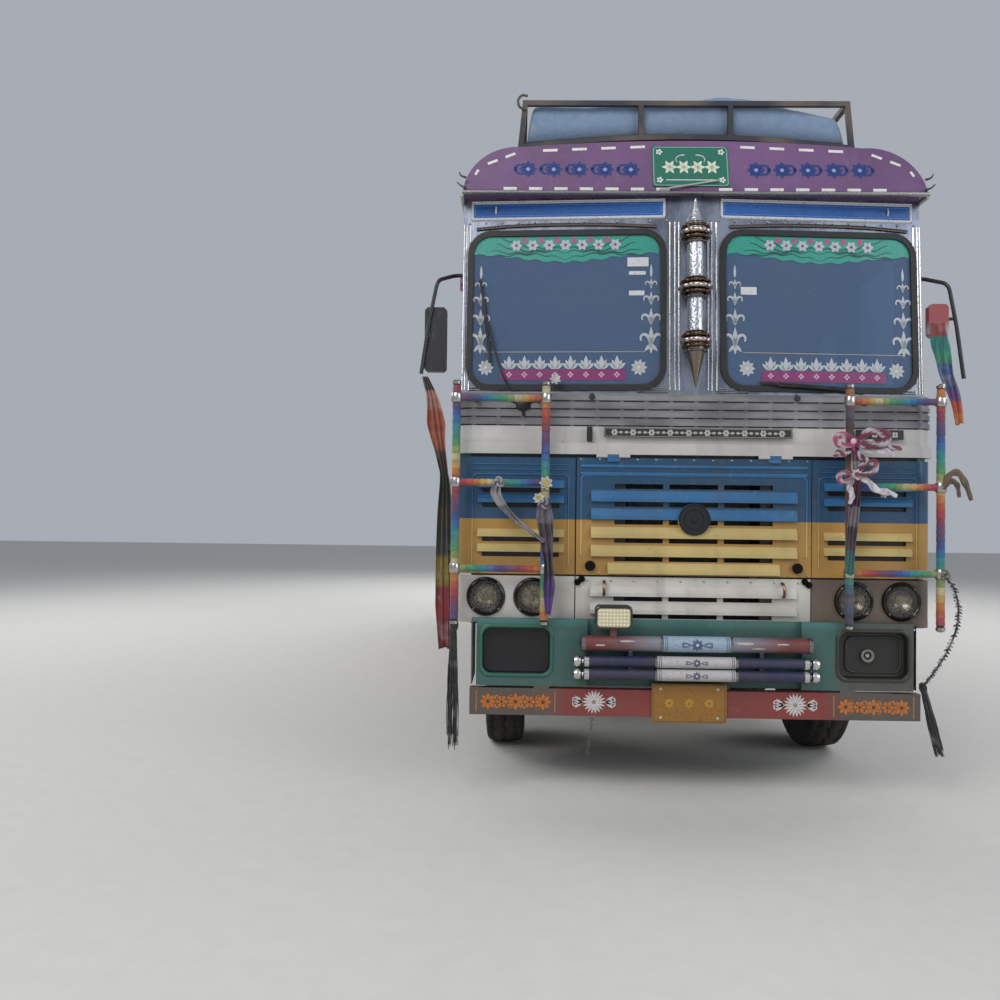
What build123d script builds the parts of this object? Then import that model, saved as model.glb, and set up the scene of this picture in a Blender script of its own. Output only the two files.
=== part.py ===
from build123d import *
import os
from collections import namedtuple
from math import atan2, cos, degrees, hypot, radians, sin

# Decorated four-axle haulage truck with a coach-built sleeper cab and a high-sided load body.
# X runs across the truck (+X is its left side), -Y is the way it drives and Z is up.
# The origin lies on the ground, halfway along the truck. Sizes are in millimetres.

os.makedirs("parts", exist_ok=True)

# Overall stations along Y
overall_length = 10400
nose_y = -overall_length / 2
tail_y = overall_length / 2
face_set_back = 150
face_y = nose_y + face_set_back
axle_1_behind_face = 1230
steer_axle_spacing = 1800
drive_axle_spacing = 1380
rear_overhang = 2280
axle_1_y = face_y + axle_1_behind_face
axle_2_y = axle_1_y + steer_axle_spacing
axle_4_y = tail_y - rear_overhang
axle_3_y = axle_4_y - drive_axle_spacing
running_gap = 0.1
hinge_slack = 0.5

# Tyres and wheels
tyre_radius = 525
tyre_tread_width = 256
tyre_bead_width = 200
tyre_flats = 30
tyre_shoulder = 26
tyre_wall_taper = 180
rim_radius = 258
rim_lip = 20
rim_dish_radius = 206
wheel_disc_depth = 62
front_wheel_x = 1000
drive_inner_x = 770
drive_outer_x = 1080
drive_dish_depth = 150
hub_radius = 112
hub_reach = 58
drive_hub_reach = 128

# Steering gear
kingpin_x = 890
kingpin_radius = 20
boss_radius = 45
boss_height = 126
lug_gap = 12
lug_thickness = 38
knuckle_plate_start_x = 942
knuckle_plate_thickness = 24
knuckle_plate_half_width = 62
spindle_radius = 40
spindle_length = 130
drum_gap = 8
arm_tip_x = 842
arm_tip_back = 225
arm_thickness = 26
arm_width = 44
rod_radius = 18
rod_eye_radius = 24
rod_eye_height = 40
rod_pin_radius = 12
rod_drop = 14

# Chassis
rail_x = 430
rail_flange = 70
rail_depth = 250
rail_thickness = 8
frame_top_z = 1040
frame_start = 170
frame_end_gap = 260
cross_member_depth = 150
cross_member_width = 90

# Axle beams
beam_half_depth = 45
beam_low_z = 400
beam_top_z = 505
beam_drop_x = 560
beam_neck_x = 800
beam_flange = 16
beam_web_half = 14
spring_pad = 10
axle_tube_radius = 74
drive_spindle_radius = 52
drive_spindle_start_x = 600
diff_radius = 185
diff_half_width = 150
shaft_radius = 45

# Leaf springs
spring_width = 80
front_spring_x = 395
drive_spring_x = 512
front_spring_half = 690
drive_spring_half = 600
spring_pack = 66
spring_tip = 14
spring_rise = 150

# Mudguards
guard_radius = 596
guard_sheet = 5
front_guard_x = (862, 1150)
drive_guard_inner_x = 630

# Cab
cab_length = 2060
cab_floor_z = 1200
floor_plate = 40
skirt_low_z = 890
eave_z = 3222
cab_half = 1254
cab_wall = 40
cab_corner = 74
panel_thickness = 16
panel_return = 200
hump_half = 375
hump_skin = 18
hump_rear = 1520
hump_high_z = 1640
cowl_high_z = 1750
cowl_depth = 264
sill_z = 2130
cowl_plate = 36

# Doors
door_front = 300
door_length = 880
door_low_z = 1215
door_high_z = 3090
door_gap = 6
door_window_low_z = 2110
door_window_margin = 110
door_window_corner = 90
door_glass = 6
door_hinge_stand_off = 15
door_hinge_radius = 11
door_hinge_pin = 5
door_hinge_length = 90
door_hinge_z = (1545, 2790)
grip_z = 1910
sleeper_window_size = (420, 470)
sleeper_window_corner = 60

# Front face below the screens
grille_half = 622
grille_low_z = 1158
grille_high_z = 1782
lower_grille_low_z = 898
lower_grille_high_z = 1148
panel_gap = 6
louvre_reach = 22
louvre_sheet = 6
louvre_lip = 20
louvre_slot = 26
louvre_bridge = 32
louvre_half = 545
louvre_slot_inset = 125
flap_bar = 64
flap_row_z = (1232, 1330, 1428, 1523)
flap_foot_bar_z = 1166
flap_foot_bar_half = 455
flap_top_slot_z = 1618
corner_bar = 46
corner_slot_inset = 25
corner_row_z = (1250, 1330, 1512, 1592)
lower_bar = 52
lower_row_z = (928, 1020)
flap_rib_z = (1692, 1732)
flap_hinge_radius = 8
flap_pin_radius = 4
flap_hinge_length = 60
flap_hinge_x = (-430, 430)
ledge_low_z = 1800
ledge_high_z = 1860
ledge_reach = 20
name_high_z = 1948
strip_high_z = 2126
strip_count = 4
badge_radius = 85
badge_thickness = 16
badge_z = 1457

# Screens
screen_slope = 84
screen_lean = 60
screen_frame_thickness = 40
screen_front = 16
screen_low_z = 2176
screen_high_z = 3014
screen_inner_x = 172
screen_outer_x = 1205
screen_corner = 105
gasket_width = 26
gasket_reach = 12
glass_thickness = 7

# Lamps
lamp_radius = 98
lamp_z = 1036
lamp_x = (850, 1100)
lamp_depth = 95
lamp_reach = 14

# Bumper
fascia_half = 1175
fascia_low_z = 573
fascia_high_z = 926
fascia_reach = 60
fascia_plate = 8
fascia_wrap = 330
fascia_corner = 60
fascia_bay_half = 560
fascia_bay_depth = 36
pocket_x = (757, 1112)
pocket_z = (638, 877)
pocket_corner = 45
pocket_depth = 46
bracket_z = (800, 880)
bracket_half_width = 30
rail_bar_low_z = 420
rail_bar_high_z = 560
rail_bar_half = 1178
rail_bar_depth = 62
rail_bar_plate = 8
tube_half = 585
tube_front = 150
tube_rows = ((810, 39), (716, 28), (649, 28))
tube_bracket_x = 340
work_lamp_x = -430
work_lamp_size = (192, 60, 118)

# Guard pipes in front of the cab corners
pipe_radius = 19
rung_radius = 15
pipe_front = 100
pipe_outer_x = 1262
pipe_inner_x = 792
pipe_low_z = 900
pipe_high_z = 2170
pipe_rungs_z = (1190, 1640, 2085)
stand_off_radius = 12

# Centre ornament
spear_low_z = 2156
spear_high_z = 3176
spear_radius = 42
spear_collar_radius = 66
spear_collars_z = (2400, 2690, 2990)
spear_stand_off = 30

# Mirrors
mirror_arm_radius = 11
mirror_head_depth = 48
mirror_head_corner = 16
mirror_root_x = 1330
mirror_bend_x = 1474
mirror_root_z = 2816
mirror_foot_z = 2240
mirror_set_back = 104

# Roof and carrier
roof_top_z = 3542
roof_shoulder_x = 930
roof_shoulder_z = 3500
roof_skin = 30
crown_front = 40
crown_bow = 85
carrier_front = 330
carrier_length = 1330
carrier_half_low = 945
carrier_half_top = 920
carrier_low_z = 3574
carrier_top_z = 3857
carrier_arch = 60
carrier_bar = 28
carrier_slat_count = 5

# Load body
body_gap = 130
body_half = 1250
under_body_inset = 20
deck_sheet = 4
deck_margin = 6
sill_height = 90
sill_width = 70
bearer_height = 80
bearer_width = 80
bearer_count = 13
floor_board = 40
post_depth = 52
post_width = 80
post_count = 8
board_thickness = 28
board_count = 7
board_gap = 10
body_top_z = 3060
headboard_top_z = 3290
body_rail = 70
gate_height = 1010
gate_thickness = 52
gate_stand_off = 20
gate_hinge_radius = 16
gate_pin_radius = 8
gate_hinge_width = 90
gate_hinge_x = (-900, 0, 900)
gate_hinge_z = 1236
gate_gap = 6

# Heights and stations worked out from the sizes above
wheel_centre_z = tyre_radius
frame_bottom_z = frame_top_z - rail_depth
sill_top_z = frame_top_z + sill_height
bed_z = sill_top_z + bearer_height + floor_board
cab_rear_y = face_y + cab_length
body_front_y = cab_rear_y + body_gap
gate_axis_y = tail_y - gate_hinge_radius
gate_outer_y = gate_axis_y - gate_stand_off
gate_inner_y = gate_outer_y - gate_thickness
body_rear_y = gate_inner_y - gate_gap
drive_guard_x = (drive_guard_inner_x, body_half - under_body_inset)
cab_floor_low_z = cab_floor_z - floor_plate
front_spring_seat_z = beam_top_z + 2
front_spring_eye_z = front_spring_seat_z + spring_rise + spring_tip
drive_spring_seat_z = wheel_centre_z + axle_tube_radius + 6
drive_spring_eye_z = drive_spring_seat_z + spring_rise + spring_tip
flap_axis_back = panel_thickness / 2 + 6
flap_axis_z = ledge_low_z - 10
lug_low_z = wheel_centre_z - boss_height / 2 - lug_gap - lug_thickness
lug_high_z = wheel_centre_z + boss_height / 2 + lug_gap + lug_thickness


def behind(distance):
    """Y of a point this far behind the front face."""
    return face_y + distance


def block(x0, x1, y0, y1, z0, z1, mode=Mode.ADD):
    """Adds a box between two opposite corners to the part being built."""
    with Locations(((x0 + x1) / 2, (y0 + y1) / 2, (z0 + z1) / 2)):
        Box(abs(x1 - x0), abs(y1 - y0), abs(z1 - z0), mode=mode)


def rod(start, end, radius, mode=Mode.ADD):
    """Adds a round bar between two points to the part being built."""
    reach = Vector(*end) - Vector(*start)
    with BuildSketch(Plane(origin=start, z_dir=reach)) as section:
        Circle(radius)
    extrude(section.sketch, amount=reach.length, mode=mode)


def save(builder, name):
    """Names a finished piece and writes its STEP file."""
    builder.part.label = name
    export_step(builder.part, f"parts/{name}.step")


def axle_plane(axle_y):
    """Plane for profiles of (distance along X, radius) that turn about a wheel's axis."""
    return Plane(origin=(0, axle_y, wheel_centre_z), x_dir=(1, 0, 0), z_dir=(0, 0, 1))


def spin_profile(points, axle_y):
    """Turns a closed profile of (distance along X, radius) points about a wheel's axis."""
    with BuildSketch(axle_plane(axle_y)) as profile:
        with BuildLine():
            Polyline(*points, close=True)
        make_face()
    revolve(profile.sketch, axis=Axis((0, axle_y, wheel_centre_z), (1, 0, 0)))


# Ladder frame: two inward channels, their cross members and the spring hangers
rail_front_y = behind(frame_start)
rail_rear_y = tail_y - frame_end_gap
with BuildPart() as chassis_frame:
    with BuildSketch(Plane.XZ.offset(-rail_rear_y)) as channel:
        with BuildLine():
            inner_x = rail_x - rail_flange
            web_x = rail_x - rail_thickness
            Polyline(
                (rail_x, frame_bottom_z),
                (rail_x, frame_top_z),
                (inner_x, frame_top_z),
                (inner_x, frame_top_z - rail_thickness),
                (web_x, frame_top_z - rail_thickness),
                (web_x, frame_bottom_z + rail_thickness),
                (inner_x, frame_bottom_z + rail_thickness),
                (inner_x, frame_bottom_z),
                close=True,
            )
        make_face()
        mirror(about=Plane.YZ)
    extrude(amount=rail_rear_y - rail_front_y)
    member_stations = (
        rail_front_y + 110,
        behind(1980),
        axle_2_y + 760,
        (axle_2_y + axle_3_y) / 2 + 240,
        (axle_3_y + axle_4_y) / 2,
        axle_4_y + 720,
        rail_rear_y - cross_member_width / 2,
    )
    member_top_z = frame_top_z - rail_thickness
    for member_y in member_stations:
        block(
            -web_x, web_x,
            member_y - cross_member_width / 2, member_y + cross_member_width / 2,
            member_top_z - cross_member_depth, member_top_z,
        )
    for axle_y in (axle_1_y, axle_2_y):
        for end in (-1, 1):
            hanger_y = axle_y + end * front_spring_half
            for side in (-1, 1):
                block(
                    side * (front_spring_x - 30), side * (front_spring_x + 30),
                    hanger_y - 28, hanger_y + 28,
                    front_spring_eye_z, frame_bottom_z + rail_thickness / 2,
                )
    for axle_y in (axle_3_y, axle_4_y):
        for end in (-1, 1):
            hanger_y = axle_y + end * drive_spring_half
            for side in (-1, 1):
                block(
                    side * (rail_x - rail_thickness / 2), side * (drive_spring_x + 36),
                    hanger_y - 40, hanger_y + 40,
                    drive_spring_eye_z, frame_bottom_z + 190,
                )
save(chassis_frame, "chassis_frame")


def leaf_spring(x, axle_y, seat_z, half_length):
    """Adds one leaf spring: a crescent that is thick over its axle and thin at its eyes."""
    with BuildSketch(Plane.YZ.offset(x - spring_width / 2)) as crescent:
        with BuildLine():
            tip_z = seat_z + spring_rise
            low_tip = (axle_y - half_length, tip_z)
            low_end = (axle_y + half_length, tip_z)
            high_tip = (axle_y - half_length, tip_z + spring_tip)
            high_end = (axle_y + half_length, tip_z + spring_tip)
            ThreePointArc(low_tip, (axle_y, seat_z), low_end)
            Line(low_end, high_end)
            ThreePointArc(high_end, (axle_y, seat_z + spring_pack), high_tip)
            Line(high_tip, low_tip)
        make_face()
    extrude(crescent.sketch, amount=spring_width)


# Two steered beam axles, dropped in the middle, each with its pair of leaf springs
boss_low_z = wheel_centre_z - boss_height / 2
boss_high_z = wheel_centre_z + boss_height / 2
with BuildPart() as front_axles:
    for axle_y in (axle_1_y, axle_2_y):
        with BuildSketch(Plane.XZ.offset(-axle_y - beam_half_depth)) as beam_outline:
            with BuildLine():
                Polyline(
                    (-kingpin_x, boss_low_z + 4),
                    (-beam_neck_x, boss_low_z + 4),
                    (-beam_drop_x, beam_low_z),
                    (beam_drop_x, beam_low_z),
                    (beam_neck_x, boss_low_z + 4),
                    (kingpin_x, boss_low_z + 4),
                    (kingpin_x, boss_high_z - 4),
                    (beam_neck_x, boss_high_z - 4),
                    (beam_drop_x, beam_top_z),
                    (-beam_drop_x, beam_top_z),
                    (-beam_neck_x, boss_high_z - 4),
                    (-kingpin_x, boss_high_z - 4),
                    close=True,
                )
            make_face()
        extrude(amount=2 * beam_half_depth)
        for face_side in (-1, 1):
            pocket_plane = Plane.XZ.offset(-axle_y - face_side * beam_half_depth)
            with BuildSketch(pocket_plane):
                with BuildLine():
                    Polyline(
                        (-beam_neck_x, boss_low_z + 20),
                        (-beam_drop_x, beam_low_z + beam_flange),
                        (beam_drop_x, beam_low_z + beam_flange),
                        (beam_neck_x, boss_low_z + 20),
                        (beam_neck_x, boss_high_z - 20),
                        (beam_drop_x, beam_top_z - beam_flange),
                        (-beam_drop_x, beam_top_z - beam_flange),
                        (-beam_neck_x, boss_high_z - 20),
                        close=True,
                    )
                make_face()
            extrude(amount=face_side * (beam_half_depth - beam_web_half), mode=Mode.SUBTRACT)
        for side in (-1, 1):
            with Locations((side * kingpin_x, axle_y, wheel_centre_z)):
                Cylinder(boss_radius, boss_height)
            block(
                side * (front_spring_x - 52), side * (front_spring_x + 52),
                axle_y - beam_half_depth - 20, axle_y + beam_half_depth + 20,
                beam_top_z - 4, beam_top_z + spring_pad,
            )
            leaf_spring(side * front_spring_x, axle_y, front_spring_seat_z, front_spring_half)
            with Locations((side * kingpin_x, axle_y, wheel_centre_z)):
                Cylinder(kingpin_radius + running_gap, boss_height + 20, mode=Mode.SUBTRACT)
save(front_axles, "front_axles")

# Two driven axle housings with their springs and the propeller shafts
drive_spindle_end_x = drive_outer_x + tyre_bead_width / 2 - drive_dish_depth + 40
gearbox_end_y = behind(1900)
shaft_front_z = 800
centre_bearing_y = axle_2_y + 760
with BuildPart() as drive_axles:
    for axle_y in (axle_3_y, axle_4_y):
        half_profile = (
            (-drive_spindle_end_x, 0),
            (-drive_spindle_end_x, drive_spindle_radius),
            (-drive_spindle_start_x, drive_spindle_radius),
            (-drive_spindle_start_x, axle_tube_radius),
            (-diff_half_width - 130, axle_tube_radius),
            (-diff_half_width / 2, diff_radius),
            (diff_half_width / 2, diff_radius),
            (diff_half_width + 130, axle_tube_radius),
            (drive_spindle_start_x, axle_tube_radius),
            (drive_spindle_start_x, drive_spindle_radius),
            (drive_spindle_end_x, drive_spindle_radius),
            (drive_spindle_end_x, 0),
        )
        spin_profile(half_profile, axle_y)
        for side in (-1, 1):
            block(
                side * (drive_spring_x - 50), side * (drive_spring_x + 50),
                axle_y - 60, axle_y + 60,
                wheel_centre_z + 20, drive_spring_seat_z + spring_pad,
            )
            leaf_spring(side * drive_spring_x, axle_y, drive_spring_seat_z, drive_spring_half)
    shaft_low_z = wheel_centre_z + 40
    nose_3_y = axle_3_y - diff_radius - 90
    shaft_runs = (
        ((0, gearbox_end_y + 5, shaft_front_z), (0, centre_bearing_y, shaft_front_z - 30)),
        ((0, centre_bearing_y, shaft_front_z - 30), (0, nose_3_y, shaft_low_z)),
        ((0, nose_3_y, shaft_low_z), (0, axle_3_y, shaft_low_z)),
        ((0, axle_3_y, shaft_low_z), (0, axle_4_y, shaft_low_z)),
    )
    for start, end in shaft_runs:
        rod(start, end, shaft_radius)
save(drive_axles, "drive_axles")

# Engine with its gearbox, the radiator ahead of it and the silencer beside the frame
engine_half = 335
engine_start = 340
engine_end = 1480
sump_half = 170
engine_head_half = 215
rocker_half = 120
sump_z = (590, 730)
crankcase_z = (770, 1110)
engine_head_z = (1160, 1430)
rocker_high_z = 1600
engine_mount_z = (850, 900)
bell_radius = 200
gearbox_radius = 145
gearbox_flange_radius = 90
radiator_depth = 85
radiator_half = 335
radiator_low_z = 820
radiator_high_z = 1700
radiator_frame = 45
radiator_recess = 14
fan_ring_radius = 240
fan_ring_length = 70
fan_ring_sheet = 12
radiator_back_y = rail_front_y + 110 - cross_member_width / 2
silencer_x = 620
silencer_z = 700
silencer_radius = 120
silencer_length = 800
silencer_start_y = axle_2_y + 780
tail_pipe_radius = 40
tail_pipe_length = 320
with BuildPart() as engine_block:
    with BuildSketch(Plane.XZ.offset(-behind(engine_end))):
        with BuildLine():
            Polyline(
                (0, sump_z[0]),
                (sump_half, sump_z[0]),
                (sump_half + 40, sump_z[1]),
                (engine_half, crankcase_z[0]),
                (engine_half, crankcase_z[1]),
                (engine_head_half, engine_head_z[0]),
                (engine_head_half, engine_head_z[1]),
                (rocker_half + 20, engine_head_z[1] + 15),
                (rocker_half, rocker_high_z),
                (0, rocker_high_z),
            )
            mirror(about=Plane.YZ)
        make_face()
    extrude(amount=engine_end - engine_start)
    with BuildSketch(Plane.YZ):
        with BuildLine():
            Polyline(
                (behind(engine_end) - 30, shaft_front_z),
                (behind(engine_end) - 30, shaft_front_z + bell_radius),
                (behind(engine_end) + 110, shaft_front_z + bell_radius - 30),
                (behind(engine_end) + 150, shaft_front_z + gearbox_radius),
                (gearbox_end_y - 60, shaft_front_z + gearbox_radius),
                (gearbox_end_y - 40, shaft_front_z + gearbox_flange_radius),
                (gearbox_end_y, shaft_front_z + gearbox_flange_radius),
                (gearbox_end_y, shaft_front_z),
                close=True,
            )
        make_face()
    revolve(axis=Axis((0, 0, shaft_front_z), (0, 1, 0)))
    radiator_front_y = radiator_back_y - radiator_depth
    block(
        -radiator_half, radiator_half, radiator_front_y, radiator_back_y,
        radiator_low_z, radiator_high_z,
    )
    block(
        radiator_frame - radiator_half, radiator_half - radiator_frame,
        radiator_front_y - 1, radiator_front_y + radiator_recess,
        radiator_low_z + radiator_frame, radiator_high_z - 3 * radiator_frame, mode=Mode.SUBTRACT,
    )
    fan_z = frame_top_z + fan_ring_radius + fan_ring_sheet + 30
    with BuildSketch(Plane.XZ.offset(-radiator_back_y - fan_ring_length)):
        with Locations((0, fan_z)):
            Circle(fan_ring_radius + fan_ring_sheet)
            Circle(fan_ring_radius, mode=Mode.SUBTRACT)
    extrude(amount=fan_ring_length + 1)
    for mount in (engine_start + 370, engine_end - 200):
        block(-web_x, web_x, behind(mount) - 40, behind(mount) + 40, *engine_mount_z)
    rod(
        (silencer_x, silencer_start_y, silencer_z),
        (silencer_x, silencer_start_y + silencer_length, silencer_z),
        silencer_radius,
    )
    rod(
        (silencer_x, silencer_start_y + silencer_length, silencer_z),
        (silencer_x, silencer_start_y + silencer_length + tail_pipe_length, silencer_z),
        tail_pipe_radius,
    )
    for strap in (0.2, 0.8):
        strap_y = silencer_start_y + strap * silencer_length
        block(
            rail_x, silencer_x - 20, strap_y - 25, strap_y + 25,
            silencer_z + silencer_radius - 30, silencer_z + silencer_radius,
        )
save(engine_block, "engine_block")

# Fuel tank and battery box, hung outside the rails between the axle groups
tank_low_z = 470
tank_high_z = 990
tank_start = 770
tank_length = 1150
tank_x = -790
tank_width = 600
tank_corner = 90
tank_strap_width = 60
tank_strap_sheet = 6
battery_start = 800
battery_length = 700
battery_x = (800, 1130)
battery_z = (560, 870)
battery_lid = (12, 30)
with BuildPart() as fuel_tank:
    with BuildSketch(Plane.XZ.offset(-(axle_2_y + tank_start + tank_length))):
        with Locations((tank_x, (tank_low_z + tank_high_z) / 2)):
            RectangleRounded(tank_width, tank_high_z - tank_low_z, tank_corner)
    extrude(amount=tank_length)
    for strap in (0.22, 0.78):
        strap_y = axle_2_y + tank_start + strap * tank_length
        with BuildSketch(Plane.XZ.offset(-strap_y - tank_strap_width / 2)):
            with Locations((tank_x, (tank_low_z + tank_high_z) / 2)):
                RectangleRounded(
                    tank_width + 2 * tank_strap_sheet,
                    tank_high_z - tank_low_z + 2 * tank_strap_sheet,
                    tank_corner + tank_strap_sheet,
                )
        extrude(amount=tank_strap_width)
        block(
            tank_x + tank_width / 2, -rail_x, strap_y - 35, strap_y + 35,
            frame_bottom_z + 10, frame_top_z - 30,
        )
    battery_y = axle_2_y + battery_start
    block(*battery_x, battery_y, battery_y + battery_length, *battery_z)
    block(
        battery_x[0] - battery_lid[0], battery_x[1] + battery_lid[0],
        battery_y - battery_lid[0], battery_y + battery_length + battery_lid[0],
        battery_z[1], battery_z[1] + battery_lid[1],
    )
    for arm_start in (battery_y + 40, battery_y + battery_length - 100):
        block(
            rail_x, battery_x[0] + 5, arm_start, arm_start + 60,
            battery_z[1] - 10, battery_z[1] + 60,
        )
save(fuel_tank, "tank_and_battery")

# Spare wheel, slung flat under the frame behind the last axle
spare_y = axle_4_y + 1130
spare_z = 640
with BuildPart() as spare_wheel:
    with BuildSketch(Plane.XZ.offset(-spare_y)):
        with BuildLine():
            Polyline(
                (rim_dish_radius, spare_z - tyre_bead_width / 2),
                (rim_radius, spare_z - tyre_bead_width / 2),
                (tyre_radius, spare_z - tyre_tread_width / 2),
                (tyre_radius, spare_z + tyre_tread_width / 2),
                (rim_dish_radius, spare_z + tyre_bead_width / 2),
                close=True,
            )
        make_face()
    revolve(axis=Axis((0, spare_y, 0), (0, 0, 1)))
    block(-rim_radius + 20, rim_radius - 20, spare_y - 90, spare_y + 90, spare_z, spare_z + 40)
    block(-40, 40, spare_y - 40, spare_y + 40, spare_z + 30, frame_bottom_z + 60)
    block(-web_x, web_x, spare_y - 40, spare_y + 40, frame_bottom_z + 20, frame_bottom_z + 60)
save(spare_wheel, "spare_wheel")

# Mudguards: arcs over the steered wheels and one long cover over each driven pair
with BuildPart() as mudguards:
    for axle_y in (axle_1_y, axle_2_y):
        with BuildSketch(Plane.YZ.offset(front_guard_x[0])):
            with Locations((axle_y, wheel_centre_z)):
                Circle(guard_radius + guard_sheet)
                Circle(guard_radius, mode=Mode.SUBTRACT)
            with Locations((axle_y, wheel_centre_z - 450)):
                Rectangle(3 * guard_radius, 1500, mode=Mode.SUBTRACT)
        extrude(amount=front_guard_x[1] - front_guard_x[0])
        brace_z = wheel_centre_z + guard_radius + guard_sheet
        block(rail_x, front_guard_x[0] + 4, axle_y - 20, axle_y + 20, brace_z - 18, brace_z - 2)
    block(
        rail_x - 30, rail_x, axle_1_y - 20, axle_1_y + 20,
        frame_top_z, wheel_centre_z + guard_radius + guard_sheet - 2,
    )
    with BuildSketch(Plane.YZ.offset(drive_guard_x[0])):
        with BuildLine():
            start_y = axle_3_y - guard_radius
            end_y = axle_4_y + guard_radius
            top_z = wheel_centre_z + guard_radius - 24
            Polyline(
                (start_y, wheel_centre_z + 120),
                (start_y + 150, top_z - 110),
                (start_y + 330, top_z),
                (end_y - 330, top_z),
                (end_y - 150, top_z - 110),
                (end_y, wheel_centre_z + 120),
            )
        trace(line_width=guard_sheet)
    extrude(amount=drive_guard_x[1] - drive_guard_x[0])
    for brace_y in (axle_3_y - 200, axle_4_y + 200):
        arm_top_z = frame_top_z - 12
        block(rail_x, drive_guard_x[0], brace_y - 20, brace_y + 20, arm_top_z - 16, arm_top_z)
        block(
            drive_guard_x[0] - 8, drive_guard_x[0] + 2, brace_y - 20, brace_y + 20,
            arm_top_z - 16, wheel_centre_z + guard_radius - 24,
        )
    mirror(about=Plane.YZ)
save(mudguards, "mudguards")


# Steered knuckles: a fork round each beam's boss, a stub axle and the steering arm
arm_low_z = lug_low_z + 6
arm_top_z = arm_low_z + arm_thickness
rod_z = arm_low_z - rod_drop - rod_eye_height / 2
plate_end_x = knuckle_plate_start_x + knuckle_plate_thickness
spindle_end_x = plate_end_x + spindle_length


def knuckle(axle_y, side, name, carries_rod):
    """Models one knuckle; the left one of each axle also carries the pin of the tie rod."""
    pin = (side * kingpin_x, axle_y)
    tip = (side * arm_tip_x, axle_y + arm_tip_back)
    with BuildPart() as fork:
        with Locations((*pin, wheel_centre_z)):
            Cylinder(kingpin_radius, lug_high_z - lug_low_z + 16)
        for low_z in (lug_low_z, lug_high_z - lug_thickness):
            with BuildSketch(Plane.XY.offset(low_z)) as lug:
                with Locations(pin):
                    Circle(boss_radius)
                with Locations((side * (kingpin_x + knuckle_plate_start_x) / 2, axle_y)):
                    Rectangle(knuckle_plate_start_x - kingpin_x + 4, 2 * boss_radius)
            extrude(lug.sketch, amount=lug_thickness)
        block(
            side * knuckle_plate_start_x, side * plate_end_x,
            axle_y - knuckle_plate_half_width, axle_y + knuckle_plate_half_width,
            lug_low_z, lug_high_z,
        )
        rod(
            (side * (plate_end_x - 2), axle_y, wheel_centre_z),
            (side * spindle_end_x, axle_y, wheel_centre_z),
            spindle_radius,
        )
        with BuildSketch(Plane.XY.offset(arm_low_z)) as arm:
            with BuildLine():
                foot_x = side * (kingpin_x + 30)
                turn_x = side * (arm_tip_x + arm_width / 2)
                far_x = side * (arm_tip_x - arm_width / 2)
                Polyline(
                    (foot_x, axle_y + 20),
                    (turn_x, axle_y + arm_tip_back - 30),
                    (turn_x, axle_y + arm_tip_back),
                    (far_x, axle_y + arm_tip_back),
                    (far_x, axle_y + arm_tip_back - 30),
                    (side * (kingpin_x - 30), axle_y + 20),
                    close=True,
                )
            make_face()
            with Locations(tip):
                Circle(arm_width / 2)
        extrude(arm.sketch, amount=arm_thickness)
        if carries_rod:
            pin_low_z = rod_z - rod_eye_height / 2 - 6
            rod((*tip, pin_low_z), (*tip, arm_top_z), rod_pin_radius)
    save(fork, name)


def tie_rod(axle_y, name):
    """Models the bar between two steering arms; its right end lies free under its arm."""
    bar_y = axle_y + arm_tip_back
    with BuildPart() as bar:
        rod((-arm_tip_x, bar_y, rod_z), (arm_tip_x, bar_y, rod_z), rod_radius)
        for side in (-1, 1):
            with Locations((side * arm_tip_x, bar_y, rod_z)):
                Cylinder(rod_eye_radius, rod_eye_height)
        with Locations((arm_tip_x, bar_y, rod_z)):
            Cylinder(rod_pin_radius + running_gap, 2 * rod_eye_height, mode=Mode.SUBTRACT)
    save(bar, name)


def flats(x, radius, axle_y):
    """Sketches a tyre's ring of flats, with one corner straight below the axle."""
    with BuildSketch(Plane.YZ.offset(x)) as ring:
        with Locations((axle_y, wheel_centre_z)):
            RegularPolygon(radius=radius, side_count=tyre_flats, rotation=90)
    return ring.sketch


def tyre_ring(x, axle_y):
    """Models one tyre: a ring of flats, bored for its rim, whose walls draw in to the beads."""
    inner_x = x - tyre_tread_width / 2
    bore_radius = rim_radius / cos(radians(180 / tyre_flats))
    bead_inset = (tyre_tread_width - tyre_bead_width) / 2
    with BuildPart() as ring:
        extrude(flats(inner_x, tyre_radius, axle_y), amount=tyre_tread_width)
        chamfer(ring.edges().filter_by(Axis.X, reverse=True), length=tyre_shoulder)
        extrude(
            flats(inner_x, bore_radius, axle_y), amount=tyre_tread_width, mode=Mode.SUBTRACT,
        )
        for wall_x in (inner_x, inner_x + tyre_tread_width):
            wall = ring.faces().sort_by(lambda face: abs(face.center().X - wall_x))[0]
            bead = wall.inner_wires()[0].edges()
            chamfer(bead, length=tyre_wall_taper, length2=bead_inset, reference=wall)
    return ring.part


def steered_tyre(axle_y, side, name):
    """Models one tyre of a steered axle."""
    with BuildPart() as tyre:
        add(tyre_ring(side * front_wheel_x, axle_y))
    save(tyre, name)


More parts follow.
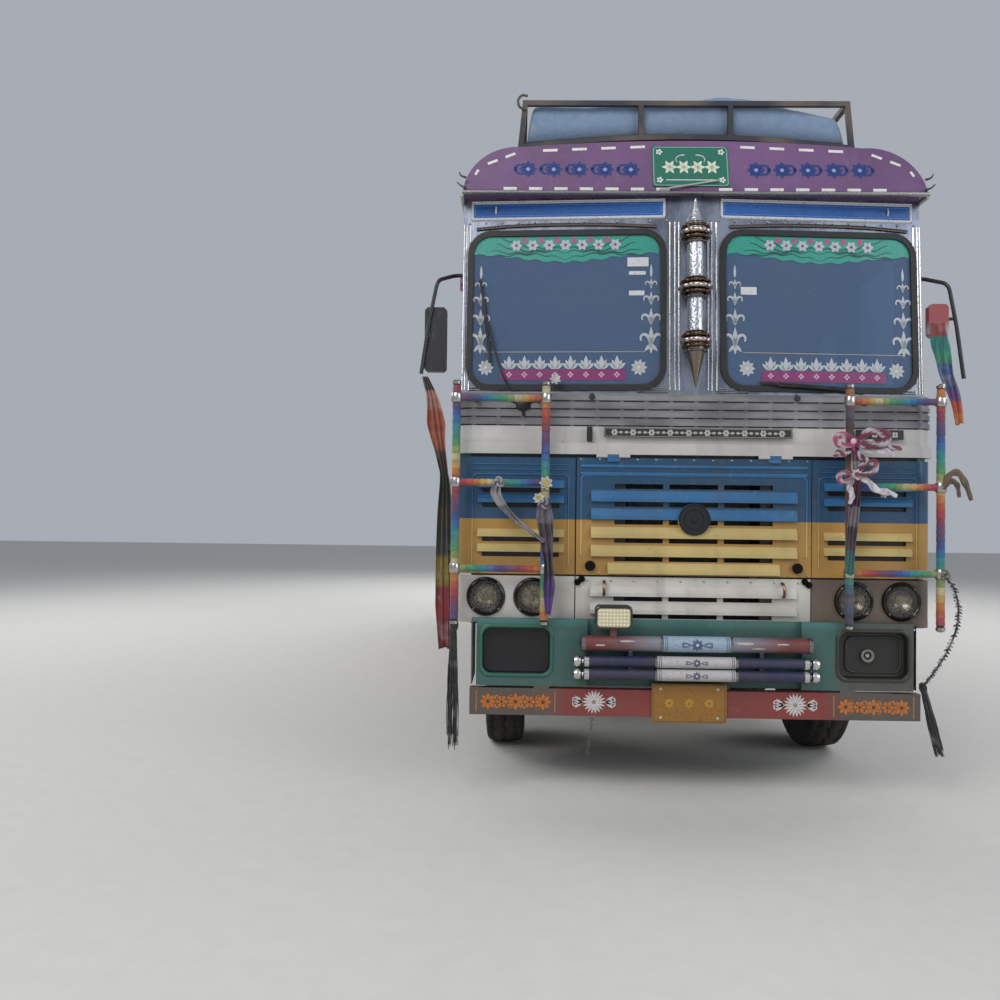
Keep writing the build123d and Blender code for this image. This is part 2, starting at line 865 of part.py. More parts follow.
def steered_wheel(axle_y, side, name):
    """Models a dished disc wheel with its brake drum and hub, bored for the stub axle."""
    rim_in_x = front_wheel_x - tyre_bead_width / 2
    rim_out_x = front_wheel_x + tyre_bead_width / 2
    disc_x = rim_out_x - wheel_disc_depth
    drum_x = plate_end_x + drum_gap
    bore_radius = spindle_radius + running_gap
    with BuildPart() as wheel:
        spin_profile(
            (
                (side * drum_x, bore_radius),
                (side * drum_x, rim_dish_radius),
                (side * rim_in_x, rim_radius - rim_lip),
                (side * rim_in_x, rim_radius),
                (side * rim_out_x, rim_radius),
                (side * (rim_out_x + 8), rim_radius - 4),
                (side * (rim_out_x + 8), rim_radius - rim_lip),
                (side * disc_x, rim_dish_radius),
                (side * disc_x, hub_radius),
                (side * (disc_x + hub_reach), hub_radius - 14),
                (side * (disc_x + hub_reach), bore_radius),
            ),
            axle_y,
        )
    save(wheel, name)


def drive_tyres(axle_y, side, name):
    """Models the two tyres of one twin wheel."""
    with BuildPart() as tyres:
        for tyre_x in (drive_inner_x, drive_outer_x):
            add(tyre_ring(side * tyre_x, axle_y))
    save(tyres, name)


def drive_wheel(axle_y, side, name):
    """Models both rims of one twin wheel with their drum and the deep dish outside."""
    rim_in_x = drive_inner_x - tyre_bead_width / 2
    rim_out_x = drive_outer_x + tyre_bead_width / 2
    disc_x = rim_out_x - drive_dish_depth
    bore_radius = drive_spindle_radius + running_gap
    with BuildPart() as wheel:
        spin_profile(
            (
                (side * (rim_in_x + 30), bore_radius),
                (side * (rim_in_x + 30), rim_dish_radius),
                (side * rim_in_x, rim_radius),
                (side * rim_out_x, rim_radius),
                (side * (rim_out_x + 8), rim_radius - 4),
                (side * (rim_out_x + 8), rim_radius - rim_lip),
                (side * (disc_x + 12), rim_dish_radius),
                (side * disc_x, rim_dish_radius - 12),
                (side * disc_x, hub_radius),
                (side * (disc_x + drive_hub_reach), hub_radius - 14),
                (side * (disc_x + drive_hub_reach), bore_radius),
            ),
            axle_y,
        )
    save(wheel, name)


for row, axle_y in (("first", axle_1_y), ("second", axle_2_y)):
    for side, hand in ((1, "left"), (-1, "right")):
        knuckle(axle_y, side, f"knuckle_{row}_{hand}", side > 0)
        steered_tyre(axle_y, side, f"tyre_{row}_{hand}")
        steered_wheel(axle_y, side, f"wheel_{row}_{hand}")
    tie_rod(axle_y, f"tie_rod_{row}")
for row, axle_y in (("third", axle_3_y), ("fourth", axle_4_y)):
    for side, hand in ((1, "left"), (-1, "right")):
        drive_tyres(axle_y, side, f"tyres_{row}_{hand}")
        drive_wheel(axle_y, side, f"wheel_{row}_{hand}")


def cab_plan(inset):
    """Sketches the cab's plan, set in by a distance, with rounded front corners."""
    half = cab_half - inset
    front = behind(panel_thickness + inset)
    back = behind(cab_length - inset)
    with BuildSketch() as plan:
        with Locations((0, (front + back) / 2)):
            Rectangle(2 * half, back - front)
        fillet(plan.vertices().group_by(Axis.Y)[0], cab_corner - inset)
    return plan.sketch


def screen_plane(side, depth):
    """Plane of one screen's frame: swept back towards its outer end and leaning back."""
    across = Vector(side * cab_half, screen_slope, 0)
    up = Vector(0, screen_lean, eave_z - sill_z)
    facing = across.cross(up) * side
    facing = facing.normalized()
    foot = Vector(0, behind(screen_front), sill_z) - facing * depth
    return Plane(origin=foot, x_dir=across * side, z_dir=facing)


# Cab floor with the raised cover over the engine and the cowl round the radiator
hump_low_z = cab_floor_low_z
with BuildPart() as cab_floor:
    with BuildSketch(Plane.XY.offset(cab_floor_low_z)):
        add(cab_plan(cab_wall))
    extrude(amount=floor_plate)
    front_y = behind(panel_thickness + cab_wall)
    block(-hump_half, hump_half, front_y, behind(cowl_depth), hump_low_z, cowl_high_z)
    block(-hump_half, hump_half, behind(cowl_depth), behind(hump_rear), hump_low_z, hump_high_z)
    inner_half = hump_half - hump_skin
    block(
        -inner_half, inner_half, front_y, behind(cowl_depth - hump_skin),
        hump_low_z, cowl_high_z - hump_skin, mode=Mode.SUBTRACT,
    )
    block(
        -inner_half, inner_half, behind(cowl_depth - hump_skin), behind(hump_rear - hump_skin),
        hump_low_z, hump_high_z - hump_skin, mode=Mode.SUBTRACT,
    )
save(cab_floor, "cab_floor")

# Cab walls: rounded front corners, door openings, radiator opening and sloping screen seats
door_back = door_front + door_length
sleeper_y = behind((door_back + cab_length) / 2)
window_mid_z = (door_window_low_z + door_high_z - door_window_margin) / 2
window_height = door_high_z - door_window_margin - door_window_low_z
with BuildPart() as cab_shell:
    with BuildSketch(Plane.XY.offset(cab_floor_low_z)):
        add(cab_plan(0))
        add(cab_plan(cab_wall), mode=Mode.SUBTRACT)
    extrude(amount=eave_z - cab_floor_low_z)
    block(
        -cab_half + cab_corner, cab_half - cab_corner,
        behind(panel_thickness), behind(panel_thickness + cab_wall),
        skirt_low_z, cab_floor_low_z,
    )
    for side in (-1, 1):
        with BuildSketch(screen_plane(side, screen_frame_thickness)) as seat:
            with Locations((side * 700, 620)):
                Rectangle(1500, 1240)
        extrude(amount=400, mode=Mode.SUBTRACT)
    block(
        -cab_half + cab_corner, cab_half - cab_corner,
        behind(panel_thickness + cab_wall), behind(cowl_depth + 20), sill_z - cowl_plate, sill_z,
    )
    block(
        -inner_half, inner_half, behind(0), behind(panel_thickness + cab_wall),
        skirt_low_z + 40, cowl_high_z - hump_skin, mode=Mode.SUBTRACT,
    )
    with BuildSketch(Plane.YZ.offset(-cab_half - 10)):
        with Locations((behind((door_front + door_back) / 2), (door_low_z + door_high_z) / 2)):
            Rectangle(door_length + 2 * door_gap, door_high_z - door_low_z + 2 * door_gap)
        with Locations((sleeper_y, window_mid_z)):
            RectangleRounded(*sleeper_window_size, sleeper_window_corner)
    extrude(amount=2 * cab_half + 20, mode=Mode.SUBTRACT)
    with BuildSketch(Plane.XZ.offset(-behind(0))):
        for side in (-1, 1):
            for x in lamp_x:
                with Locations((side * x, lamp_z)):
                    Circle(lamp_radius)
    extrude(amount=-(panel_thickness + cab_wall), mode=Mode.SUBTRACT)
    hinge_y = behind(door_front - door_gap)
    for side in (-1, 1):
        hinge_x = side * (cab_half + door_hinge_stand_off)
        for hinge_z in door_hinge_z:
            low_z = hinge_z - door_hinge_length / 6
            high_z = hinge_z + door_hinge_length / 6
            rod((hinge_x, hinge_y, low_z), (hinge_x, hinge_y, high_z), door_hinge_radius)
            block(side * (cab_half - 2), hinge_x, hinge_y - 60, hinge_y, low_z, high_z)
            rod(
                (hinge_x, hinge_y, hinge_z - door_hinge_length / 2),
                (hinge_x, hinge_y, hinge_z + door_hinge_length / 2),
                door_hinge_pin,
            )
save(cab_shell, "cab_shell")


def roof_outline(inset):
    """Sketches the roof's arched section between its eaves, set in by a distance."""
    half = cab_half - inset
    shoulder = roof_shoulder_x - inset / 2
    with BuildSketch(Plane.XZ) as outline:
        with BuildLine():
            eave_left = (half, eave_z)
            eave_right = (-half, eave_z)
            high_left = (shoulder, roof_shoulder_z - inset)
            high_right = (-shoulder, roof_shoulder_z - inset)
            bend_x = half - 0.24 * (half - shoulder)
            bend_z = eave_z + 0.66 * (roof_shoulder_z - inset - eave_z)
            Line(eave_right, eave_left)
            ThreePointArc(eave_left, (bend_x, bend_z), high_left)
            ThreePointArc(high_left, (0, roof_top_z - inset), high_right)
            ThreePointArc(high_right, (-bend_x, bend_z), eave_right)
        make_face()
    return outline.sketch


def crown_wedge(inset):
    """Sketches what is cut off the front of the roof so that its crown leans back."""
    low_y = behind(crown_front + inset)
    high_y = low_y + crown_bow
    with BuildSketch(Plane.YZ.offset(-cab_half - 10)) as wedge:
        with BuildLine():
            Polyline(
                (low_y, eave_z),
                (high_y, roof_top_z),
                (high_y, roof_top_z + 100),
                (low_y - 400, roof_top_z + 100),
                (low_y - 400, eave_z - 10),
                (low_y, eave_z - 10),
                close=True,
            )
        make_face()
    return wedge.sketch


# Roof: an arched shell whose front is the leaning crown board above the screens
with BuildPart() as roof_hollow:
    with BuildSketch(Plane.XZ.offset(-behind(cab_length - roof_skin))):
        add(roof_outline(roof_skin))
    extrude(amount=cab_length - roof_skin - crown_front)
    extrude(crown_wedge(roof_skin), amount=2 * cab_half + 20, mode=Mode.SUBTRACT)
with BuildPart() as cab_roof:
    with BuildSketch(Plane.XZ.offset(-behind(cab_length))):
        add(roof_outline(0))
    extrude(amount=cab_length - crown_front)
    extrude(crown_wedge(0), amount=2 * cab_half + 20, mode=Mode.SUBTRACT)
    add(roof_hollow.part, mode=Mode.SUBTRACT)
    block(
        -cab_half + roof_skin, cab_half - roof_skin,
        behind(crown_front + 2), behind(screen_front + screen_slope + screen_lean + 50),
        eave_z, eave_z + roof_skin / 2,
    )
save(cab_roof, "cab_roof")

# Screen frames: two flat plates in a shallow vee, their gaskets and their panes
screen_width = screen_outer_x - screen_inner_x
screen_height = screen_high_z - screen_low_z
screen_mid = ((screen_inner_x + screen_outer_x) / 2, (screen_low_z + screen_high_z) / 2 - sill_z)
with BuildPart() as frame_trim:
    block(
        -cab_half, cab_half, behind(-200), behind(screen_slope + screen_lean + 200),
        sill_z, eave_z,
    )
with BuildPart() as screen_frame_left:
    with BuildSketch(screen_plane(1, screen_frame_thickness)):
        with Locations((700, 620)):
            Rectangle(1700, 1340)
        with Locations(screen_mid):
            RectangleRounded(screen_width, screen_height, screen_corner, mode=Mode.SUBTRACT)
    extrude(amount=screen_frame_thickness)
    add(frame_trim.part, mode=Mode.INTERSECT)
    split(bisect_by=Plane.YZ, keep=Keep.TOP)
with BuildPart() as screen_frames:
    add(screen_frame_left.part)
    mirror(about=Plane.YZ)
save(screen_frames, "screen_frames")

with BuildPart() as gaskets:
    with BuildSketch(screen_plane(1, 0)):
        with Locations(screen_mid):
            RectangleRounded(
                screen_width + 2 * gasket_width,
                screen_height + 2 * gasket_width,
                screen_corner + gasket_width,
            )
            RectangleRounded(
                screen_width - 12, screen_height - 12, screen_corner - 6, mode=Mode.SUBTRACT,
            )
    extrude(amount=gasket_reach)
    mirror(about=Plane.YZ)
save(gaskets, "screen_gaskets")

with BuildPart() as cab_glass:
    with BuildSketch(screen_plane(1, glass_thickness)):
        with Locations(screen_mid):
            RectangleRounded(screen_width, screen_height, screen_corner)
    extrude(amount=glass_thickness)
    with BuildSketch(Plane.YZ.offset(cab_half - cab_wall / 2 - door_glass / 2)):
        with Locations((sleeper_y, window_mid_z)):
            RectangleRounded(*sleeper_window_size, sleeper_window_corner)
    extrude(amount=door_glass)
    mirror(about=Plane.YZ)
save(cab_glass, "cab_glass")


def door(side):
    """Models one door with its window opening and the turning halves of its hinges."""
    outer_x = side * cab_half
    inner_x = side * (cab_half - cab_wall)
    hinge_x = side * (cab_half + door_hinge_stand_off)
    hinge_y = behind(door_front - door_gap)
    with BuildPart() as leaf:
        block(
            inner_x, outer_x, behind(door_front), behind(door_back), door_low_z, door_high_z,
        )
        with BuildSketch(Plane.YZ.offset(-cab_half - 10)):
            with Locations((behind((door_front + door_back) / 2), window_mid_z)):
                RectangleRounded(
                    door_length - 2 * door_window_margin, window_height, door_window_corner,
                )
        extrude(amount=2 * cab_half + 20, mode=Mode.SUBTRACT)
        for hinge_z in door_hinge_z:
            for end in (-1, 1):
                low_z = hinge_z + (end - 0.5) * door_hinge_length / 3 + hinge_slack
                high_z = low_z + door_hinge_length / 3 - 2 * hinge_slack
                rod((hinge_x, hinge_y, low_z), (hinge_x, hinge_y, high_z), door_hinge_radius)
                block(outer_x, hinge_x, hinge_y, behind(door_front + 60), low_z, high_z)
            rod(
                (hinge_x, hinge_y, hinge_z - door_hinge_length / 2),
                (hinge_x, hinge_y, hinge_z + door_hinge_length / 2),
                door_hinge_pin + running_gap, mode=Mode.SUBTRACT,
            )
        grip_start = behind(door_back - 160)
        grip_end = behind(door_back - 40)
        block(outer_x, outer_x + side * 40, grip_start, grip_end, grip_z, grip_z + 24)
        block(
            outer_x, outer_x + side * 26, grip_start + 14, grip_end - 14,
            grip_z - 2, grip_z + 26, mode=Mode.SUBTRACT,
        )
    return leaf


for side, hand in ((1, "left"), (-1, "right")):
    save(door(side), f"door_{hand}")
    mid_x = side * (cab_half - cab_wall / 2)
    with BuildPart() as door_pane:
        with BuildSketch(Plane.YZ.offset(mid_x - door_glass / 2)):
            with Locations((behind((door_front + door_back) / 2), window_mid_z)):
                RectangleRounded(
                    door_length - 2 * door_window_margin, window_height, door_window_corner,
                )
        extrude(amount=door_glass)
    save(door_pane, f"door_glass_{hand}")


def band_plan(reach):
    """Sketches the plan of a sheet wrapped round the cab's front, proud by a distance."""
    half = cab_half + panel_thickness + reach
    front = behind(-reach)
    back = behind(panel_return)
    with BuildSketch() as band:
        with Locations((0, (front + back) / 2)):
            Rectangle(2 * half, back - front)
        fillet(band.vertices().group_by(Axis.Y)[0], cab_corner + panel_thickness + reach)
        add(cab_plan(0), mode=Mode.SUBTRACT)
    return band.sketch


def band(low_z, high_z, reach):
    """Adds a wrapped sheet between two heights to the part being built."""
    with BuildSketch(Plane.XY.offset(low_z)) as sheet:
        add(band_plan(reach))
    extrude(sheet.sketch, amount=high_z - low_z)


def hood(x0, x1, low_z, bar, front_y):
    """Presses one bar out of a sheet: it slopes out and down to an open lip, with closed ends."""
    lip_y = front_y - louvre_reach
    slope = ((front_y, low_z + bar), (lip_y, low_z + louvre_lip), (lip_y, low_z))
    with BuildSketch(Plane.YZ.offset(x0)) as shell:
        with BuildLine():
            Polyline(
                (front_y + louvre_sheet, low_z + bar),
                *slope,
                (lip_y + louvre_sheet, low_z),
                (lip_y + louvre_sheet, low_z + louvre_lip),
                close=True,
            )
        make_face()
    extrude(shell.sketch, amount=x1 - x0)
    for end_x in (x0, x1 - louvre_sheet):
        with BuildSketch(Plane.YZ.offset(end_x)) as cheek:
            with BuildLine():
                Polyline((front_y + 1, low_z + bar), *slope, (front_y + 1, low_z), close=True)
            make_face()
        extrude(cheek.sketch, amount=louvre_sheet)


def louvre_slots(x0, x1, low_z, count, front_y, thickness):
    """Cuts a row of equal slots through a sheet, with a bridge between neighbours."""
    width = (x1 - x0 - (count - 1) * louvre_bridge) / count
    for index in range(count):
        start = x0 + index * (width + louvre_bridge)
        block(
            start, start + width, front_y - 1, front_y + thickness + 1,
            low_z, low_z + louvre_slot, mode=Mode.SUBTRACT,
        )


def louvre_row(x0, x1, low_z, bar, count, inset, front_y, thickness):
    """Models one louvre: a row of slots and the pressed bar that shades it from above."""
    louvre_slots(x0 + inset, x1 - inset, low_z, count, front_y, thickness)
    hood(x0, x1, low_z + louvre_slot, bar, front_y)


# Louvred corner panels beside the grille, wrapped round the cab's corners
with BuildPart() as corner_panels:
    band(grille_low_z, grille_high_z, 0)
    centre_half = grille_half + panel_gap
    block(
        -centre_half, centre_half, behind(-10), behind(panel_return),
        grille_low_z - 5, grille_high_z + 5, mode=Mode.SUBTRACT,
    )
    for low_z in corner_row_z:
        for side in (-1, 1):
            ends = sorted((side * (centre_half + 60), side * (cab_half - cab_corner - 30)))
            louvre_row(
                *ends, low_z, corner_bar, 1, corner_slot_inset, behind(0), panel_thickness,
            )
save(corner_panels, "corner_panels")

# White panels round the headlamps, and the louvred panel between them
with BuildPart() as lower_panels:
    band(lower_grille_low_z, lower_grille_high_z, 0)
    for side in (-1, 1):
        block(
            side * grille_half, side * (grille_half + panel_gap), behind(-10), behind(30),
            lower_grille_low_z - 5, lower_grille_high_z + 5, mode=Mode.SUBTRACT,
        )
    with BuildSketch(Plane.XZ.offset(-behind(-1))):
        for side in (-1, 1):
            for x in lamp_x:
                with Locations((side * x, lamp_z)):
                    Circle(lamp_radius)
    extrude(amount=-(panel_thickness + 20), mode=Mode.SUBTRACT)
    for low_z in lower_row_z:
        louvre_row(
            -louvre_half, louvre_half, low_z, lower_bar, 3, louvre_slot_inset,
            behind(0), panel_thickness,
        )
save(lower_panels, "lower_panels")

with BuildPart() as headlamps:
    with BuildSketch(Plane.XZ.offset(-behind(-lamp_reach))):
        for side in (-1, 1):
            for x in lamp_x:
                with Locations((side * x, lamp_z)):
                    Circle(lamp_radius)
    extrude(amount=-(lamp_depth + lamp_reach))
    fillet(headlamps.edges().group_by(Axis.Y)[0], lamp_reach - 2)
save(headlamps, "headlamps")

# Ledge, name panel and the corrugated strips under the screens
strip_pitch = (strip_high_z - name_high_z) / strip_count
with BuildPart() as name_panel:
    band(ledge_low_z, strip_high_z, 0)
    band(ledge_low_z, ledge_high_z, ledge_reach)
    for index in range(strip_count):
        low_z = name_high_z + (index + 0.2) * strip_pitch
        band(low_z, low_z + 0.6 * strip_pitch, 8)
    for hinge_x in flap_hinge_x:
        for end in (-1, 1):
            start = hinge_x + (end - 0.5) * flap_hinge_length + hinge_slack
            stop = start + flap_hinge_length - 2 * hinge_slack
            block(
                start, stop, behind(-flap_axis_back - 6), behind(-flap_axis_back + 6),
                flap_axis_z, ledge_low_z,
            )
            rod(
                (start, behind(-flap_axis_back), flap_axis_z),
                (stop, behind(-flap_axis_back), flap_axis_z),
                flap_hinge_radius,
            )
        rod(
            (hinge_x - 1.5 * flap_hinge_length + 1, behind(-flap_axis_back), flap_axis_z),
            (hinge_x + 1.5 * flap_hinge_length - 1, behind(-flap_axis_back), flap_axis_z),
            flap_pin_radius,
        )
save(name_panel, "name_panel")

# Louvred flap over the radiator, hung from the ledge at its top edge
flap_front_y = behind(-panel_thickness / 2)
with BuildPart() as grille_flap:
    block(
        -grille_half, grille_half, flap_front_y, flap_front_y + panel_thickness,
        grille_low_z, grille_high_z,
    )
    for low_z in flap_row_z:
        louvre_row(
            -louvre_half, louvre_half, low_z, flap_bar, 3, louvre_slot_inset,
            flap_front_y, panel_thickness,
        )
    louvre_slots(
        louvre_slot_inset - louvre_half, louvre_half - louvre_slot_inset,
        flap_top_slot_z, 3, flap_front_y, panel_thickness,
    )
    hood(-flap_foot_bar_half, flap_foot_bar_half, flap_foot_bar_z, flap_bar, flap_front_y)
    for low_z in flap_rib_z:
        block(
            -grille_half + 20, grille_half - 20, flap_front_y - 6, flap_front_y + 1,
            low_z, low_z + 14,
        )
    rod((0, flap_front_y, badge_z), (0, flap_front_y - louvre_reach - 6, badge_z), badge_radius)
    for side in (-1, 1):
        knob = (side * (grille_half - 75), 1206)
        rod((knob[0], flap_front_y, knob[1]), (knob[0], flap_front_y - 26, knob[1]), 17)
    for hinge_x in flap_hinge_x:
        start = hinge_x - flap_hinge_length / 2
        stop = hinge_x + flap_hinge_length / 2
        block(
            start, stop, behind(-flap_axis_back - 4), flap_front_y + 1,
            grille_high_z - 20, flap_axis_z,
        )
        rod(
            (start, behind(-flap_axis_back), flap_axis_z),
            (stop, behind(-flap_axis_back), flap_axis_z),
            flap_hinge_radius,
        )
        rod(
            (start - 1, behind(-flap_axis_back), flap_axis_z),
            (stop + 1, behind(-flap_axis_back), flap_axis_z),
            flap_pin_radius + running_gap, mode=Mode.SUBTRACT,
        )
save(grille_flap, "grille_flap")

# Bumper fascia with its recessed bay, its lamp pockets and the brackets to the frame
with BuildPart() as fascia:
    with BuildSketch(Plane.XY.offset(fascia_low_z)) as fascia_plan:
        with Locations((0, behind((fascia_wrap - fascia_reach) / 2))):
            Rectangle(2 * fascia_half, fascia_wrap + fascia_reach)
        fillet(fascia_plan.vertices().group_by(Axis.Y)[0], fascia_corner)
        inner_half = fascia_half - fascia_plate
        with Locations((0, behind((fascia_wrap - fascia_reach) / 2 + fascia_plate))):
            Rectangle(2 * inner_half, fascia_wrap + fascia_reach, mode=Mode.SUBTRACT)
    extrude(amount=fascia_high_z - fascia_low_z)
    front_y = behind(-fascia_reach)
    bay_y = front_y + fascia_bay_depth
    block(
        -fascia_bay_half, fascia_bay_half, front_y - 5, front_y + fascia_plate + 1,
        fascia_low_z - 5, fascia_high_z + 5, mode=Mode.SUBTRACT,
    )
    block(
        -fascia_half - 1, fascia_half + 1, behind(-panel_thickness), behind(fascia_wrap + 1),
        skirt_low_z - panel_gap, fascia_high_z + 1, mode=Mode.SUBTRACT,
    )
    block(
        -fascia_bay_half - fascia_plate, fascia_bay_half + fascia_plate,
        bay_y, bay_y + fascia_plate, fascia_low_z, fascia_high_z,
    )
    for side in (-1, 1):
        block(
            side * fascia_bay_half, side * (fascia_bay_half + fascia_plate),
            front_y, bay_y + fascia_plate, fascia_low_z, fascia_high_z,
        )
        block(
            side * (fascia_bay_half + fascia_plate), side * (fascia_half - fascia_plate),
            front_y + fascia_plate, behind(-panel_thickness),
            fascia_high_z - fascia_plate, fascia_high_z,
        )
        box_x = (pocket_x[0] - fascia_plate, pocket_x[1] + fascia_plate)
        block(
            side * box_x[0], side * box_x[1], front_y + fascia_plate, front_y + pocket_depth + 8,
            pocket_z[0] - fascia_plate, pocket_z[1] + fascia_plate,
        )
        with BuildSketch(Plane.XZ.offset(-front_y)):
            with Locations((side * sum(pocket_x) / 2, sum(pocket_z) / 2)):
                RectangleRounded(
                    pocket_x[1] - pocket_x[0], pocket_z[1] - pocket_z[0], pocket_corner,
                )
        extrude(amount=-pocket_depth, mode=Mode.SUBTRACT)
        block(
            side * rail_x, side * (rail_x - 2 * bracket_half_width),
            bay_y + fascia_plate, rail_front_y, *bracket_z,
        )
save(fascia, "bumper_fascia")

# Channel rail below the fascia
with BuildPart() as bumper_rail:
    block(
        -rail_bar_half, rail_bar_half, front_y, front_y + rail_bar_depth,
        rail_bar_low_z, rail_bar_high_z,
    )
    block(
        -rail_bar_half - 1, rail_bar_half + 1,
        front_y + rail_bar_plate, front_y + rail_bar_depth + 1,
        rail_bar_low_z + rail_bar_plate, rail_bar_high_z - rail_bar_plate, mode=Mode.SUBTRACT,
    )
    for side in (-1, 1):
        block(
            side * 760, side * 840, front_y, front_y + fascia_plate,
            rail_bar_high_z - 1, fascia_low_z,
        )
save(bumper_rail, "bumper_rail")

# Three guard tubes across the bay, and the work lamp that stands on the top one
tube_y = behind(-tube_front + tube_rows[0][1])
with BuildPart() as bumper_tubes:
    for tube_z, tube_radius in tube_rows:
        rod((-tube_half, tube_y, tube_z), (tube_half, tube_y, tube_z), tube_radius)
    for side in (-1, 1):
        block(
            side * tube_bracket_x - 10, side * tube_bracket_x + 10, tube_y, bay_y,
            tube_rows[-1][0] - 20, tube_rows[0][0] + 20,
        )
    lamp_low_z = tube_rows[0][0] + tube_rows[0][1] + 42
    with BuildSketch(Plane.XZ.offset(-tube_y - work_lamp_size[1] / 2)):
        with Locations((work_lamp_x, lamp_low_z + work_lamp_size[2] / 2)):
            RectangleRounded(work_lamp_size[0], work_lamp_size[2], 26)
    extrude(amount=work_lamp_size[1])
    block(
        work_lamp_x - 16, work_lamp_x + 16, tube_y - 8, tube_y + 8,
        tube_rows[0][0] + tube_rows[0][1] - 10, lamp_low_z + 1,
    )
save(bumper_tubes, "bumper_tubes")

# Ladder-like guard pipes in front of both cab corners
pipe_y = behind(-pipe_front)
with BuildPart() as guard_pipes:
    for side in (-1, 1):
        for x in (pipe_inner_x, pipe_outer_x):
            rod((side * x, pipe_y, pipe_low_z), (side * x, pipe_y, pipe_high_z), pipe_radius)
        for rung_z in pipe_rungs_z:
            rod(
                (side * pipe_inner_x, pipe_y, rung_z), (side * pipe_outer_x, pipe_y, rung_z),
                rung_radius,
            )
        for rung_z in (pipe_rungs_z[0], pipe_rungs_z[-1]):
            for x in (pipe_inner_x + 40, cab_half - cab_corner - 20):
                rod((side * x, pipe_y, rung_z), (side * x, behind(20), rung_z), stand_off_radius)
    add(corner_panels.part, mode=Mode.SUBTRACT)
    add(name_panel.part, mode=Mode.SUBTRACT)
    add(cab_shell.part, mode=Mode.SUBTRACT)
save(guard_pipes, "guard_pipes")

# Turned ornament on the pillar between the screens
lean = screen_lean / (eave_z - sill_z)
spear_foot_y = behind(screen_front - spear_stand_off - spear_radius) + lean * (spear_low_z - sill_z)
spear_length = spear_high_z - spear_low_z
spear_plane = Plane(
    origin=(0, spear_foot_y, spear_low_z), x_dir=(1, 0, 0), z_dir=(0, -1, lean),
)
with BuildPart() as spear:
    with BuildSketch(spear_plane) as half_spear:
        with BuildLine():
            Polyline(
                (0, 0),
                (spear_radius, 0.19 * spear_length),
                (spear_radius, 0.81 * spear_length),
                (0, spear_length),
                close=True,
            )
        make_face()
        for collar_z in spear_collars_z:
            with Locations((spear_collar_radius / 2, collar_z - spear_low_z)):
                Rectangle(spear_collar_radius, 46)
    revolve(axis=Axis((0, spear_foot_y, spear_low_z), (0, lean, 1)))
    for collar_z in spear_collars_z:
        collar_y = spear_foot_y + lean * (collar_z - spear_low_z)
        block(-16, 16, collar_y, collar_y + 200, collar_z - 12, collar_z + 12)
    add(screen_frames.part, mode=Mode.SUBTRACT)
    split(bisect_by=Plane.XZ.offset(-behind(screen_front + 40)), keep=Keep.TOP)
save(spear, "spear_ornament")

# Mirrors on their bent arms
mirror_heads = {
    1: ((1289, 1395), (2467, 2648)),
    -1: ((1337, 1458), (2254, 2609)),
}
with BuildPart() as mirrors:
    for side in (-1, 1):
        arm_y = behind(mirror_set_back)
        path = (
            (side * cab_half, arm_y + 130, mirror_root_z),
            (side * (cab_half + 50), arm_y + 130, mirror_root_z),
            (side * (mirror_root_x + 60), arm_y, mirror_root_z - 60),
            (side * (mirror_bend_x - 40), arm_y, (mirror_root_z + mirror_foot_z) / 2),
            (side * mirror_bend_x, arm_y, mirror_foot_z),
        )
        with BuildLine() as arm_line:
            FilletPolyline(*path, radius=60)
        with BuildSketch(Plane(origin=path[0], z_dir=arm_line.line % 0)):
            Circle(mirror_arm_radius)
        sweep(path=arm_line.line)
        head_x, head_z = mirror_heads[side]
        head_front_y = arm_y + mirror_arm_radius / 2
        with BuildSketch(Plane.XZ.offset(-head_front_y - mirror_head_depth)) as head:
            with Locations((side * sum(head_x) / 2, sum(head_z) / 2)):
                Rectangle(head_x[1] - head_x[0], head_z[1] - head_z[0])
            chamfer(head.vertices(), length=mirror_head_corner)
        extrude(amount=mirror_head_depth)
        stay_z = head_z[0] + 0.55 * (head_z[1] - head_z[0])
        stay_x = side * (mirror_bend_x - 44)
        rod((stay_x, arm_y, stay_z), (side * (head_x[1] - 12), arm_y + 20, stay_z), 9)
save(mirrors, "mirrors")

# Seats, bunk and dashboard with the steering wheel on the right-hand side
seat_x = 800
seat_half = 290
seat_z = (1500, 1620)
seat_front = 820
seat_back = 1330
seat_corner = 60
backrest_high_z = 2290
bunk_z = (1640, 1790)
with BuildPart() as seats:
    for side in (-1, 1):
        block(
            side * (seat_x - seat_half + 40), side * (seat_x + seat_half - 40),
            behind(seat_front + 40), behind(seat_back - 30), cab_floor_z, seat_z[0],
        )
        with BuildSketch(Plane.XY.offset(seat_z[0])):
            with Locations((side * seat_x, behind((seat_front + seat_back) / 2))):
                RectangleRounded(2 * seat_half, seat_back - seat_front, seat_corner)
        extrude(amount=seat_z[1] - seat_z[0])
        with BuildSketch(Plane.YZ.offset(side * seat_x - seat_half + 20)) as backrest:
            with BuildLine():
                Polyline(
                    (behind(seat_back - 80), seat_z[1] - 5),
                    (behind(seat_back + 10), backrest_high_z),
                    (behind(seat_back + 100), backrest_high_z),
                    (behind(seat_back + 50), seat_z[0] + 60),
                    (behind(seat_back - 40), seat_z[0] + 60),
                    close=True,
                )
            make_face()
        extrude(amount=2 * seat_half - 40)
    bunk_half = cab_half - cab_wall
    bunk_y = (behind(hump_rear + 10), behind(cab_length - cab_wall))
    block(-bunk_half, bunk_half, *bunk_y, *bunk_z)
    for side in (-1, 1):
        block(
            side * (bunk_half - 30), side * bunk_half, *bunk_y, cab_floor_z, bunk_z[0],
        )
save(seats, "seats")

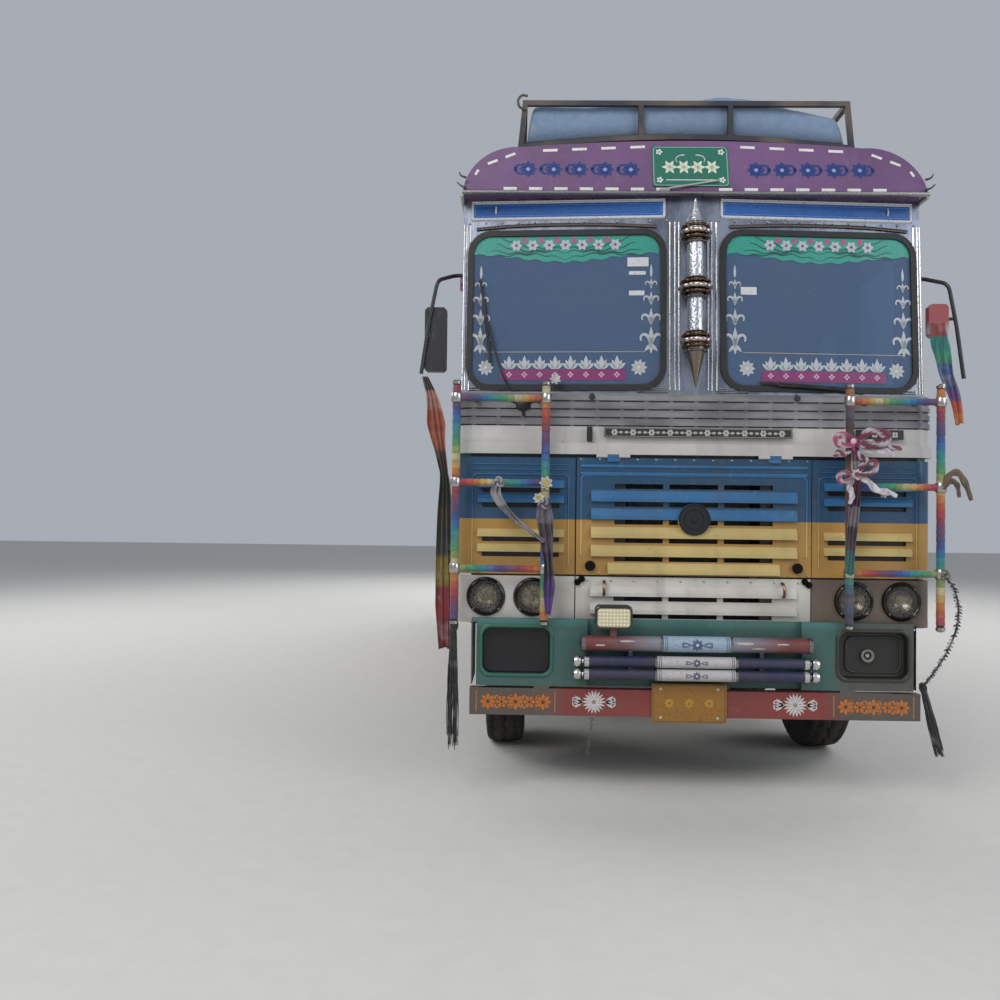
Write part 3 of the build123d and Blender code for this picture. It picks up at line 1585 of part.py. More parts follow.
steering_x = -690
steering_radius = 235
steering_spoke = 30
steering_centre = (steering_x, behind(730), 1985)
column_foot = (steering_x, behind(470), cab_floor_z)
with BuildPart() as dashboard:
    with BuildSketch(Plane.YZ.offset(-cab_half + cab_corner)) as dash_section:
        with BuildLine():
            Polyline(
                (behind(cowl_depth + 20), sill_z),
                (behind(cowl_depth + 180), sill_z - 20),
                (behind(cowl_depth + 240), sill_z - 110),
                (behind(cowl_depth + 200), sill_z - 290),
                (behind(cowl_depth + 20), sill_z - 330),
                close=True,
            )
        make_face()
    extrude(amount=2 * (cab_half - cab_corner))
    column = Vector(*steering_centre) - Vector(*column_foot)
    rod(column_foot, steering_centre, 24)
    with Locations(Plane(origin=steering_centre, x_dir=(1, 0, 0), z_dir=column)):
        Torus(steering_radius, 14)
        Box(2 * steering_radius, steering_spoke, 12)
        Box(steering_spoke, 2 * steering_radius, 12)
    add(cab_floor.part, mode=Mode.SUBTRACT)
save(dashboard, "dashboard")

# Load carrier on the roof: arched slats, sloping posts and a top rail
slat_mid_z = carrier_low_z + carrier_bar / 2
carrier_back = carrier_front + carrier_length
post_x = 255
with BuildPart() as carrier:
    for index in range(carrier_slat_count):
        share = index / (carrier_slat_count - 1)
        slat_y = behind(carrier_front + share * (carrier_length - carrier_bar))
        with BuildSketch(Plane.XZ.offset(-slat_y - carrier_bar)):
            with BuildLine():
                ThreePointArc(
                    (-carrier_half_low, slat_mid_z),
                    (0, slat_mid_z + carrier_arch),
                    (carrier_half_low, slat_mid_z),
                )
            trace(line_width=carrier_bar)
        extrude(amount=carrier_bar)
    rail_y = (behind(carrier_front), behind(carrier_back))
    for side in (-1, 1):
        block(
            side * (carrier_half_low - carrier_bar / 2), side * (carrier_half_low + carrier_bar / 2),
            *rail_y, carrier_low_z, carrier_low_z + carrier_bar,
        )
        block(
            side * (carrier_half_top - carrier_bar / 2), side * (carrier_half_top + carrier_bar / 2),
            *rail_y, carrier_top_z - carrier_bar, carrier_top_z,
        )
        for foot in (0.04, 0.5, 0.96):
            foot_y = behind(carrier_front + foot * carrier_length)
            block(
                side * (carrier_half_low - carrier_bar / 2),
                side * (carrier_half_low + carrier_bar / 2),
                foot_y - 20, foot_y + 20, roof_shoulder_z - 26, carrier_low_z,
            )
    for end_y in (behind(carrier_front), behind(carrier_back - carrier_bar)):
        block(
            -carrier_half_top, carrier_half_top, end_y, end_y + carrier_bar,
            carrier_top_z - carrier_bar, carrier_top_z,
        )
        with BuildSketch(Plane.XZ.offset(-end_y - carrier_bar)):
            for side in (-1, 1):
                with BuildLine():
                    Line(
                        (side * carrier_half_low, slat_mid_z),
                        (side * carrier_half_top, carrier_top_z - carrier_bar / 2),
                    )
                trace(line_width=carrier_bar)
                with Locations((side * post_x, (slat_mid_z + carrier_top_z) / 2 + 25)):
                    Rectangle(carrier_bar, carrier_top_z - slat_mid_z - 54)
        extrude(amount=carrier_bar)
    add(cab_roof.part, mode=Mode.SUBTRACT)
save(carrier, "roof_carrier")

# Folded sheet that lies in the carrier
sheet_half = carrier_half_top - carrier_bar
with BuildPart() as tarpaulin:
    with BuildSketch(Plane.XZ.offset(-behind(carrier_back - 70))):
        with BuildLine():
            low_z = slat_mid_z + carrier_bar / 2 + 16
            low_left = (-sheet_half, low_z)
            low_right = (sheet_half, low_z)
            bottom = ThreePointArc(low_left, (0, low_z + carrier_arch - 6), low_right)
            Line(low_right, (sheet_half, 3742))
            Spline(
                (sheet_half, 3742), (640, 3800), (500, 3842), (330, 3894), (190, 3906),
                (-60, 3850), (-400, 3826), (-sheet_half, 3800),
            )
            Line((-sheet_half, 3800), low_left)
        make_face()
    extrude(amount=carrier_length - 140)
save(tarpaulin, "tarpaulin")

# Load floor on its bearers and sills, with a deck sheet between the walls
wall_depth = post_depth + board_thickness
wall_inner_x = body_half - wall_depth
deck_half = wall_inner_x - deck_margin
with BuildPart() as load_floor:
    block(-body_half, body_half, body_front_y, body_rear_y, bed_z - floor_board, bed_z)
    block(
        -deck_half, deck_half, body_front_y + wall_depth + deck_margin, body_rear_y,
        bed_z - 1, bed_z + deck_sheet,
    )
    for side in (-1, 1):
        block(
            side * (rail_x - sill_width), side * rail_x, body_front_y, body_rear_y,
            frame_top_z, sill_top_z,
        )
    bearer_pitch = (body_rear_y - body_front_y - bearer_width) / (bearer_count - 1)
    for index in range(bearer_count):
        start_y = body_front_y + index * bearer_pitch
        block(
            under_body_inset - body_half, body_half - under_body_inset,
            start_y, start_y + bearer_width, sill_top_z, bed_z - floor_board,
        )
    for hinge_x in gate_hinge_x:
        for end in (-1, 1):
            start = hinge_x + (end - 0.5) * gate_hinge_width + hinge_slack
            stop = start + gate_hinge_width - 2 * hinge_slack
            block(
                start, stop, body_rear_y - 60, gate_axis_y,
                bed_z - floor_board - 12, gate_hinge_z - 2,
            )
            rod((start, gate_axis_y, gate_hinge_z), (stop, gate_axis_y, gate_hinge_z), 16)
        rod(
            (hinge_x - 1.5 * gate_hinge_width + 1, gate_axis_y, gate_hinge_z),
            (hinge_x + 1.5 * gate_hinge_width - 1, gate_axis_y, gate_hinge_z),
            gate_pin_radius,
        )
save(load_floor, "load_floor")


def boarded_wall(x0, x1, y0, y1, top_z, along_y, count):
    """Adds a boarded wall: rails at top and bottom, posts outside and boards inside."""
    low_z = bed_z
    block(x0, x1, y0, y1, low_z, low_z + body_rail)
    block(x0, x1, y0, y1, top_z - body_rail, top_z)
    clear = top_z - low_z - 2 * body_rail
    board = (clear - (board_count + 1) * board_gap) / board_count
    for index in range(board_count):
        start_z = low_z + body_rail + board_gap + index * (board + board_gap)
        if along_y:
            inner = x0 if abs(x0) < abs(x1) else x1
            outward = 1 if inner > 0 else -1
            block(inner, inner + outward * board_thickness, y0, y1, start_z, start_z + board)
        else:
            block(x0, x1, y1 - board_thickness, y1, start_z, start_z + board)
    for index in range(count):
        if along_y:
            start_y = y0 + index * (y1 - y0 - post_width) / (count - 1)
            outer = x1 if abs(x1) > abs(x0) else x0
            inward = -1 if outer > 0 else 1
            block(
                outer, outer + inward * (post_depth + 1), start_y, start_y + post_width,
                low_z, top_z,
            )
        else:
            start_x = x0 + index * (x1 - x0 - post_width) / (count - 1)
            block(
                start_x, start_x + post_width, y0, y0 + post_depth + 1, low_z, top_z,
            )


with BuildPart() as side_walls:
    for side in (-1, 1):
        ends = sorted((side * (body_half - wall_depth), side * body_half))
        boarded_wall(*ends, body_front_y, body_rear_y, body_top_z, True, post_count)
save(side_walls, "side_walls")
with BuildPart() as headboard:
    boarded_wall(
        -wall_inner_x, wall_inner_x, body_front_y, body_front_y + wall_depth,
        headboard_top_z, False, 5,
    )
    block(
        -wall_inner_x, wall_inner_x, body_rear_y - wall_depth, body_rear_y,
        body_top_z - body_rail, body_top_z,
    )
save(headboard, "headboard")

# Tailgate that drops about three hinges at the load floor's edge
gate_low_z = gate_hinge_z + 10
gate_high_z = gate_low_z + gate_height
with BuildPart() as tailgate:
    gate_half = body_half - 8
    block(-gate_half, gate_half, gate_inner_y, gate_outer_y, gate_low_z, gate_high_z)
    panel_count = 3
    panel_width = (2 * gate_half - (panel_count + 1) * body_rail) / panel_count
    for index in range(panel_count):
        start_x = -gate_half + body_rail + index * (panel_width + body_rail)
        block(
            start_x, start_x + panel_width, gate_inner_y + board_thickness, gate_outer_y + 1,
            gate_low_z + body_rail, gate_high_z - body_rail, mode=Mode.SUBTRACT,
        )
    for hinge_x in gate_hinge_x:
        start = hinge_x - gate_hinge_width / 2
        stop = hinge_x + gate_hinge_width / 2
        block(
            start, stop, gate_outer_y - 1, gate_axis_y + 4,
            gate_hinge_z, gate_hinge_z + 40,
        )
        rod(
            (start, gate_axis_y, gate_hinge_z), (stop, gate_axis_y, gate_hinge_z),
            gate_hinge_radius,
        )
        rod(
            (start - 1, gate_axis_y, gate_hinge_z), (stop + 1, gate_axis_y, gate_hinge_z),
            gate_pin_radius + running_gap, mode=Mode.SUBTRACT,
        )
save(tailgate, "tailgate")

# Side rails between the axle groups, the bar under the tail and the tail lamps
with BuildPart() as under_guards:
    run_y = (axle_2_y + 680, axle_3_y - 680)
    for side in (-1, 1):
        for low_z in (560, 800):
            block(side * 1190, side * 1215, *run_y, low_z, low_z + 100)
        for share in (0.1, 0.5, 0.9):
            post_y = run_y[0] + share * (run_y[1] - run_y[0])
            block(side * 1150, side * 1190, post_y - 30, post_y + 30, 560, sill_top_z)
    bar_y = tail_y - 200
    block(-1150, 1150, bar_y, bar_y + 80, 470, 570)
    for side in (-1, 1):
        block(side * rail_x, side * (rail_x + 50), rail_rear_y - 160, bar_y + 60, 565, 960)
        block(side * 880, side * 1150, bar_y + 10, bar_y + 80, 565, 690)
save(under_guards, "under_guards")

# Cloth tassels and scarves tied to the pipes, the mirror arms and the bumper's corner
tassels = (
    ((-pipe_outer_x, pipe_y, pipe_low_z), (-pipe_outer_x, pipe_y, 240), 30),
    ((fascia_half + 26, behind(-30), 600), (fascia_half + 120, behind(-34), 225), 24),
    ((mirror_bend_x - 12, behind(mirror_set_back), mirror_foot_z - 14),
     (mirror_bend_x - 14, behind(mirror_set_back), 1975), 20),
)
scarf_thickness = 14
with BuildPart() as streamers:
    for start, end, radius in tassels:
        rod(start, end, radius)
    with BuildSketch(Plane.XZ.offset(-behind(mirror_set_back) - scarf_thickness / 2)):
        with BuildLine():
            scarf_x = -mirror_bend_x + 20
            Polyline(
                (scarf_x - 20, mirror_foot_z - 14),
                (scarf_x + 24, mirror_foot_z - 14),
                (scarf_x + 86, 1750),
                (scarf_x + 150, 1300),
                (scarf_x + 144, 760),
                (scarf_x + 70, 760),
                (scarf_x + 60, 1300),
                (scarf_x + 4, 1750),
                close=True,
            )
        make_face()
    extrude(amount=scarf_thickness)
    front_face = pipe_y - pipe_radius
    block(-pipe_inner_x - 30, -pipe_inner_x + 36, front_face - 26, front_face, 1330, 1560)
    block(-pipe_inner_x - 6, -pipe_inner_x + 50, front_face - 22, front_face - 4, 960, 1340)
    block(pipe_inner_x - 36, pipe_inner_x + 40, front_face - 30, front_face, 1560, 1900)
    block(pipe_inner_x - 20, pipe_inner_x + 34, front_face - 22, front_face - 4, 1180, 1570)
    loop_x = pipe_outer_x + pipe_radius + 22
    loop = (
        (loop_x, pipe_y, 1560), (loop_x + 66, pipe_y, 1260),
        (loop_x + 46, pipe_y, 980), (loop_x - 26, pipe_y, 770),
    )
    for start, end in zip(loop, loop[1:]):
        rod(start, end, 22)
    for joint in loop[1:-1]:
        with Locations(joint):
            Sphere(22)
save(streamers, "streamers")
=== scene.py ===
from math import atan2, cos, hypot, pi, radians, sin

import bmesh
import bpy
import numpy as np
from mathutils import Matrix


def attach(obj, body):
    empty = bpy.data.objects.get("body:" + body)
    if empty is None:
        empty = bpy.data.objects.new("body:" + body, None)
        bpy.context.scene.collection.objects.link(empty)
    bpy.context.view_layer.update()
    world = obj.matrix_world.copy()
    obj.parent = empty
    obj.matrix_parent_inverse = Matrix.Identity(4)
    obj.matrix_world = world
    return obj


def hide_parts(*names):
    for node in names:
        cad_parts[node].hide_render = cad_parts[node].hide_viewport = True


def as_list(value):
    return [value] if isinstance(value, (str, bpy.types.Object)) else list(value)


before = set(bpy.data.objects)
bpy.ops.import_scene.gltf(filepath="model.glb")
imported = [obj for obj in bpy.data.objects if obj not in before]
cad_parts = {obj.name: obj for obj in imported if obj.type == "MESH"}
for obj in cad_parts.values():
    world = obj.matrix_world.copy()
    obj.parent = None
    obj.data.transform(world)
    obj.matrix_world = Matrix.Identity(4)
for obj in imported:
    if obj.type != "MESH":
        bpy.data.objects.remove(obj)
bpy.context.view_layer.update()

# Decorated haulage truck: X across it (+X is its left side), -Y is the way it drives, metres.
FACE = -5.050
SIDES = (-1, 1)
HANDS = (("left", 1), ("right", -1))
AHEAD, BEHIND, UP = (0, -1, 0), (0, 1, 0), (0, 0, 1)


def back(distance):
    """Y of a point this far behind the front face."""
    return FACE + distance


def behind(*spots):
    """Places whose middle number is the distance behind the front face."""
    return [(x, back(distance), z) for x, distance, z in spots]


# Finishes
def tint(code):
    """Linear colour of an sRGB code: each channel c above 0.04 becomes ((c + 0.055) / 1.055)^2.4."""
    c = np.array([int(code[i:i + 2], 16) for i in (0, 2, 4)]) / 255
    return (*(float(v) for v in np.where(c < 0.04045, c / 12.92, ((c + 0.055) / 1.055) ** 2.4)), 1.0)


def operator(kind, swapped=False):
    """A method that lays one Math node for a level and another value, in either order."""
    if swapped:
        return lambda level, other: level.finish.figure(kind, other, level)
    return lambda level, other=0.0: level.finish.figure(kind, level, other)


class Level:
    """A number that varies over a surface; plain arithmetic on it lays Math nodes."""

    def __init__(self, finish, socket):
        """Keeps the finish that lays the nodes and the socket that carries the number."""
        self.finish, self.socket = finish, socket

    __add__, __radd__ = operator("ADD"), operator("ADD", True)
    __sub__, __rsub__ = operator("SUBTRACT"), operator("SUBTRACT", True)
    __mul__, __rmul__ = operator("MULTIPLY"), operator("MULTIPLY", True)
    __truediv__, __mod__ = operator("DIVIDE"), operator("FLOORED_MODULO")
    __gt__, __lt__ = operator("GREATER_THAN"), operator("LESS_THAN")
    __and__, __or__, __abs__ = operator("MINIMUM"), operator("MAXIMUM"), operator("ABSOLUTE")

    def __invert__(self):
        """What is left of 1."""
        return 1.0 - self


class Finish:
    """One material being laid out: its shader, the surface's own coordinates and its fields."""

    def __init__(self, name, rough=0.5, metal=0.0, coat=0.0):
        """Starts a material with its even roughness, metal and clear coat."""
        self.material = bpy.data.materials.new(name)
        self.material.use_nodes = True
        self.tree = self.material.node_tree
        self.shader = self.tree.nodes["Principled BSDF"]
        self.shader.inputs["Roughness"].default_value = rough
        self.shader.inputs["Metallic"].default_value = metal
        self.shader.inputs["Coat Weight"].default_value = coat
        self.place = self.tree.nodes.new("ShaderNodeTexCoord").outputs["Object"]
        split = self.tree.nodes.new("ShaderNodeSeparateXYZ")
        self.tree.links.new(self.place, split.inputs[0])
        self.x, self.y, self.z = (Level(self, s) for s in split.outputs)

    def feed(self, value, socket):
        """Links a level or a socket, or sets a plain number or colour."""
        if isinstance(value, Level):
            value = value.socket
        if isinstance(value, bpy.types.NodeSocket):
            self.tree.links.new(value, socket)
        else:
            socket.default_value = value

    def figure(self, operation, a, b=0.0):
        """One Math node on two values."""
        node = self.tree.nodes.new("ShaderNodeMath")
        node.operation = operation
        self.feed(a, node.inputs[0])
        self.feed(b, node.inputs[1])
        return Level(self, node.outputs[0])

    def texture(self, kind, scale, stretch):
        """A texture node in the surface's own coordinates, each times its factor of stretch."""
        mapping = self.tree.nodes.new("ShaderNodeMapping")
        mapping.inputs["Scale"].default_value = stretch
        self.tree.links.new(self.place, mapping.inputs["Vector"])
        node = self.tree.nodes.new(kind)
        node.inputs["Scale"].default_value = scale
        self.tree.links.new(mapping.outputs[0], node.inputs["Vector"])
        return node

    def noise(self, scale, detail=2.0, stretch=(1, 1, 1)):
        """Cloud noise from 0 to 1, with its grain stretched along an axis by a small factor."""
        node = self.texture("ShaderNodeTexNoise", scale, stretch)
        node.inputs["Detail"].default_value = detail
        return Level(self, node.outputs[0])

    def cells(self, scale):
        """Distance to the nearest of scattered points, for hammered sheet."""
        return Level(self, self.texture("ShaderNodeTexVoronoi", scale, (1, 1, 1)).outputs["Distance"])

    def ramp(self, level, low, high):
        """0 below low, 1 above high and a smooth step between."""
        node = self.tree.nodes.new("ShaderNodeMapRange")
        node.interpolation_type = "SMOOTHSTEP"
        self.feed(level, node.inputs["Value"])
        node.inputs["From Min"].default_value = low
        node.inputs["From Max"].default_value = high
        return Level(self, node.outputs[0])

    def mix(self, share, a, b, kind="MIX"):
        """Colour a blended to colour b by a share from 0 to 1; either may be a code."""
        node = self.tree.nodes.new("ShaderNodeMix")
        node.data_type = "RGBA"
        node.blend_type = kind
        self.feed(share, node.inputs[0])
        self.feed(tint(a) if isinstance(a, str) else a, node.inputs[6])
        self.feed(tint(b) if isinstance(b, str) else b, node.inputs[7])
        return node.outputs[2]

    def dye(self):
        """The colour that a piece's own points carry."""
        node = self.tree.nodes.new("ShaderNodeAttribute")
        node.attribute_name = "dye"
        return node.outputs["Color"]

    def relief(self, *layers):
        """Chains bumps of (height, distance in metres) over each other."""
        last = None
        for height, distance in layers:
            node = self.tree.nodes.new("ShaderNodeBump")
            node.inputs["Distance"].default_value = distance
            node.inputs["Strength"].default_value = 1.0
            self.feed(height, node.inputs["Height"])
            if last:
                self.tree.links.new(last, node.inputs["Normal"])
            last = node.outputs[0]
        self.tree.links.new(last, self.shader.inputs["Normal"])

    def finish(self, colour, rough=None):
        """Feeds the colour and the roughness to the shader and gives the material."""
        self.feed(tint(colour) if isinstance(colour, str) else colour, self.shader.inputs["Base Color"])
        if rough is not None:
            self.feed(rough, self.shader.inputs["Roughness"])
        return self.material


def painted(name, scheme, rough=0.38, dirt=0.35, chips=0.12, dents=0.003, coat=0.15, metal=0.0):
    """Brushed paint on sheet metal: a scheme of colours, dulled in clouds, dusty low down and
    along noise, chipped to rust in specks, with a brushed skin and shallow dents."""
    f = Finish(name, rough, metal, coat)
    base = scheme(f) if callable(scheme) else scheme
    clouds = f.noise(2.3, 4)
    shade = f.mix(f.ramp(clouds, 0.35, 0.75) * 0.28, base, f.mix(1.0, base, "6f6a66", "MULTIPLY"))
    grain = f.noise(38, 4, (1, 1, 0.6))
    shade = f.mix(f.ramp(grain, 0.55, 0.85) * 0.10, shade, "b9b2a6")
    low = f.ramp(1.25 - f.z * 0.55 + f.noise(5, 5) * 0.9, 0.75, 1.65)
    shade = f.mix(low * dirt, shade, "7a6a58")
    specks = f.ramp(f.noise(55, 4), 0.69, 0.74) & f.ramp(f.noise(4, 2), 0.5, 0.62)
    shade = f.mix(specks * min(1.0, chips * 5), shade, "54382a")
    streak = f.ramp(f.noise(9, 3, (1, 1, 0.12)), 0.52, 0.8)
    shade = f.mix(streak * dirt * 0.7, shade, "4a423a")
    f.relief((f.noise(3, 2), dents), (f.noise(240, 2), 0.0004))
    return f.finish(shade, rough + low * 0.25 + grain * 0.12 - 0.06)


def worked(name, colour, second, rough=0.45, metal=0.0, scale=14.0, bump=0.0008, fine=160.0, coat=0.0,
           stretch=(1, 1, 1)):
    """A plain stuff of two close colours in clouds and grain, with its skin as bump."""
    f = Finish(name, rough, metal, coat)
    clouds = f.noise(scale, 5, stretch)
    grain = f.noise(fine, 3, stretch)
    shade = f.mix(f.ramp(clouds * 0.7 + grain * 0.3, 0.36, 0.62), colour, second)
    f.relief((grain, bump), (clouds, bump * 2.5))
    return f.finish(shade, rough - 0.1 + clouds * 0.2)


def rusty(name, paint_colour, share=0.5, rough=0.62):
    """Old chassis paint worn to rust and road dust: the rust comes through in clouds."""
    f = Finish(name, rough)
    rust = f.mix(f.noise(26, 4), "5a3524", "7d4c30")
    worn = f.ramp(f.noise(4.5, 6) + f.noise(40, 3) * 0.3, 0.98 - share * 0.5, 1.14 - share * 0.5)
    shade = f.mix(worn, paint_colour, rust)
    dust = f.ramp(f.noise(3, 4), 0.42, 0.7)
    shade = f.mix(dust * 0.45, shade, "85745f")
    f.relief((f.noise(70, 4), 0.0012), (worn, 0.0008))
    return f.finish(shade, rough + dust * 0.2)


def hammered(name, colour, second, rough=0.26, scale=55.0):
    """Bright metal sheet beaten over with round dimples, its colour darkened towards each dimple's middle as
    painted shade.
    """
    f = Finish(name, rough, 1.0)
    dimple = f.ramp(f.cells(scale), 0.0, 0.55)
    shade = f.mix(f.ramp(f.noise(6, 4), 0.3, 0.75), colour, second)
    # Painted shade: each dimple darker towards its middle.
    shade = f.mix(~dimple * 0.35, shade, "5d5f66")
    f.relief((dimple, 0.0025), (f.noise(200, 2), 0.0003))
    return f.finish(shade, rough + f.noise(9, 4) * 0.22)


def cloth(name, rough=0.85, weave=900.0, fade=0.3, grime=0.4):
    """Dyed cloth: the piece's own colours, darker in the weave and faded in clouds."""
    f = Finish(name, rough)
    f.shader.inputs["Sheen Weight"].default_value = 0.25
    threads = f.figure("SINE", f.x * weave + f.y * weave) * f.figure("SINE", f.z * weave)
    shade = f.mix(f.ramp(f.noise(30, 4), 0.35, 0.75) * grime, f.dye(), "4a4440")
    shade = f.mix(f.ramp(f.noise(11, 3), 0.55, 0.8) * fade, shade, "d8d0c4")
    f.relief((threads, 0.0006), (f.noise(60, 3), 0.003))
    return f.finish(shade)


def enamel(name, rough=0.42, metal=0.0, wear=0.35, coat=0.1):
    """Sign paint or small metal goods in the piece's own colours, rubbed thin in specks."""
    f = Finish(name, rough, metal, coat)
    rub = f.ramp(f.noise(70, 5), 0.5, 0.72)
    shade = f.mix(rub * wear, f.dye(), f.mix(1.0, f.dye(), "8c857c", "MULTIPLY"))
    f.relief((f.noise(300, 2), 0.0003))
    return f.finish(shade, rough + rub * 0.2)


def clear_glass(name, colour="84a5c8", rough=0.02, through=0.6):
    """Tinted pane: part of the light goes through it and the rest is its gloss and dust."""
    f = Finish(name, rough)
    f.shader.inputs["Transmission Weight"].default_value = through
    f.shader.inputs["IOR"].default_value = 1.1
    dust = f.ramp(f.noise(1.6, 3), 0.45, 0.95)
    return f.finish(f.mix(dust * 0.22, colour, "a8a49c"))


# Schemes by place
# The second blue and the second yellow are lighter copies of the first: a painted highlight for the proud
# louvre hoods.
BLUE, BLUE_LIT_HOOD, YELLOW, YELLOW_LIT_HOOD = "1d4767", "2b6797", "ab823e", "c2ab6c"
CREAM, GOLD, WHITE = "d8cdb2", "c9a23c", "d9d6d2"
BAND_FOOT, BAND_TOP, FLUTE = 1.80, 1.950, 0.044


def grille_scheme(highlight_front_y):
    """Blue above the middle and yellow below; where the sheet stands proud the hoods take a lighter copy of
    each colour, a painted highlight.
    """
    def scheme(f):
        """The two colours meet over 3 mm of height."""
        proud = f.y < highlight_front_y
        high = f.ramp(f.z, 1.4495, 1.4525)
        return f.mix(high, f.mix(proud, YELLOW, YELLOW_LIT_HOOD), f.mix(proud, BLUE, BLUE_LIT_HOOD))
    return scheme


def lamp_panel_scheme(f):
    """White, with the left-hand lamp panel gone brown."""
    return f.mix(f.ramp(f.x, 0.622, 0.63), "cfcdc6", "5d5048")


def name_scheme(f):
    """White bands with corrugated silver strips above, and a dark broken line in each groove."""
    strips = f.z > BAND_TOP
    phase = (f.z - BAND_TOP) % FLUTE
    line = strips & (phase < 0.007) & ((f.x % 0.132) > 0.022)
    silver = f.mix(f.ramp(f.noise(14, 4, (0.3, 1, 1)), 0.3, 0.7), "6d6c6e", "8f8e90")
    plain = f.mix(f.ramp(f.noise(3, 4), 0.4, 0.8), "c6c3bf", "aeaaa6")
    return f.mix(line, f.mix(strips, plain, silver), "2b2726")


def fascia_scheme(f):
    """Green, lighter towards the top, with the far left end dirty and dark and near black painted shade in
    the pockets' recesses.
    """
    green = f.mix(f.ramp(f.z, 0.87, 0.92), "255a56", "37726f")
    soiled = f.ramp(f.x + f.noise(6, 4) * 0.3, 0.86, 1.0)
    green = f.mix(soiled * 0.85, green, "45423e")
    # Painted shade: the recessed faces inside the lamp pockets are near black.
    deep = (f.y > back(-0.050)) & (abs(abs(f.x) - 0.9345) < 0.190) & (abs(f.z - 0.7575) < 0.135)
    return f.mix(deep, green, "08080a")


def rail_scheme(f):
    """Red in the middle and brown at the ends, with a worn meeting line."""
    brown = f.ramp(abs(f.x) + f.noise(8, 3) * 0.08, 0.70, 0.84)
    return f.mix(brown, "7f1d22", "4b4442")


def tube_scheme(f):
    """Upper tube red fading to silver; lower tubes blue with silver middles; work lamp dark."""
    span = abs(f.x)
    worn = f.noise(11, 4, (0.4, 1, 1))
    red = f.mix(f.ramp(span + worn * 0.2, 0.22, 0.6), "8d95a4", "742f33")
    blue = f.mix(span > 0.215, "9b9ea4", "0a2450")
    lamp = (f.z > 0.885) & (abs(f.x + 0.430) < 0.11)
    return f.mix(lamp, f.mix(f.z > 0.765, blue, red), "232524")


def mirror_scheme(f):
    """Dark heads and arms, but the left-hand head has a red back with a pale foot."""
    head = (abs(f.x - 1.342) < 0.054) & (abs(f.z - 2.5575) < 0.092)
    return f.mix(head, "1d1e21", f.mix(f.ramp(f.z, 2.50, 2.56), "a7a1a6", "8e3f42"))


def ring_flower(f, across, up, lobes, shade, rings):
    """Rings painted over each other: a colour wherever the distance from the middle is less than
    size + wave x cos(lobes x angle)."""
    reach = f.figure("SQRT", across * across + up * up)
    swing = f.figure("COSINE", f.figure("ARCTAN2", up, across) * lobes)
    for size, wave, colour in rings:
        shade = f.mix(reach < size + swing * wave, shade, colour)
    return shade


def wall_scheme(f):
    """Boards in green and blue bays with a ring flower in each, posts orange, rails striped."""
    pitch, start = 7.886 / 7, -2.82
    across = (f.y - start) % pitch - pitch / 2
    up = f.z - 2.155
    bay = ((f.y - start) % (pitch * 2)) > pitch
    ground = f.mix(bay, "2b7a6c", "24598c")
    shade = f.mix((abs(across) > 0.455) | (abs(up) > 0.70), ground, GOLD)
    shade = f.mix((abs(across) > 0.478) | (abs(up) > 0.725), shade, ground)
    shade = ring_flower(f, across, up, 8, shade, (
        (0.40, 0.06, "d8cfb6"), (0.37, 0.06, "b03a34"), (0.27, 0.05, "d9a83e"), (0.19, 0.04, "2f8f86"),
        (0.11, 0.02, "e6dfcf"), (0.06, 0.0, "8c2f52")))
    posts = f.mix((f.z % 0.30) > 0.15, "c4622c", "8b3050")
    rails = f.mix(((f.z * 7.0 + f.y * 7.0) % 1.0) > 0.5, "b8423a", "dcd3bd")
    return f.mix((f.z > 2.99) | (f.z < 1.32), f.mix(abs(f.x) > 1.1985, shade, posts), rails)


def gate_scheme(f):
    """Tailgate: a purple ground, framed in cream, with three ring flowers."""
    across = (f.x + 1.242) % 0.828 - 0.414
    up = f.z - 1.751
    shade = f.mix((abs(across) > 0.385) | (abs(up) > 0.45), "7a3f74", "d5c79f")
    return ring_flower(f, across, up, 10, shade, (
        (0.33, 0.045, "2f8f7c"), (0.29, 0.045, "d8cfb6"), (0.21, 0.035, "b8423a"), (0.13, 0.025, "d9a83e"),
        (0.06, 0.0, "2a4f86")))


def cab_scheme(f):
    """Mauve, with a green lower band, a thin cream line over it and a cream eave line, near black painted
    shade on the sheet behind the grille and a silver ledge under the screens."""
    line = ((f.z > BAND_FOOT) & (f.z < 1.822)) | ((f.z > 3.155) & (f.z < 3.172))
    low = f.mix(f.z < BAND_FOOT, "85588a", "2f6f66")
    shade_behind_grille = (abs(f.x) < 1.19) & (f.y > back(0.004)) & (f.y < back(0.32)) & (f.z < 1.83)
    ledge = (abs(f.x) < 1.262) & (f.y < back(0.14)) & (f.z > 1.99) & (f.z < 2.15)
    return f.mix(ledge, f.mix(shade_behind_grille, f.mix(line, low, CREAM), "0d0d0e"), "8f9096")


# Shapes
def points(x, y, z):
    """Places from three coordinates, each a number or an array, spread to one shape."""
    return np.stack(np.broadcast_arrays(x, y, z), -1)


def unit(v):
    """Each vector divided by its length."""
    return v / np.maximum(np.linalg.norm(v, axis=-1, keepdims=True), 1e-12)


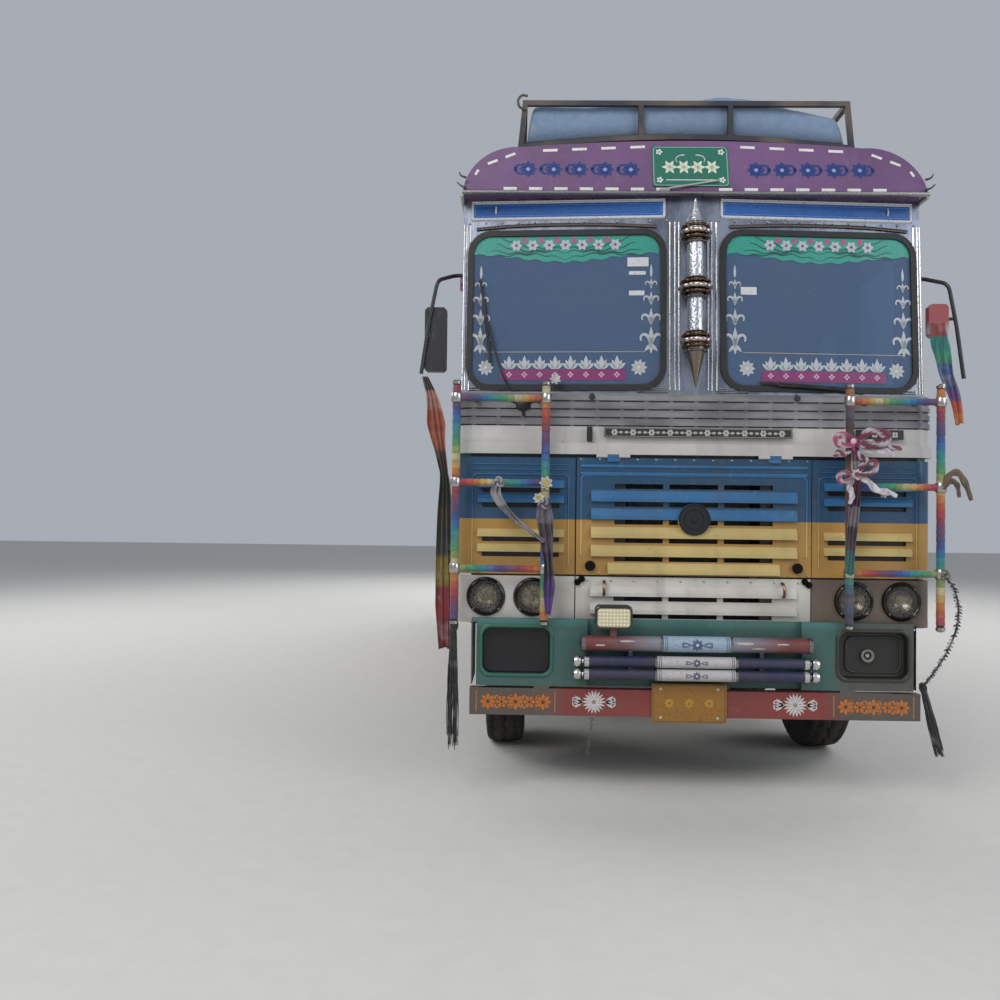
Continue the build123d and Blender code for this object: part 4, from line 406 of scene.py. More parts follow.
class Heap:
    """Surfaces gathered as arrays of points and quads, then made into one mesh."""

    def __init__(self):
        """Starts with no surface."""
        self.points, self.quads, self.dyes, self.count = [], [], [], 0

    def add(self, grid, dye="c8c8c8", around=True, along=False):
        """Takes grid[i, j] as a surface of quads, wrapped where it closes on itself."""
        grid = np.asarray(grid, float)
        n, m = grid.shape[:2]
        rows, columns = n if around else n - 1, m if along else m - 1
        i, j = np.meshgrid(np.arange(rows), np.arange(columns), indexing="ij")
        i, j = i.ravel(), j.ravel()
        k, l = (i + 1) % n, (j + 1) % m
        self.quads.append(np.stack([i * m + j, k * m + j, k * m + l, i * m + l], 1) + self.count)
        self.points.append(grid.reshape(-1, 3))
        colour = np.array(tint(dye)[:3]) if isinstance(dye, str) else np.asarray(dye, float)
        self.dyes.append(np.broadcast_to(colour, (n, m, 3)).reshape(-1, 3))
        self.count += n * m
        return self

    def turn(self, profile, base, axis, sides=24, dye="c8c8c8"):
        """Adds a turned form."""
        return self.add(turned(profile, base, axis, sides), dye)

    def make(self, name, material, body, angle=38, closed=True):
        """Joins the surfaces, welds their seams and poles, turns closed ones outwards."""
        mesh = bpy.data.meshes.new(name)
        mesh.from_pydata(np.concatenate(self.points).tolist(), [], np.concatenate(self.quads).tolist())
        dye = mesh.color_attributes.new("dye", "FLOAT_COLOR", "POINT")
        rgba = np.ones((self.count, 4), np.float32)
        rgba[:, :3] = np.concatenate(self.dyes)
        dye.data.foreach_set("color", rgba.ravel())
        work = bmesh.new()
        work.from_mesh(mesh)
        bmesh.ops.remove_doubles(work, verts=work.verts, dist=1e-6)
        bmesh.ops.dissolve_degenerate(work, edges=work.edges, dist=1e-7)
        if closed:
            bmesh.ops.recalc_face_normals(work, faces=work.faces)
        work.to_mesh(mesh)
        work.free()
        mesh.polygons.foreach_set("use_smooth", np.full(len(mesh.polygons), True))
        mesh.set_sharp_from_angle(angle=radians(angle))
        mesh.materials.append(material)
        piece = bpy.data.objects.new(name, mesh)
        bpy.context.scene.collection.objects.link(piece)
        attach(piece, body)
        return piece


def smooth_path(points, count):
    """A path through the given points by cubic pieces, each leaving and reaching a point along
    the line between that point's neighbours."""
    p = np.asarray(points, float)
    p = np.concatenate([[2 * p[0] - p[1]], p, [2 * p[-1] - p[-2]]])
    t = np.linspace(0, len(p) - 3 - 1e-9, count)
    i = t.astype(int)
    u = (t - i)[:, None]
    a, b, c, d = p[i], p[i + 1], p[i + 2], p[i + 3]
    square, cube = 2 * a - 5 * b + 4 * c - d, 3 * b - a - 3 * c + d
    return 0.5 * (2 * b + (c - a) * u + square * u ** 2 + cube * u ** 3)


def skin(path, radius, sides=8, flat=1.0):
    """A skin along a path: centre + r (cos a side + flat sin a rise), both ends drawn to a point."""
    path = np.asarray(path, float)
    run = unit(np.gradient(path, axis=0))
    up = np.eye(3)[np.argmin(np.abs(run).max(0))]
    side = unit(np.cross(run, up))
    rise = np.cross(side, run)
    radius = np.broadcast_to(radius, len(path)).astype(float)
    path, side, rise = (np.concatenate([v[:1], v, v[-1:]]) for v in (path, side, rise))
    r = np.concatenate([[0], radius, [0]])[None, :, None]
    a = np.linspace(0, 2 * pi, sides, endpoint=False)[:, None, None]
    return path[None] + r * (np.cos(a) * side[None] + flat * np.sin(a) * rise[None])


def turned(profile, base, axis, sides=24, lobes=None):
    """A profile of (distance along the axis, radius) points turned about the axis; lobes adds
    depth x cos(count x angle) to each radius."""
    profile = np.asarray(profile, float)
    axis = unit(np.asarray(axis, float))
    side = unit(np.cross(axis, np.eye(3)[np.argmin(np.abs(axis))]))
    rise = np.cross(axis, side)
    a = np.linspace(0, 2 * pi, sides, endpoint=False)[:, None]
    r = profile[None, :, 1] * np.ones_like(a)
    if lobes is not None:
        count, depth = lobes
        r = r + np.asarray(depth)[None, :] * np.cos(count * a)
    spread = np.cos(a)[..., None] * side + np.sin(a)[..., None] * rise
    return np.asarray(base) + profile[None, :, :1] * axis + r[..., None] * spread


def pebble(centre, half, sharp=0.25, sides=24, rings=13):
    """A rounded box: half sizes times signed powers of cosines and sines, squarer as the power
    nears 0."""
    def power(v):
        """The sign of v times |v| to the given power."""
        return np.sign(v) * np.abs(v) ** sharp
    a = np.linspace(0, 2 * pi, sides, endpoint=False)[:, None]
    b = np.linspace(-pi / 2, pi / 2, rings)[None]
    shape = points(power(np.cos(a)) * power(np.cos(b)), power(np.sin(a)) * power(np.cos(b)),
                   power(np.sin(b)) * np.ones_like(a))
    return np.asarray(centre) + shape * np.asarray(half)


def slab(low, high, bevel=0.002):
    """A plain bar or plate between two corners with its end edges eased: six loops of four
    corners, each a share of the plate's half size less an inset."""
    low, high = np.minimum(low, high), np.maximum(low, high)
    half = (high - low) / 2
    b = min(bevel, half.min() * 0.6)
    top = half[2]
    corners = np.array([(-1, -1), (1, -1), (1, 1), (-1, 1)], float)
    levels = ((-top, 0, 0), (-top, 1, b), (b - top, 1, 0), (top - b, 1, 0), (top, 1, b), (top, 0, 0))
    loops = [np.column_stack([corners * (share * (half[:2] - inset)), np.full(4, z)])
             for z, share, inset in levels]
    return (low + high) / 2 + np.stack(loops, 1)


def sideways(run):
    """Flat directions turned a quarter to the left."""
    return np.column_stack([-run[:, 1], run[:, 0]])


def capped(rows):
    """A surface wrapped round a run, closed at each end by a copy of the end's middle."""
    ends = [np.broadcast_to(rows[:, i].mean(0), (len(rows), 3))[:, None] for i in (0, -1)]
    return np.concatenate([ends[0], rows, ends[1]], 1)


def stroke(path, width, place, thick=0.0012):
    """A brush stroke: a flat ribbon of the given widths along a path, of a little thickness,
    with both ends closed."""
    path = np.asarray(path, float)
    side = sideways(unit(np.gradient(path, axis=0)))
    half = np.broadcast_to(np.asarray(width, float) / 2, len(path))[:, None]
    corners = [(path + hand * side * half, np.full(len(path), height))
               for hand, height in ((1, 0.0), (1, thick), (-1, thick), (-1, 0.0))]
    ring = capped(np.stack([np.column_stack(corner) for corner in corners]))
    return place(ring[..., 0], ring[..., 1], ring[..., 2])


def petal(centre, angle, inner, outer, width):
    """Path and widths of one petal: a straight run whose width goes as the sine of its length."""
    t = np.linspace(0, 1, 9)
    r = inner + (outer - inner) * t
    path = np.column_stack([centre[0] + r * cos(angle), centre[1] + r * sin(angle)])
    return path, width * np.sin(pi * t ** 0.8) + 0.0004


def leaf(heap, place, centre, angle, inner, outer, width, dye, thick=0.0012):
    """One petal painted as a stroke."""
    heap.add(stroke(*petal(centre, angle, inner, outer, width), place, thick), dye)


def flower(heap, centre, radius, petals, place, dye, middle=None, width=None, inner=0.2, turn=0.0,
           thick=0.0012):
    """Petals spread evenly round a centre, with a raised disc in the middle."""
    width = width or 2.2 * radius / petals
    for k in range(petals):
        leaf(heap, place, centre, turn + 2 * pi * k / petals, inner * radius, radius, width, dye, thick)
    if middle:
        rho = np.linspace(0, 1, 4)[None]
        a = np.linspace(0, 2 * pi, 14, endpoint=False)[:, None]
        u = centre[0] + 0.22 * radius * rho * np.cos(a)
        v = centre[1] + 0.22 * radius * rho * np.sin(a)
        top = place(u, v, thick * 1.6 * (1.1 - rho ** 2) + 0 * a)
        low = place(u[:, ::-1], v[:, ::-1], 0 * u)
        heap.add(np.concatenate([top, low], 1), middle)


def curl(start, angle, size, turns=0.8, hand=1, count=26):
    """A scroll: a path that leaves its start at an angle and winds in, its bend growing as the
    inverse of what is left of it."""
    t = np.linspace(0, 1, count)
    heading = angle + hand * 2 * pi * turns * t ** 1.6
    step = size * (1 - 0.75 * t) / count
    xy = np.cumsum(np.column_stack([np.cos(heading), np.sin(heading)]) * step[:, None], 0)
    return np.asarray(start) + xy - xy[0]


def scroll(heap, place, start, angle, size, turns, hand, width, ends, dye, thick=0.0012):
    """A curl painted as a stroke whose width goes evenly from one share of itself to another."""
    path = curl(start, angle, size, turns, hand)
    heap.add(stroke(path, width * np.linspace(*ends, len(path)), place, thick), dye)


def vine(heap, place, start, end, height, dye, leaves=5, width=0.008):
    """A waving stem between two points with a curl and two leaves at each wave."""
    start, end = np.asarray(start, float), np.asarray(end, float)
    t = np.linspace(0, 1, 90)
    along = unit((end - start)[None])[0]
    across = np.array([-along[1], along[0]])
    wave = height * 0.28 * np.sin(pi * leaves * t)
    path = start + (end - start) * t[:, None] + wave[:, None] * across
    heap.add(stroke(path, width * (0.5 + 0.5 * np.sin(pi * t)), place), dye)
    base = atan2(along[1], along[0])
    for k in range(leaves):
        at = path[int((k + 0.5) / leaves * 89)]
        hand = 1 if k % 2 == 0 else -1
        scroll(heap, place, at, base + hand * 1.1, height * 1.35, 0.8, hand, width, (1.2, 0.35), dye)
        for lean in (-0.6, 0.5):
            angle = base + pi * (hand < 0) + hand * (-1.2 + lean)
            leaf(heap, place, at, angle, 0.004, height * 0.42, height * 0.2, dye)


def front(proud):
    """Places flat work (x, z, height) on an upright plane this far in front of the face."""
    return lambda u, v, w: points(u, back(-proud) - w, v)


HALF_CAB, VEE = 1.254, 0.084
SCREEN_FOOT, SCREEN_TALL, SCREEN_LEAN = 2.130, 1.092, 0.060


def screen_y(x, z, depth=0.016):
    """Y of the screens' front: it runs back by the vee towards the sides and by the lean upwards."""
    return back(depth) + VEE * np.abs(x) / HALF_CAB + SCREEN_LEAN * (z - SCREEN_FOOT) / SCREEN_TALL


def screen(lift=0.0):
    """Places flat work (x, z, height) on the screens' plane."""
    return lambda u, v, w: points(u, screen_y(u, v) - lift - w, v)


def crown(u, v, w):
    """Places flat work on the crown board, which leans back as it rises."""
    return points(u, back(0.040) + 0.085 * (v - 3.222) / 0.320 - w, v)


def flank(side, x):
    """Places flat work (y, z, height) on an upright plane at this distance from the middle."""
    return lambda u, v, w: points(side * (x + w), u, v)


def tail(y):
    """Places flat work (x, z, height) on an upright plane that faces backwards."""
    return lambda u, v, w: points(u, y + w, v)


def line(a, b, count=2):
    """Evenly spaced points from one place to another."""
    return np.linspace(np.asarray(a, float), np.asarray(b, float), count)


def loop_path(x0, x1, z0, z1, corner):
    """A rounded rectangle as a closed path: four quarter circles joined by straight runs."""
    a = np.linspace(0, pi / 2, 15)
    left, right, low, high = x0 + corner, x1 - corner, z0 + corner, z1 - corner
    parts = [np.column_stack([cx + corner * np.cos(a + k * pi / 2), cz + corner * np.sin(a + k * pi / 2)])
             for k, (cx, cz) in enumerate(((right, high), (left, high), (left, low), (right, low)))]
    return np.concatenate(parts)


def nested(box, corner, share, y, steps, least=0.0):
    """Rounded rectangles on an upright plane: each is set in by its step's first number and
    stands forward by the second, and its corner shrinks by a share of the inset."""
    x0, x1, z0, z1 = box
    loops = []
    for inset, stand in steps:
        path = loop_path(x0 + inset, x1 - inset, z0 + inset, z1 - inset, max(least, corner - inset * share))
        loops.append(points(path[:, 0], y - stand, path[:, 1]))
    return loops


def rim(heap, path, place, width, height, dye):
    """A bead carried round a closed flat path: a five-sided arch of the given width and height."""
    side = sideways(unit(np.roll(path, -1, 0) - np.roll(path, 1, 0)))
    a = np.linspace(0, pi, 6)
    u = path[None, :, 0] + (width / 2 * np.cos(a))[:, None] * side[None, :, 0]
    v = path[None, :, 1] + (width / 2 * np.cos(a))[:, None] * side[None, :, 1]
    w = (height * np.sin(a))[:, None] + 0 * u
    heap.add(place(u, v, w), dye, along=True)


def bolts(heap, spots, axis, radius=0.008, height=0.005, dye="8a8784", sides=6):
    """Domed bolt heads at the given points, all along one axis."""
    profile = [(0, 0), (0, radius), (height * 0.7, radius), (height, radius * 0.55), (height, 0)]
    for spot in spots:
        heap.add(turned(profile, spot, axis, sides), dye)


# Stuffs
def guard_scheme(f):
    """Brown mudguards in front and green ones behind the cab."""
    return f.mix(f.ramp(f.y, back(2.6), back(2.8)), "5c463f", "2b5f58")


paint_crown = painted("crown_mauve_paint", "71517a", 0.42, 0.15)
paint_cab = painted("cab_mauve_paint", cab_scheme, 0.42, 0.4)
# Both grille paints give a lighter copy of their colour, a painted highlight, wherever the sheet stands
# proud.
paint_grille = painted("grille_blue_yellow_paint", grille_scheme(back(-0.011)), 0.4, 0.3, 0.25)
paint_corner = painted("corner_blue_yellow_paint", grille_scheme(back(-0.004)), 0.4, 0.35, 0.25)
paint_lamp_panel = painted("lamp_panel_white_paint", lamp_panel_scheme, 0.42, 0.55, 0.2)
paint_names = painted("name_band_white_paint", name_scheme, 0.4, 0.25)
paint_fascia = painted("fascia_green_paint", fascia_scheme, 0.4, 0.18, 0.2)
paint_rail = painted("bumper_rail_red_paint", rail_scheme, 0.42, 0.22, 0.3)
paint_tubes = painted("guard_tube_paint", tube_scheme, 0.34, 0.25, 0.2, metal=0.25)
paint_walls = painted("load_board_paint", wall_scheme, 0.5, 0.45, 0.2)
paint_gate = painted("tailgate_paint", gate_scheme, 0.5, 0.45, 0.2)
paint_head = painted("headboard_paint", wall_scheme, 0.5, 0.35, 0.2)
paint_guards = painted("mudguard_paint", guard_scheme, 0.5, 0.75, 0.3)
chassis_rust = rusty("chassis_paint_and_rust", "6e2f28", 0.5)
axle_grime = rusty("axle_black_paint_and_dust", "2e2c2a", 0.55, 0.7)
under_rust = rusty("side_rail_red_paint", "8c3f36", 0.35)
wheel_paint = rusty("wheel_brown_paint", "6a4c3c", 0.45, 0.55)
carrier_steel = rusty("carrier_dark_steel", "2f3238", 0.12, 0.5)
engine_metal = worked("engine_cast_metal", "4a4c4c", "6b6762", 0.6, 0.6, 18, 0.0015, 90)
floor_steel = rusty("load_floor_steel", "6a6258", 0.6, 0.6)
cab_floor_mat = worked("cab_floor_rubber", "252525", "38342f", 0.8, 0.0, 9, 0.001, 220)
dash_plastic = worked("dashboard_plastic", "2c2b2d", "403c3a", 0.55, 0.0, 7, 0.0006, 380)
gasket_rubber = worked("screen_gasket_rubber", "101112", "1f1e1e", 0.55, 0.0, 20, 0.0006, 260)
tyre_rubber = worked("tyre_rubber", "1a1918", "38332e", 0.85, 0.0, 6, 0.0007, 240)
black_paint = worked("bracket_black_paint", "1b1b1c", "34312f", 0.5, 0.1, 12, 0.0006, 200)
frame_silver = worked("screen_frame_silver", "686e7c", "8d94a4", 0.34, 0.75, 11, 0.0006, 140,
                      stretch=(1, 1, 0.3))
mirror_skin = painted("mirror_head_paint", mirror_scheme, 0.45, 0.15, 0.1, dents=0.001)
tank_metal = worked("tank_sheet", "7d8084", "5d5c5c", 0.42, 0.8, 7, 0.001, 120)
screen_pane = clear_glass("screen_glass", "8099bb", 0.0, 0.68)
door_pane = clear_glass("door_glass", "869cb0", 0.0, 0.7)
sign_paint = enamel("sign_paint", 0.45)
# Black enamel for the badge, and near black painted shade for the pocket linings.
black_and_shade_enamel = enamel("black_badge_and_pocket_shade_paint", 0.5, 0.0, 0.15)
decal_paint = enamel("glass_transfer_paint", 0.4, 0.0, 0.25)
small_chrome = enamel("small_bright_metal", 0.25, 1.0, 0.3)
beaten_silver = hammered("beaten_silver_sheet", "dfe1e6", "b3b5bb")
ribbon_cloth = cloth("ribbon_cloth")
satin_tape = cloth("pipe_wrapping_tape", 0.6, 700, 0.1)
hair_thread = cloth("tassel_thread", 0.8, 1500)
petal_cloth = cloth("flower_cloth", 0.75, 800)
canvas = cloth("carrier_canvas", 0.9, 500, 0.10, 0.16)
leatherette = worked("seat_leatherette", "3b2a28", "55403a", 0.5, 0.0, 9, 0.0012, 420)
bunk_cover = worked("bunk_quilt_cloth", "6e3340", "8d5a4a", 0.85, 0.0, 30, 0.002, 300)
lamp_lens = clear_glass("headlamp_lens_glass", "c9c6be", 0.04, 0.93)
amber_lens = enamel("signal_lens_plastic", 0.2, 0.0, 0.15, 0.6)

FINISHES = {
    "bumper_fascia": paint_fascia, "bumper_rail": paint_rail, "bumper_tubes": paint_tubes,
    "cab_floor": cab_floor_mat, "cab_glass": screen_pane, "cab_roof": paint_crown, "cab_shell": paint_cab,
    "chassis_frame": chassis_rust, "corner_panels": paint_corner, "dashboard": dash_plastic,
    "drive_axles": axle_grime, "engine_block": engine_metal, "front_axles": axle_grime,
    "guard_pipes": black_paint, "headboard": paint_head, "headlamps": small_chrome,
    "load_floor": floor_steel, "lower_panels": paint_lamp_panel, "mirrors": mirror_skin,
    "mudguards": paint_guards, "name_panel": paint_names, "roof_carrier": carrier_steel,
    "screen_frames": frame_silver, "screen_gaskets": gasket_rubber, "seats": leatherette,
    "side_walls": paint_walls, "spare_wheel": tyre_rubber, "spear_ornament": beaten_silver,
    "streamers": ribbon_cloth, "tank_and_battery": tank_metal, "tarpaulin": canvas,
    "under_guards": under_rust, "grille_flap": paint_grille, "tailgate": paint_gate,
    "tie_rod_first": axle_grime, "tie_rod_second": axle_grime}
BY_FIRST_WORD = {"door_glass": door_pane, "door": paint_cab, "tyre": tyre_rubber, "wheel": wheel_paint,
                 "": axle_grime}


def node_finish(name):
    """The finish of a solid: by its name, or else by the first part of the name that is known."""
    return FINISHES.get(name) or next(mat for start, mat in BY_FIRST_WORD.items() if name.startswith(start))


for name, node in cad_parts.items():
    if node.material_slots:
        for slot in node.material_slots:
            slot.material = node_finish(name)
    else:
        node.data.materials.append(node_finish(name))


# Tyres
AXLES = {"first": -3.820, "second": -2.020, "third": 1.540, "fourth": 2.920}
STEERED = ("first", "second")
AXLE_Z = 0.525
TYRE_RADIUS, TYRE_BORE, TYRE_WIDTH = 0.524, 0.262, 0.250
WHEELS = [(axle, y, hand, side) for axle, y in AXLES.items() for hand, side in HANDS]


def wheel_body(axle, hand):
    """Name of the body that a wheel or a pair of wheels turns with."""
    return f"road_wheel_{axle}_{hand}" if axle in STEERED else f"twin_wheel_{axle}_{hand}"


def tyre_skin(x, y, lugs=54, across=34, around=216):
    """A tyre: half sections of a rounded box carried about the axle; the tread's radius falls by
    a zigzag groove wherever |z - zigzag(angle)| is under the groove's half width."""
    a = np.linspace(0, 2 * pi, around, endpoint=False)[:, None]
    t = np.linspace(0, 1, across)[None]
    on_tread = (t > 0.26) & (t < 0.74)
    wall = np.clip(t / 0.26, 0, 1) * (t < 0.5) + np.clip((1 - t) / 0.26, 0, 1) * (t >= 0.5)
    side = np.where(t < 0.5, -1.0, 1.0)
    tread = np.clip((t - 0.26) / 0.48, 0, 1)
    height = TYRE_BORE + (TYRE_RADIUS - TYRE_BORE) * np.clip(1.0 - (1 - wall) ** 1.3, 0, 1)
    rise = (height - TYRE_BORE) / (TYRE_RADIUS - TYRE_BORE)
    taper = np.interp(rise, (0, 0.60, 0.70, 0.80, 1), (0.79, 0.955, 0.985, 0.965, 0.86))
    spread = np.where(on_tread, (2 * tread - 1) * 0.86, side * taper)
    crowned = TYRE_RADIUS - 0.012 * np.abs(2 * tread - 1) ** 3
    height = np.where(on_tread, crowned, height - 0.012 * (wall > 0.9))
    zig = 0.030 * (2 / pi) * np.arcsin(np.sin(a * lugs / 2))
    z = spread * TYRE_WIDTH / 2
    groove = np.zeros_like(z + a)
    for middle in (-0.30, 0.0, 0.30):
        distance = np.abs(z - middle * TYRE_WIDTH - 0.35 * zig)
        groove = np.maximum(groove, np.clip(1.6 - distance / 0.0062, 0, 1))
    block = np.clip(1.3 - np.abs(np.sin(a * lugs / 2)) / 0.35, 0, 1)
    inside, edge = (np.abs(spread) < 0.70) & on_tread, (np.abs(spread) >= 0.60) & on_tread
    depth = 0.014 * np.maximum(groove * inside, 0.8 * block * edge)
    z = z - side * 0.0024 * np.maximum(np.cos(rise * 32), 0) * (rise > 0.12) * (rise < 0.9) * (wall < 1)
    r = height - depth
    return points(x + z + 0 * a, y + r * np.cos(a), AXLE_Z + r * np.sin(a))


for axle, axle_y, hand, side in WHEELS:
    heap = Heap()
    for across in ((1.000,) if axle in STEERED else (0.770, 1.080)):
        heap.add(tyre_skin(side * across, axle_y), "23211f")
    tyre = heap.make(f"tread_{axle}_{hand}", tyre_rubber, wheel_body(axle, hand), angle=42, closed=False)
    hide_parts(f"tyre_{axle}_{hand}" if axle in STEERED else f"tyres_{axle}_{hand}")


# Crown, sign and roof
def blossom(heap, centre, size, place, outer, inner, heart, petals=8):
    """Two rings of petals and a heart, as painters set at the joints of a scroll."""
    flower(heap, centre, size, petals, place, outer, None, thick=0.0010)
    flower(heap, centre, size * 0.62, petals, place, inner, heart, turn=pi / petals, thick=0.0016)


def dashes(heap, place, start, end, pitch, share, width, dye):
    """Short bars set evenly along a line between two points."""
    start, end = np.asarray(start, float), np.asarray(end, float)
    length = hypot(*(end - start))
    for k in range(int(length / pitch)):
        a = (k + 0.5 - share / 2) * pitch / length
        b = (k + 0.5 + share / 2) * pitch / length
        bar = line(start + (end - start) * a, start + (end - start) * b, 4)
        heap.add(stroke(bar, width, place, 0.0014), dye)


crown_art = Heap()
LEAF_BLUE = "223a78"
CROWN_FLOWERS_Z = 3.364
for side in SIDES:
    for start, end, pitch, share, width in (((0.10, 3.246), (1.19, 3.246), 0.138, 0.52, 0.016),
                                            ((0.22, 3.506), (0.90, 3.474), 0.160, 0.50, 0.016),
                                            ((0.95, 3.468), (1.145, 3.385), 0.105, 0.55, 0.015),
                                            ((1.165, 3.37), (1.225, 3.262), 0.062, 0.55, 0.014)):
        dashes(crown_art, crown, (side * start[0], start[1]), (side * end[0], end[1]), pitch, share, width,
               WHITE)
    for x in np.linspace(0.34, 0.90, 5):
        flower(crown_art, (side * x, CROWN_FLOWERS_Z), 0.050, 8, crown, LEAF_BLUE, "8f96c8", width=0.027)
    for x in np.linspace(0.41, 0.97, 5):
        for hand in SIDES:
            scroll(crown_art, crown, (side * x, CROWN_FLOWERS_Z - hand * 0.012), hand * pi / 2, 0.125, 0.62,
                   side * hand, 0.017, (1.1, 0.35), LEAF_BLUE, 0.0013)
wire = crown(np.linspace(-0.190, 0.135, 12), np.linspace(3.238, 3.296, 12), 0.016)
crown_art.add(skin(wire, 0.005, 8), "a7a7a2")
crown_art.make("crown_painted_ornament", sign_paint, "chassis")


def sheet_on(heap, x0, x1, z0, z1, place, thick, dye, steps=8):
    """A thin plate on a placed plane: a loop round its section, closed at both ends."""
    u = np.linspace(x0, x1, steps)
    corners = ((z0, 0.0), (z0, thick), (z1, thick), (z1, 0.0))
    heap.add(capped(np.stack([place(u, np.full_like(u, v), np.full_like(u, w)) for v, w in corners])), dye)


def on_crown(u, v, w):
    """Places flat work on the sign that is fixed to the crown."""
    return crown(u, v, w + SIGN_THICK)


sign_board = Heap()
SIGN_THICK = 0.006
sheet_on(sign_board, -0.222, 0.190, 3.262, 3.505, crown, SIGN_THICK, "1f6a57")
rim(sign_board, loop_path(-0.216, 0.184, 3.268, 3.499, 0.02), on_crown, 0.006, 0.002, "7fa49a")
for x, z in ((-0.185, 3.47), (0.153, 3.47), (-0.185, 3.300), (0.153, 3.300)):
    flower(sign_board, (x, z), 0.020, 5, on_crown, WHITE, None, width=0.012)
sign_board.add(stroke(line((-0.15, 3.300), (0.118, 3.300)), 0.005, on_crown), WHITE)
for x in np.linspace(-0.13, 0.10, 4):
    blossom(sign_board, (x, 3.378), 0.044, on_crown, "d6d2c4", "b8c9b4", "c9a84a", 6)
for hand in SIDES:
    scroll(sign_board, on_crown, (-0.016 + hand * 0.03, 3.452), pi * (hand < 0), 0.14, 0.5, -hand, 0.006,
           (1, 0.4), "cfd2c2")
sign_board.make("crown_sign_board", sign_paint, "chassis")

crown_trim = Heap()
DRIP_Z, HEAD_Z = 3.2215, 3.153
drip_x = np.linspace(-1.256, 1.256, 60)
DRIP = ((0.0, -0.013), (0.010, -0.011), (0.017, -0.004), (0.017, 0.004), (0.009, 0.010), (0.0, 0.012))
crown_trim.add(np.stack([points(drip_x, back(0.036) - w, DRIP_Z + v + 0 * drip_x) for w, v in DRIP]),
               "a9a6a6")
for side in SIDES:
    strip = np.linspace(side * 0.150, side * 1.210, 40)
    face_y = screen_y(strip, HEAD_Z)
    for z in (3.205, 3.101):
        crown_trim.add(np.stack([points(strip, face_y - 0.007 * sin(a), z + 0.006 * cos(a) + 0 * strip)
                                 for a in np.linspace(0, pi, 5)]), "b8b5b3")
    screws = [(side * x, back(0.016) + VEE * x / HALF_CAB + 0.050, 3.084)
              for x in np.arange(0.14, 1.24, 0.09)]
    bolts(crown_trim, screws, AHEAD, 0.006, 0.005, "8d8a88")
crown_trim.make("crown_drip_moulding", small_chrome, "chassis")

strips = Heap()
HANDLE_X = 1.075
for side in SIDES:
    x0, x1 = sorted((side * 0.152, side * 1.208))
    sheet_on(strips, x0, x1, 3.108, 3.198, screen(0.001), 0.002, "16569f", 30)
    lifted = screen(0.003)
    rim(strips, loop_path(x0 + 0.004, x1 - 0.004, 3.108, 3.198, 0.006), lifted, 0.014, 0.004, "c2c5cd")
    rim(strips, loop_path(x0 + 0.020, x1 - 0.020, 3.124, 3.182, 0.006), lifted, 0.003, 0.0012, "5f86c4")
    bow = 0.010 * np.sin(np.linspace(0, pi, 9))
    grip = lifted(np.full(9, side * HANDLE_X), np.linspace(3.138, 3.176, 9), bow)
    strips.add(skin(grip, 0.0045, 8), "c9ccd2")
strips.make("screen_head_strips", sign_paint, "chassis")

# Screens
frames_art = Heap()
for side in SIDES:
    for x in (0.077, 0.098, 0.125, 1.215, 1.236, 1.2505):
        z = np.linspace(2.150, 3.075, 12)
        frames_art.add(skin(points(side * x, screen_y(x, z, 0.0135), z), 0.0042, 6), "c2bfbd")
    for x0, x1 in ((0.135, 0.30), (1.05, 1.21)):
        for z in (2.140, 2.152, 2.164):
            u = np.linspace(side * x0, side * x1, 6)
            frames_art.add(skin(points(u, screen_y(u, z, 0.013), z), 0.0035, 6), "b5b2b0")
    brow = smooth_path([(side * x, z) for x, z in ((0.20, 3.052), (0.45, 3.066), (0.70, 3.070), (0.95, 3.066),
                                                   (1.18, 3.050))], 40)
    frames_art.add(skin(screen(0.004)(*brow.T, 0.0), 0.010, 8), "79706a")
frames_art.make("screen_frame_beads", small_chrome, "chassis")

glass_art = Heap()
TEAL, DEEP_GREEN, MAGENTA, FILM_WHITE = "2b8f80", "0f4a44", "7c2a63", "aeb2b8"
PANE_IN, PANE_OUT, PANE_MIDDLE, PANE_CORNER = 0.185, 1.192, 0.69, 0.095
pane, upper = screen(0.0004), screen(0.0016)


def band_foot(a):
    """Height of the sun band's worn lower edge: two waves over the distance from the middle."""
    return 2.884 - 0.022 * np.cos((a - PANE_MIDDLE) / 0.5 * pi) + 0.006 * np.sin(a * 61)


def sun_band(heap, side):
    """A film on one pane from its worn lower edge to its head, drawn in at the pane's rounded
    corners by the corner's circle."""
    a = np.linspace(PANE_IN, PANE_OUT, 40)
    low, high = band_foot(a), 3.006
    z = low + (high - low) * np.linspace(0, 1, 6)[:, None]
    over = np.clip(z - 2.920, 0, None)
    pull = PANE_CORNER - np.sqrt(np.clip(PANE_CORNER ** 2 - over ** 2, 0, None))
    x = np.clip(a, PANE_IN + pull, PANE_OUT - pull)
    heap.add(pane(side * x, z, 0.0008 + 0 * z), TEAL, around=False)


def spray(heap, middle):
    """Leaf sprays up the edge of a pane: pairs of narrow scrolls with an upright leaf between."""
    for z, size in ((2.405, 0.30), (2.52, 0.26), (2.63, 0.21), (2.72, 0.16)):
        for lean in SIDES:
            swirl = curl((middle, z), pi / 2 + lean * 0.35, size * 0.75, 0.66, lean)
            swirl[:, 0] = middle + (swirl[:, 0] - middle) * 0.72
            heap.add(stroke(swirl, size * 0.062 * np.linspace(1.1, 0.4, len(swirl)), pane), FILM_WHITE)
        leaf(heap, pane, (middle, z - 0.012), pi / 2, 0.0, size * 0.36, size * 0.085, FILM_WHITE)
    for lean in (-0.7, 0.0, 0.7):
        leaf(heap, pane, (middle, 2.405), -pi / 2 + lean, 0.0, 0.055, 0.018, FILM_WHITE)
    leaf(heap, pane, (middle, 2.77), pi / 2, 0.0, 0.075, 0.014, FILM_WHITE)


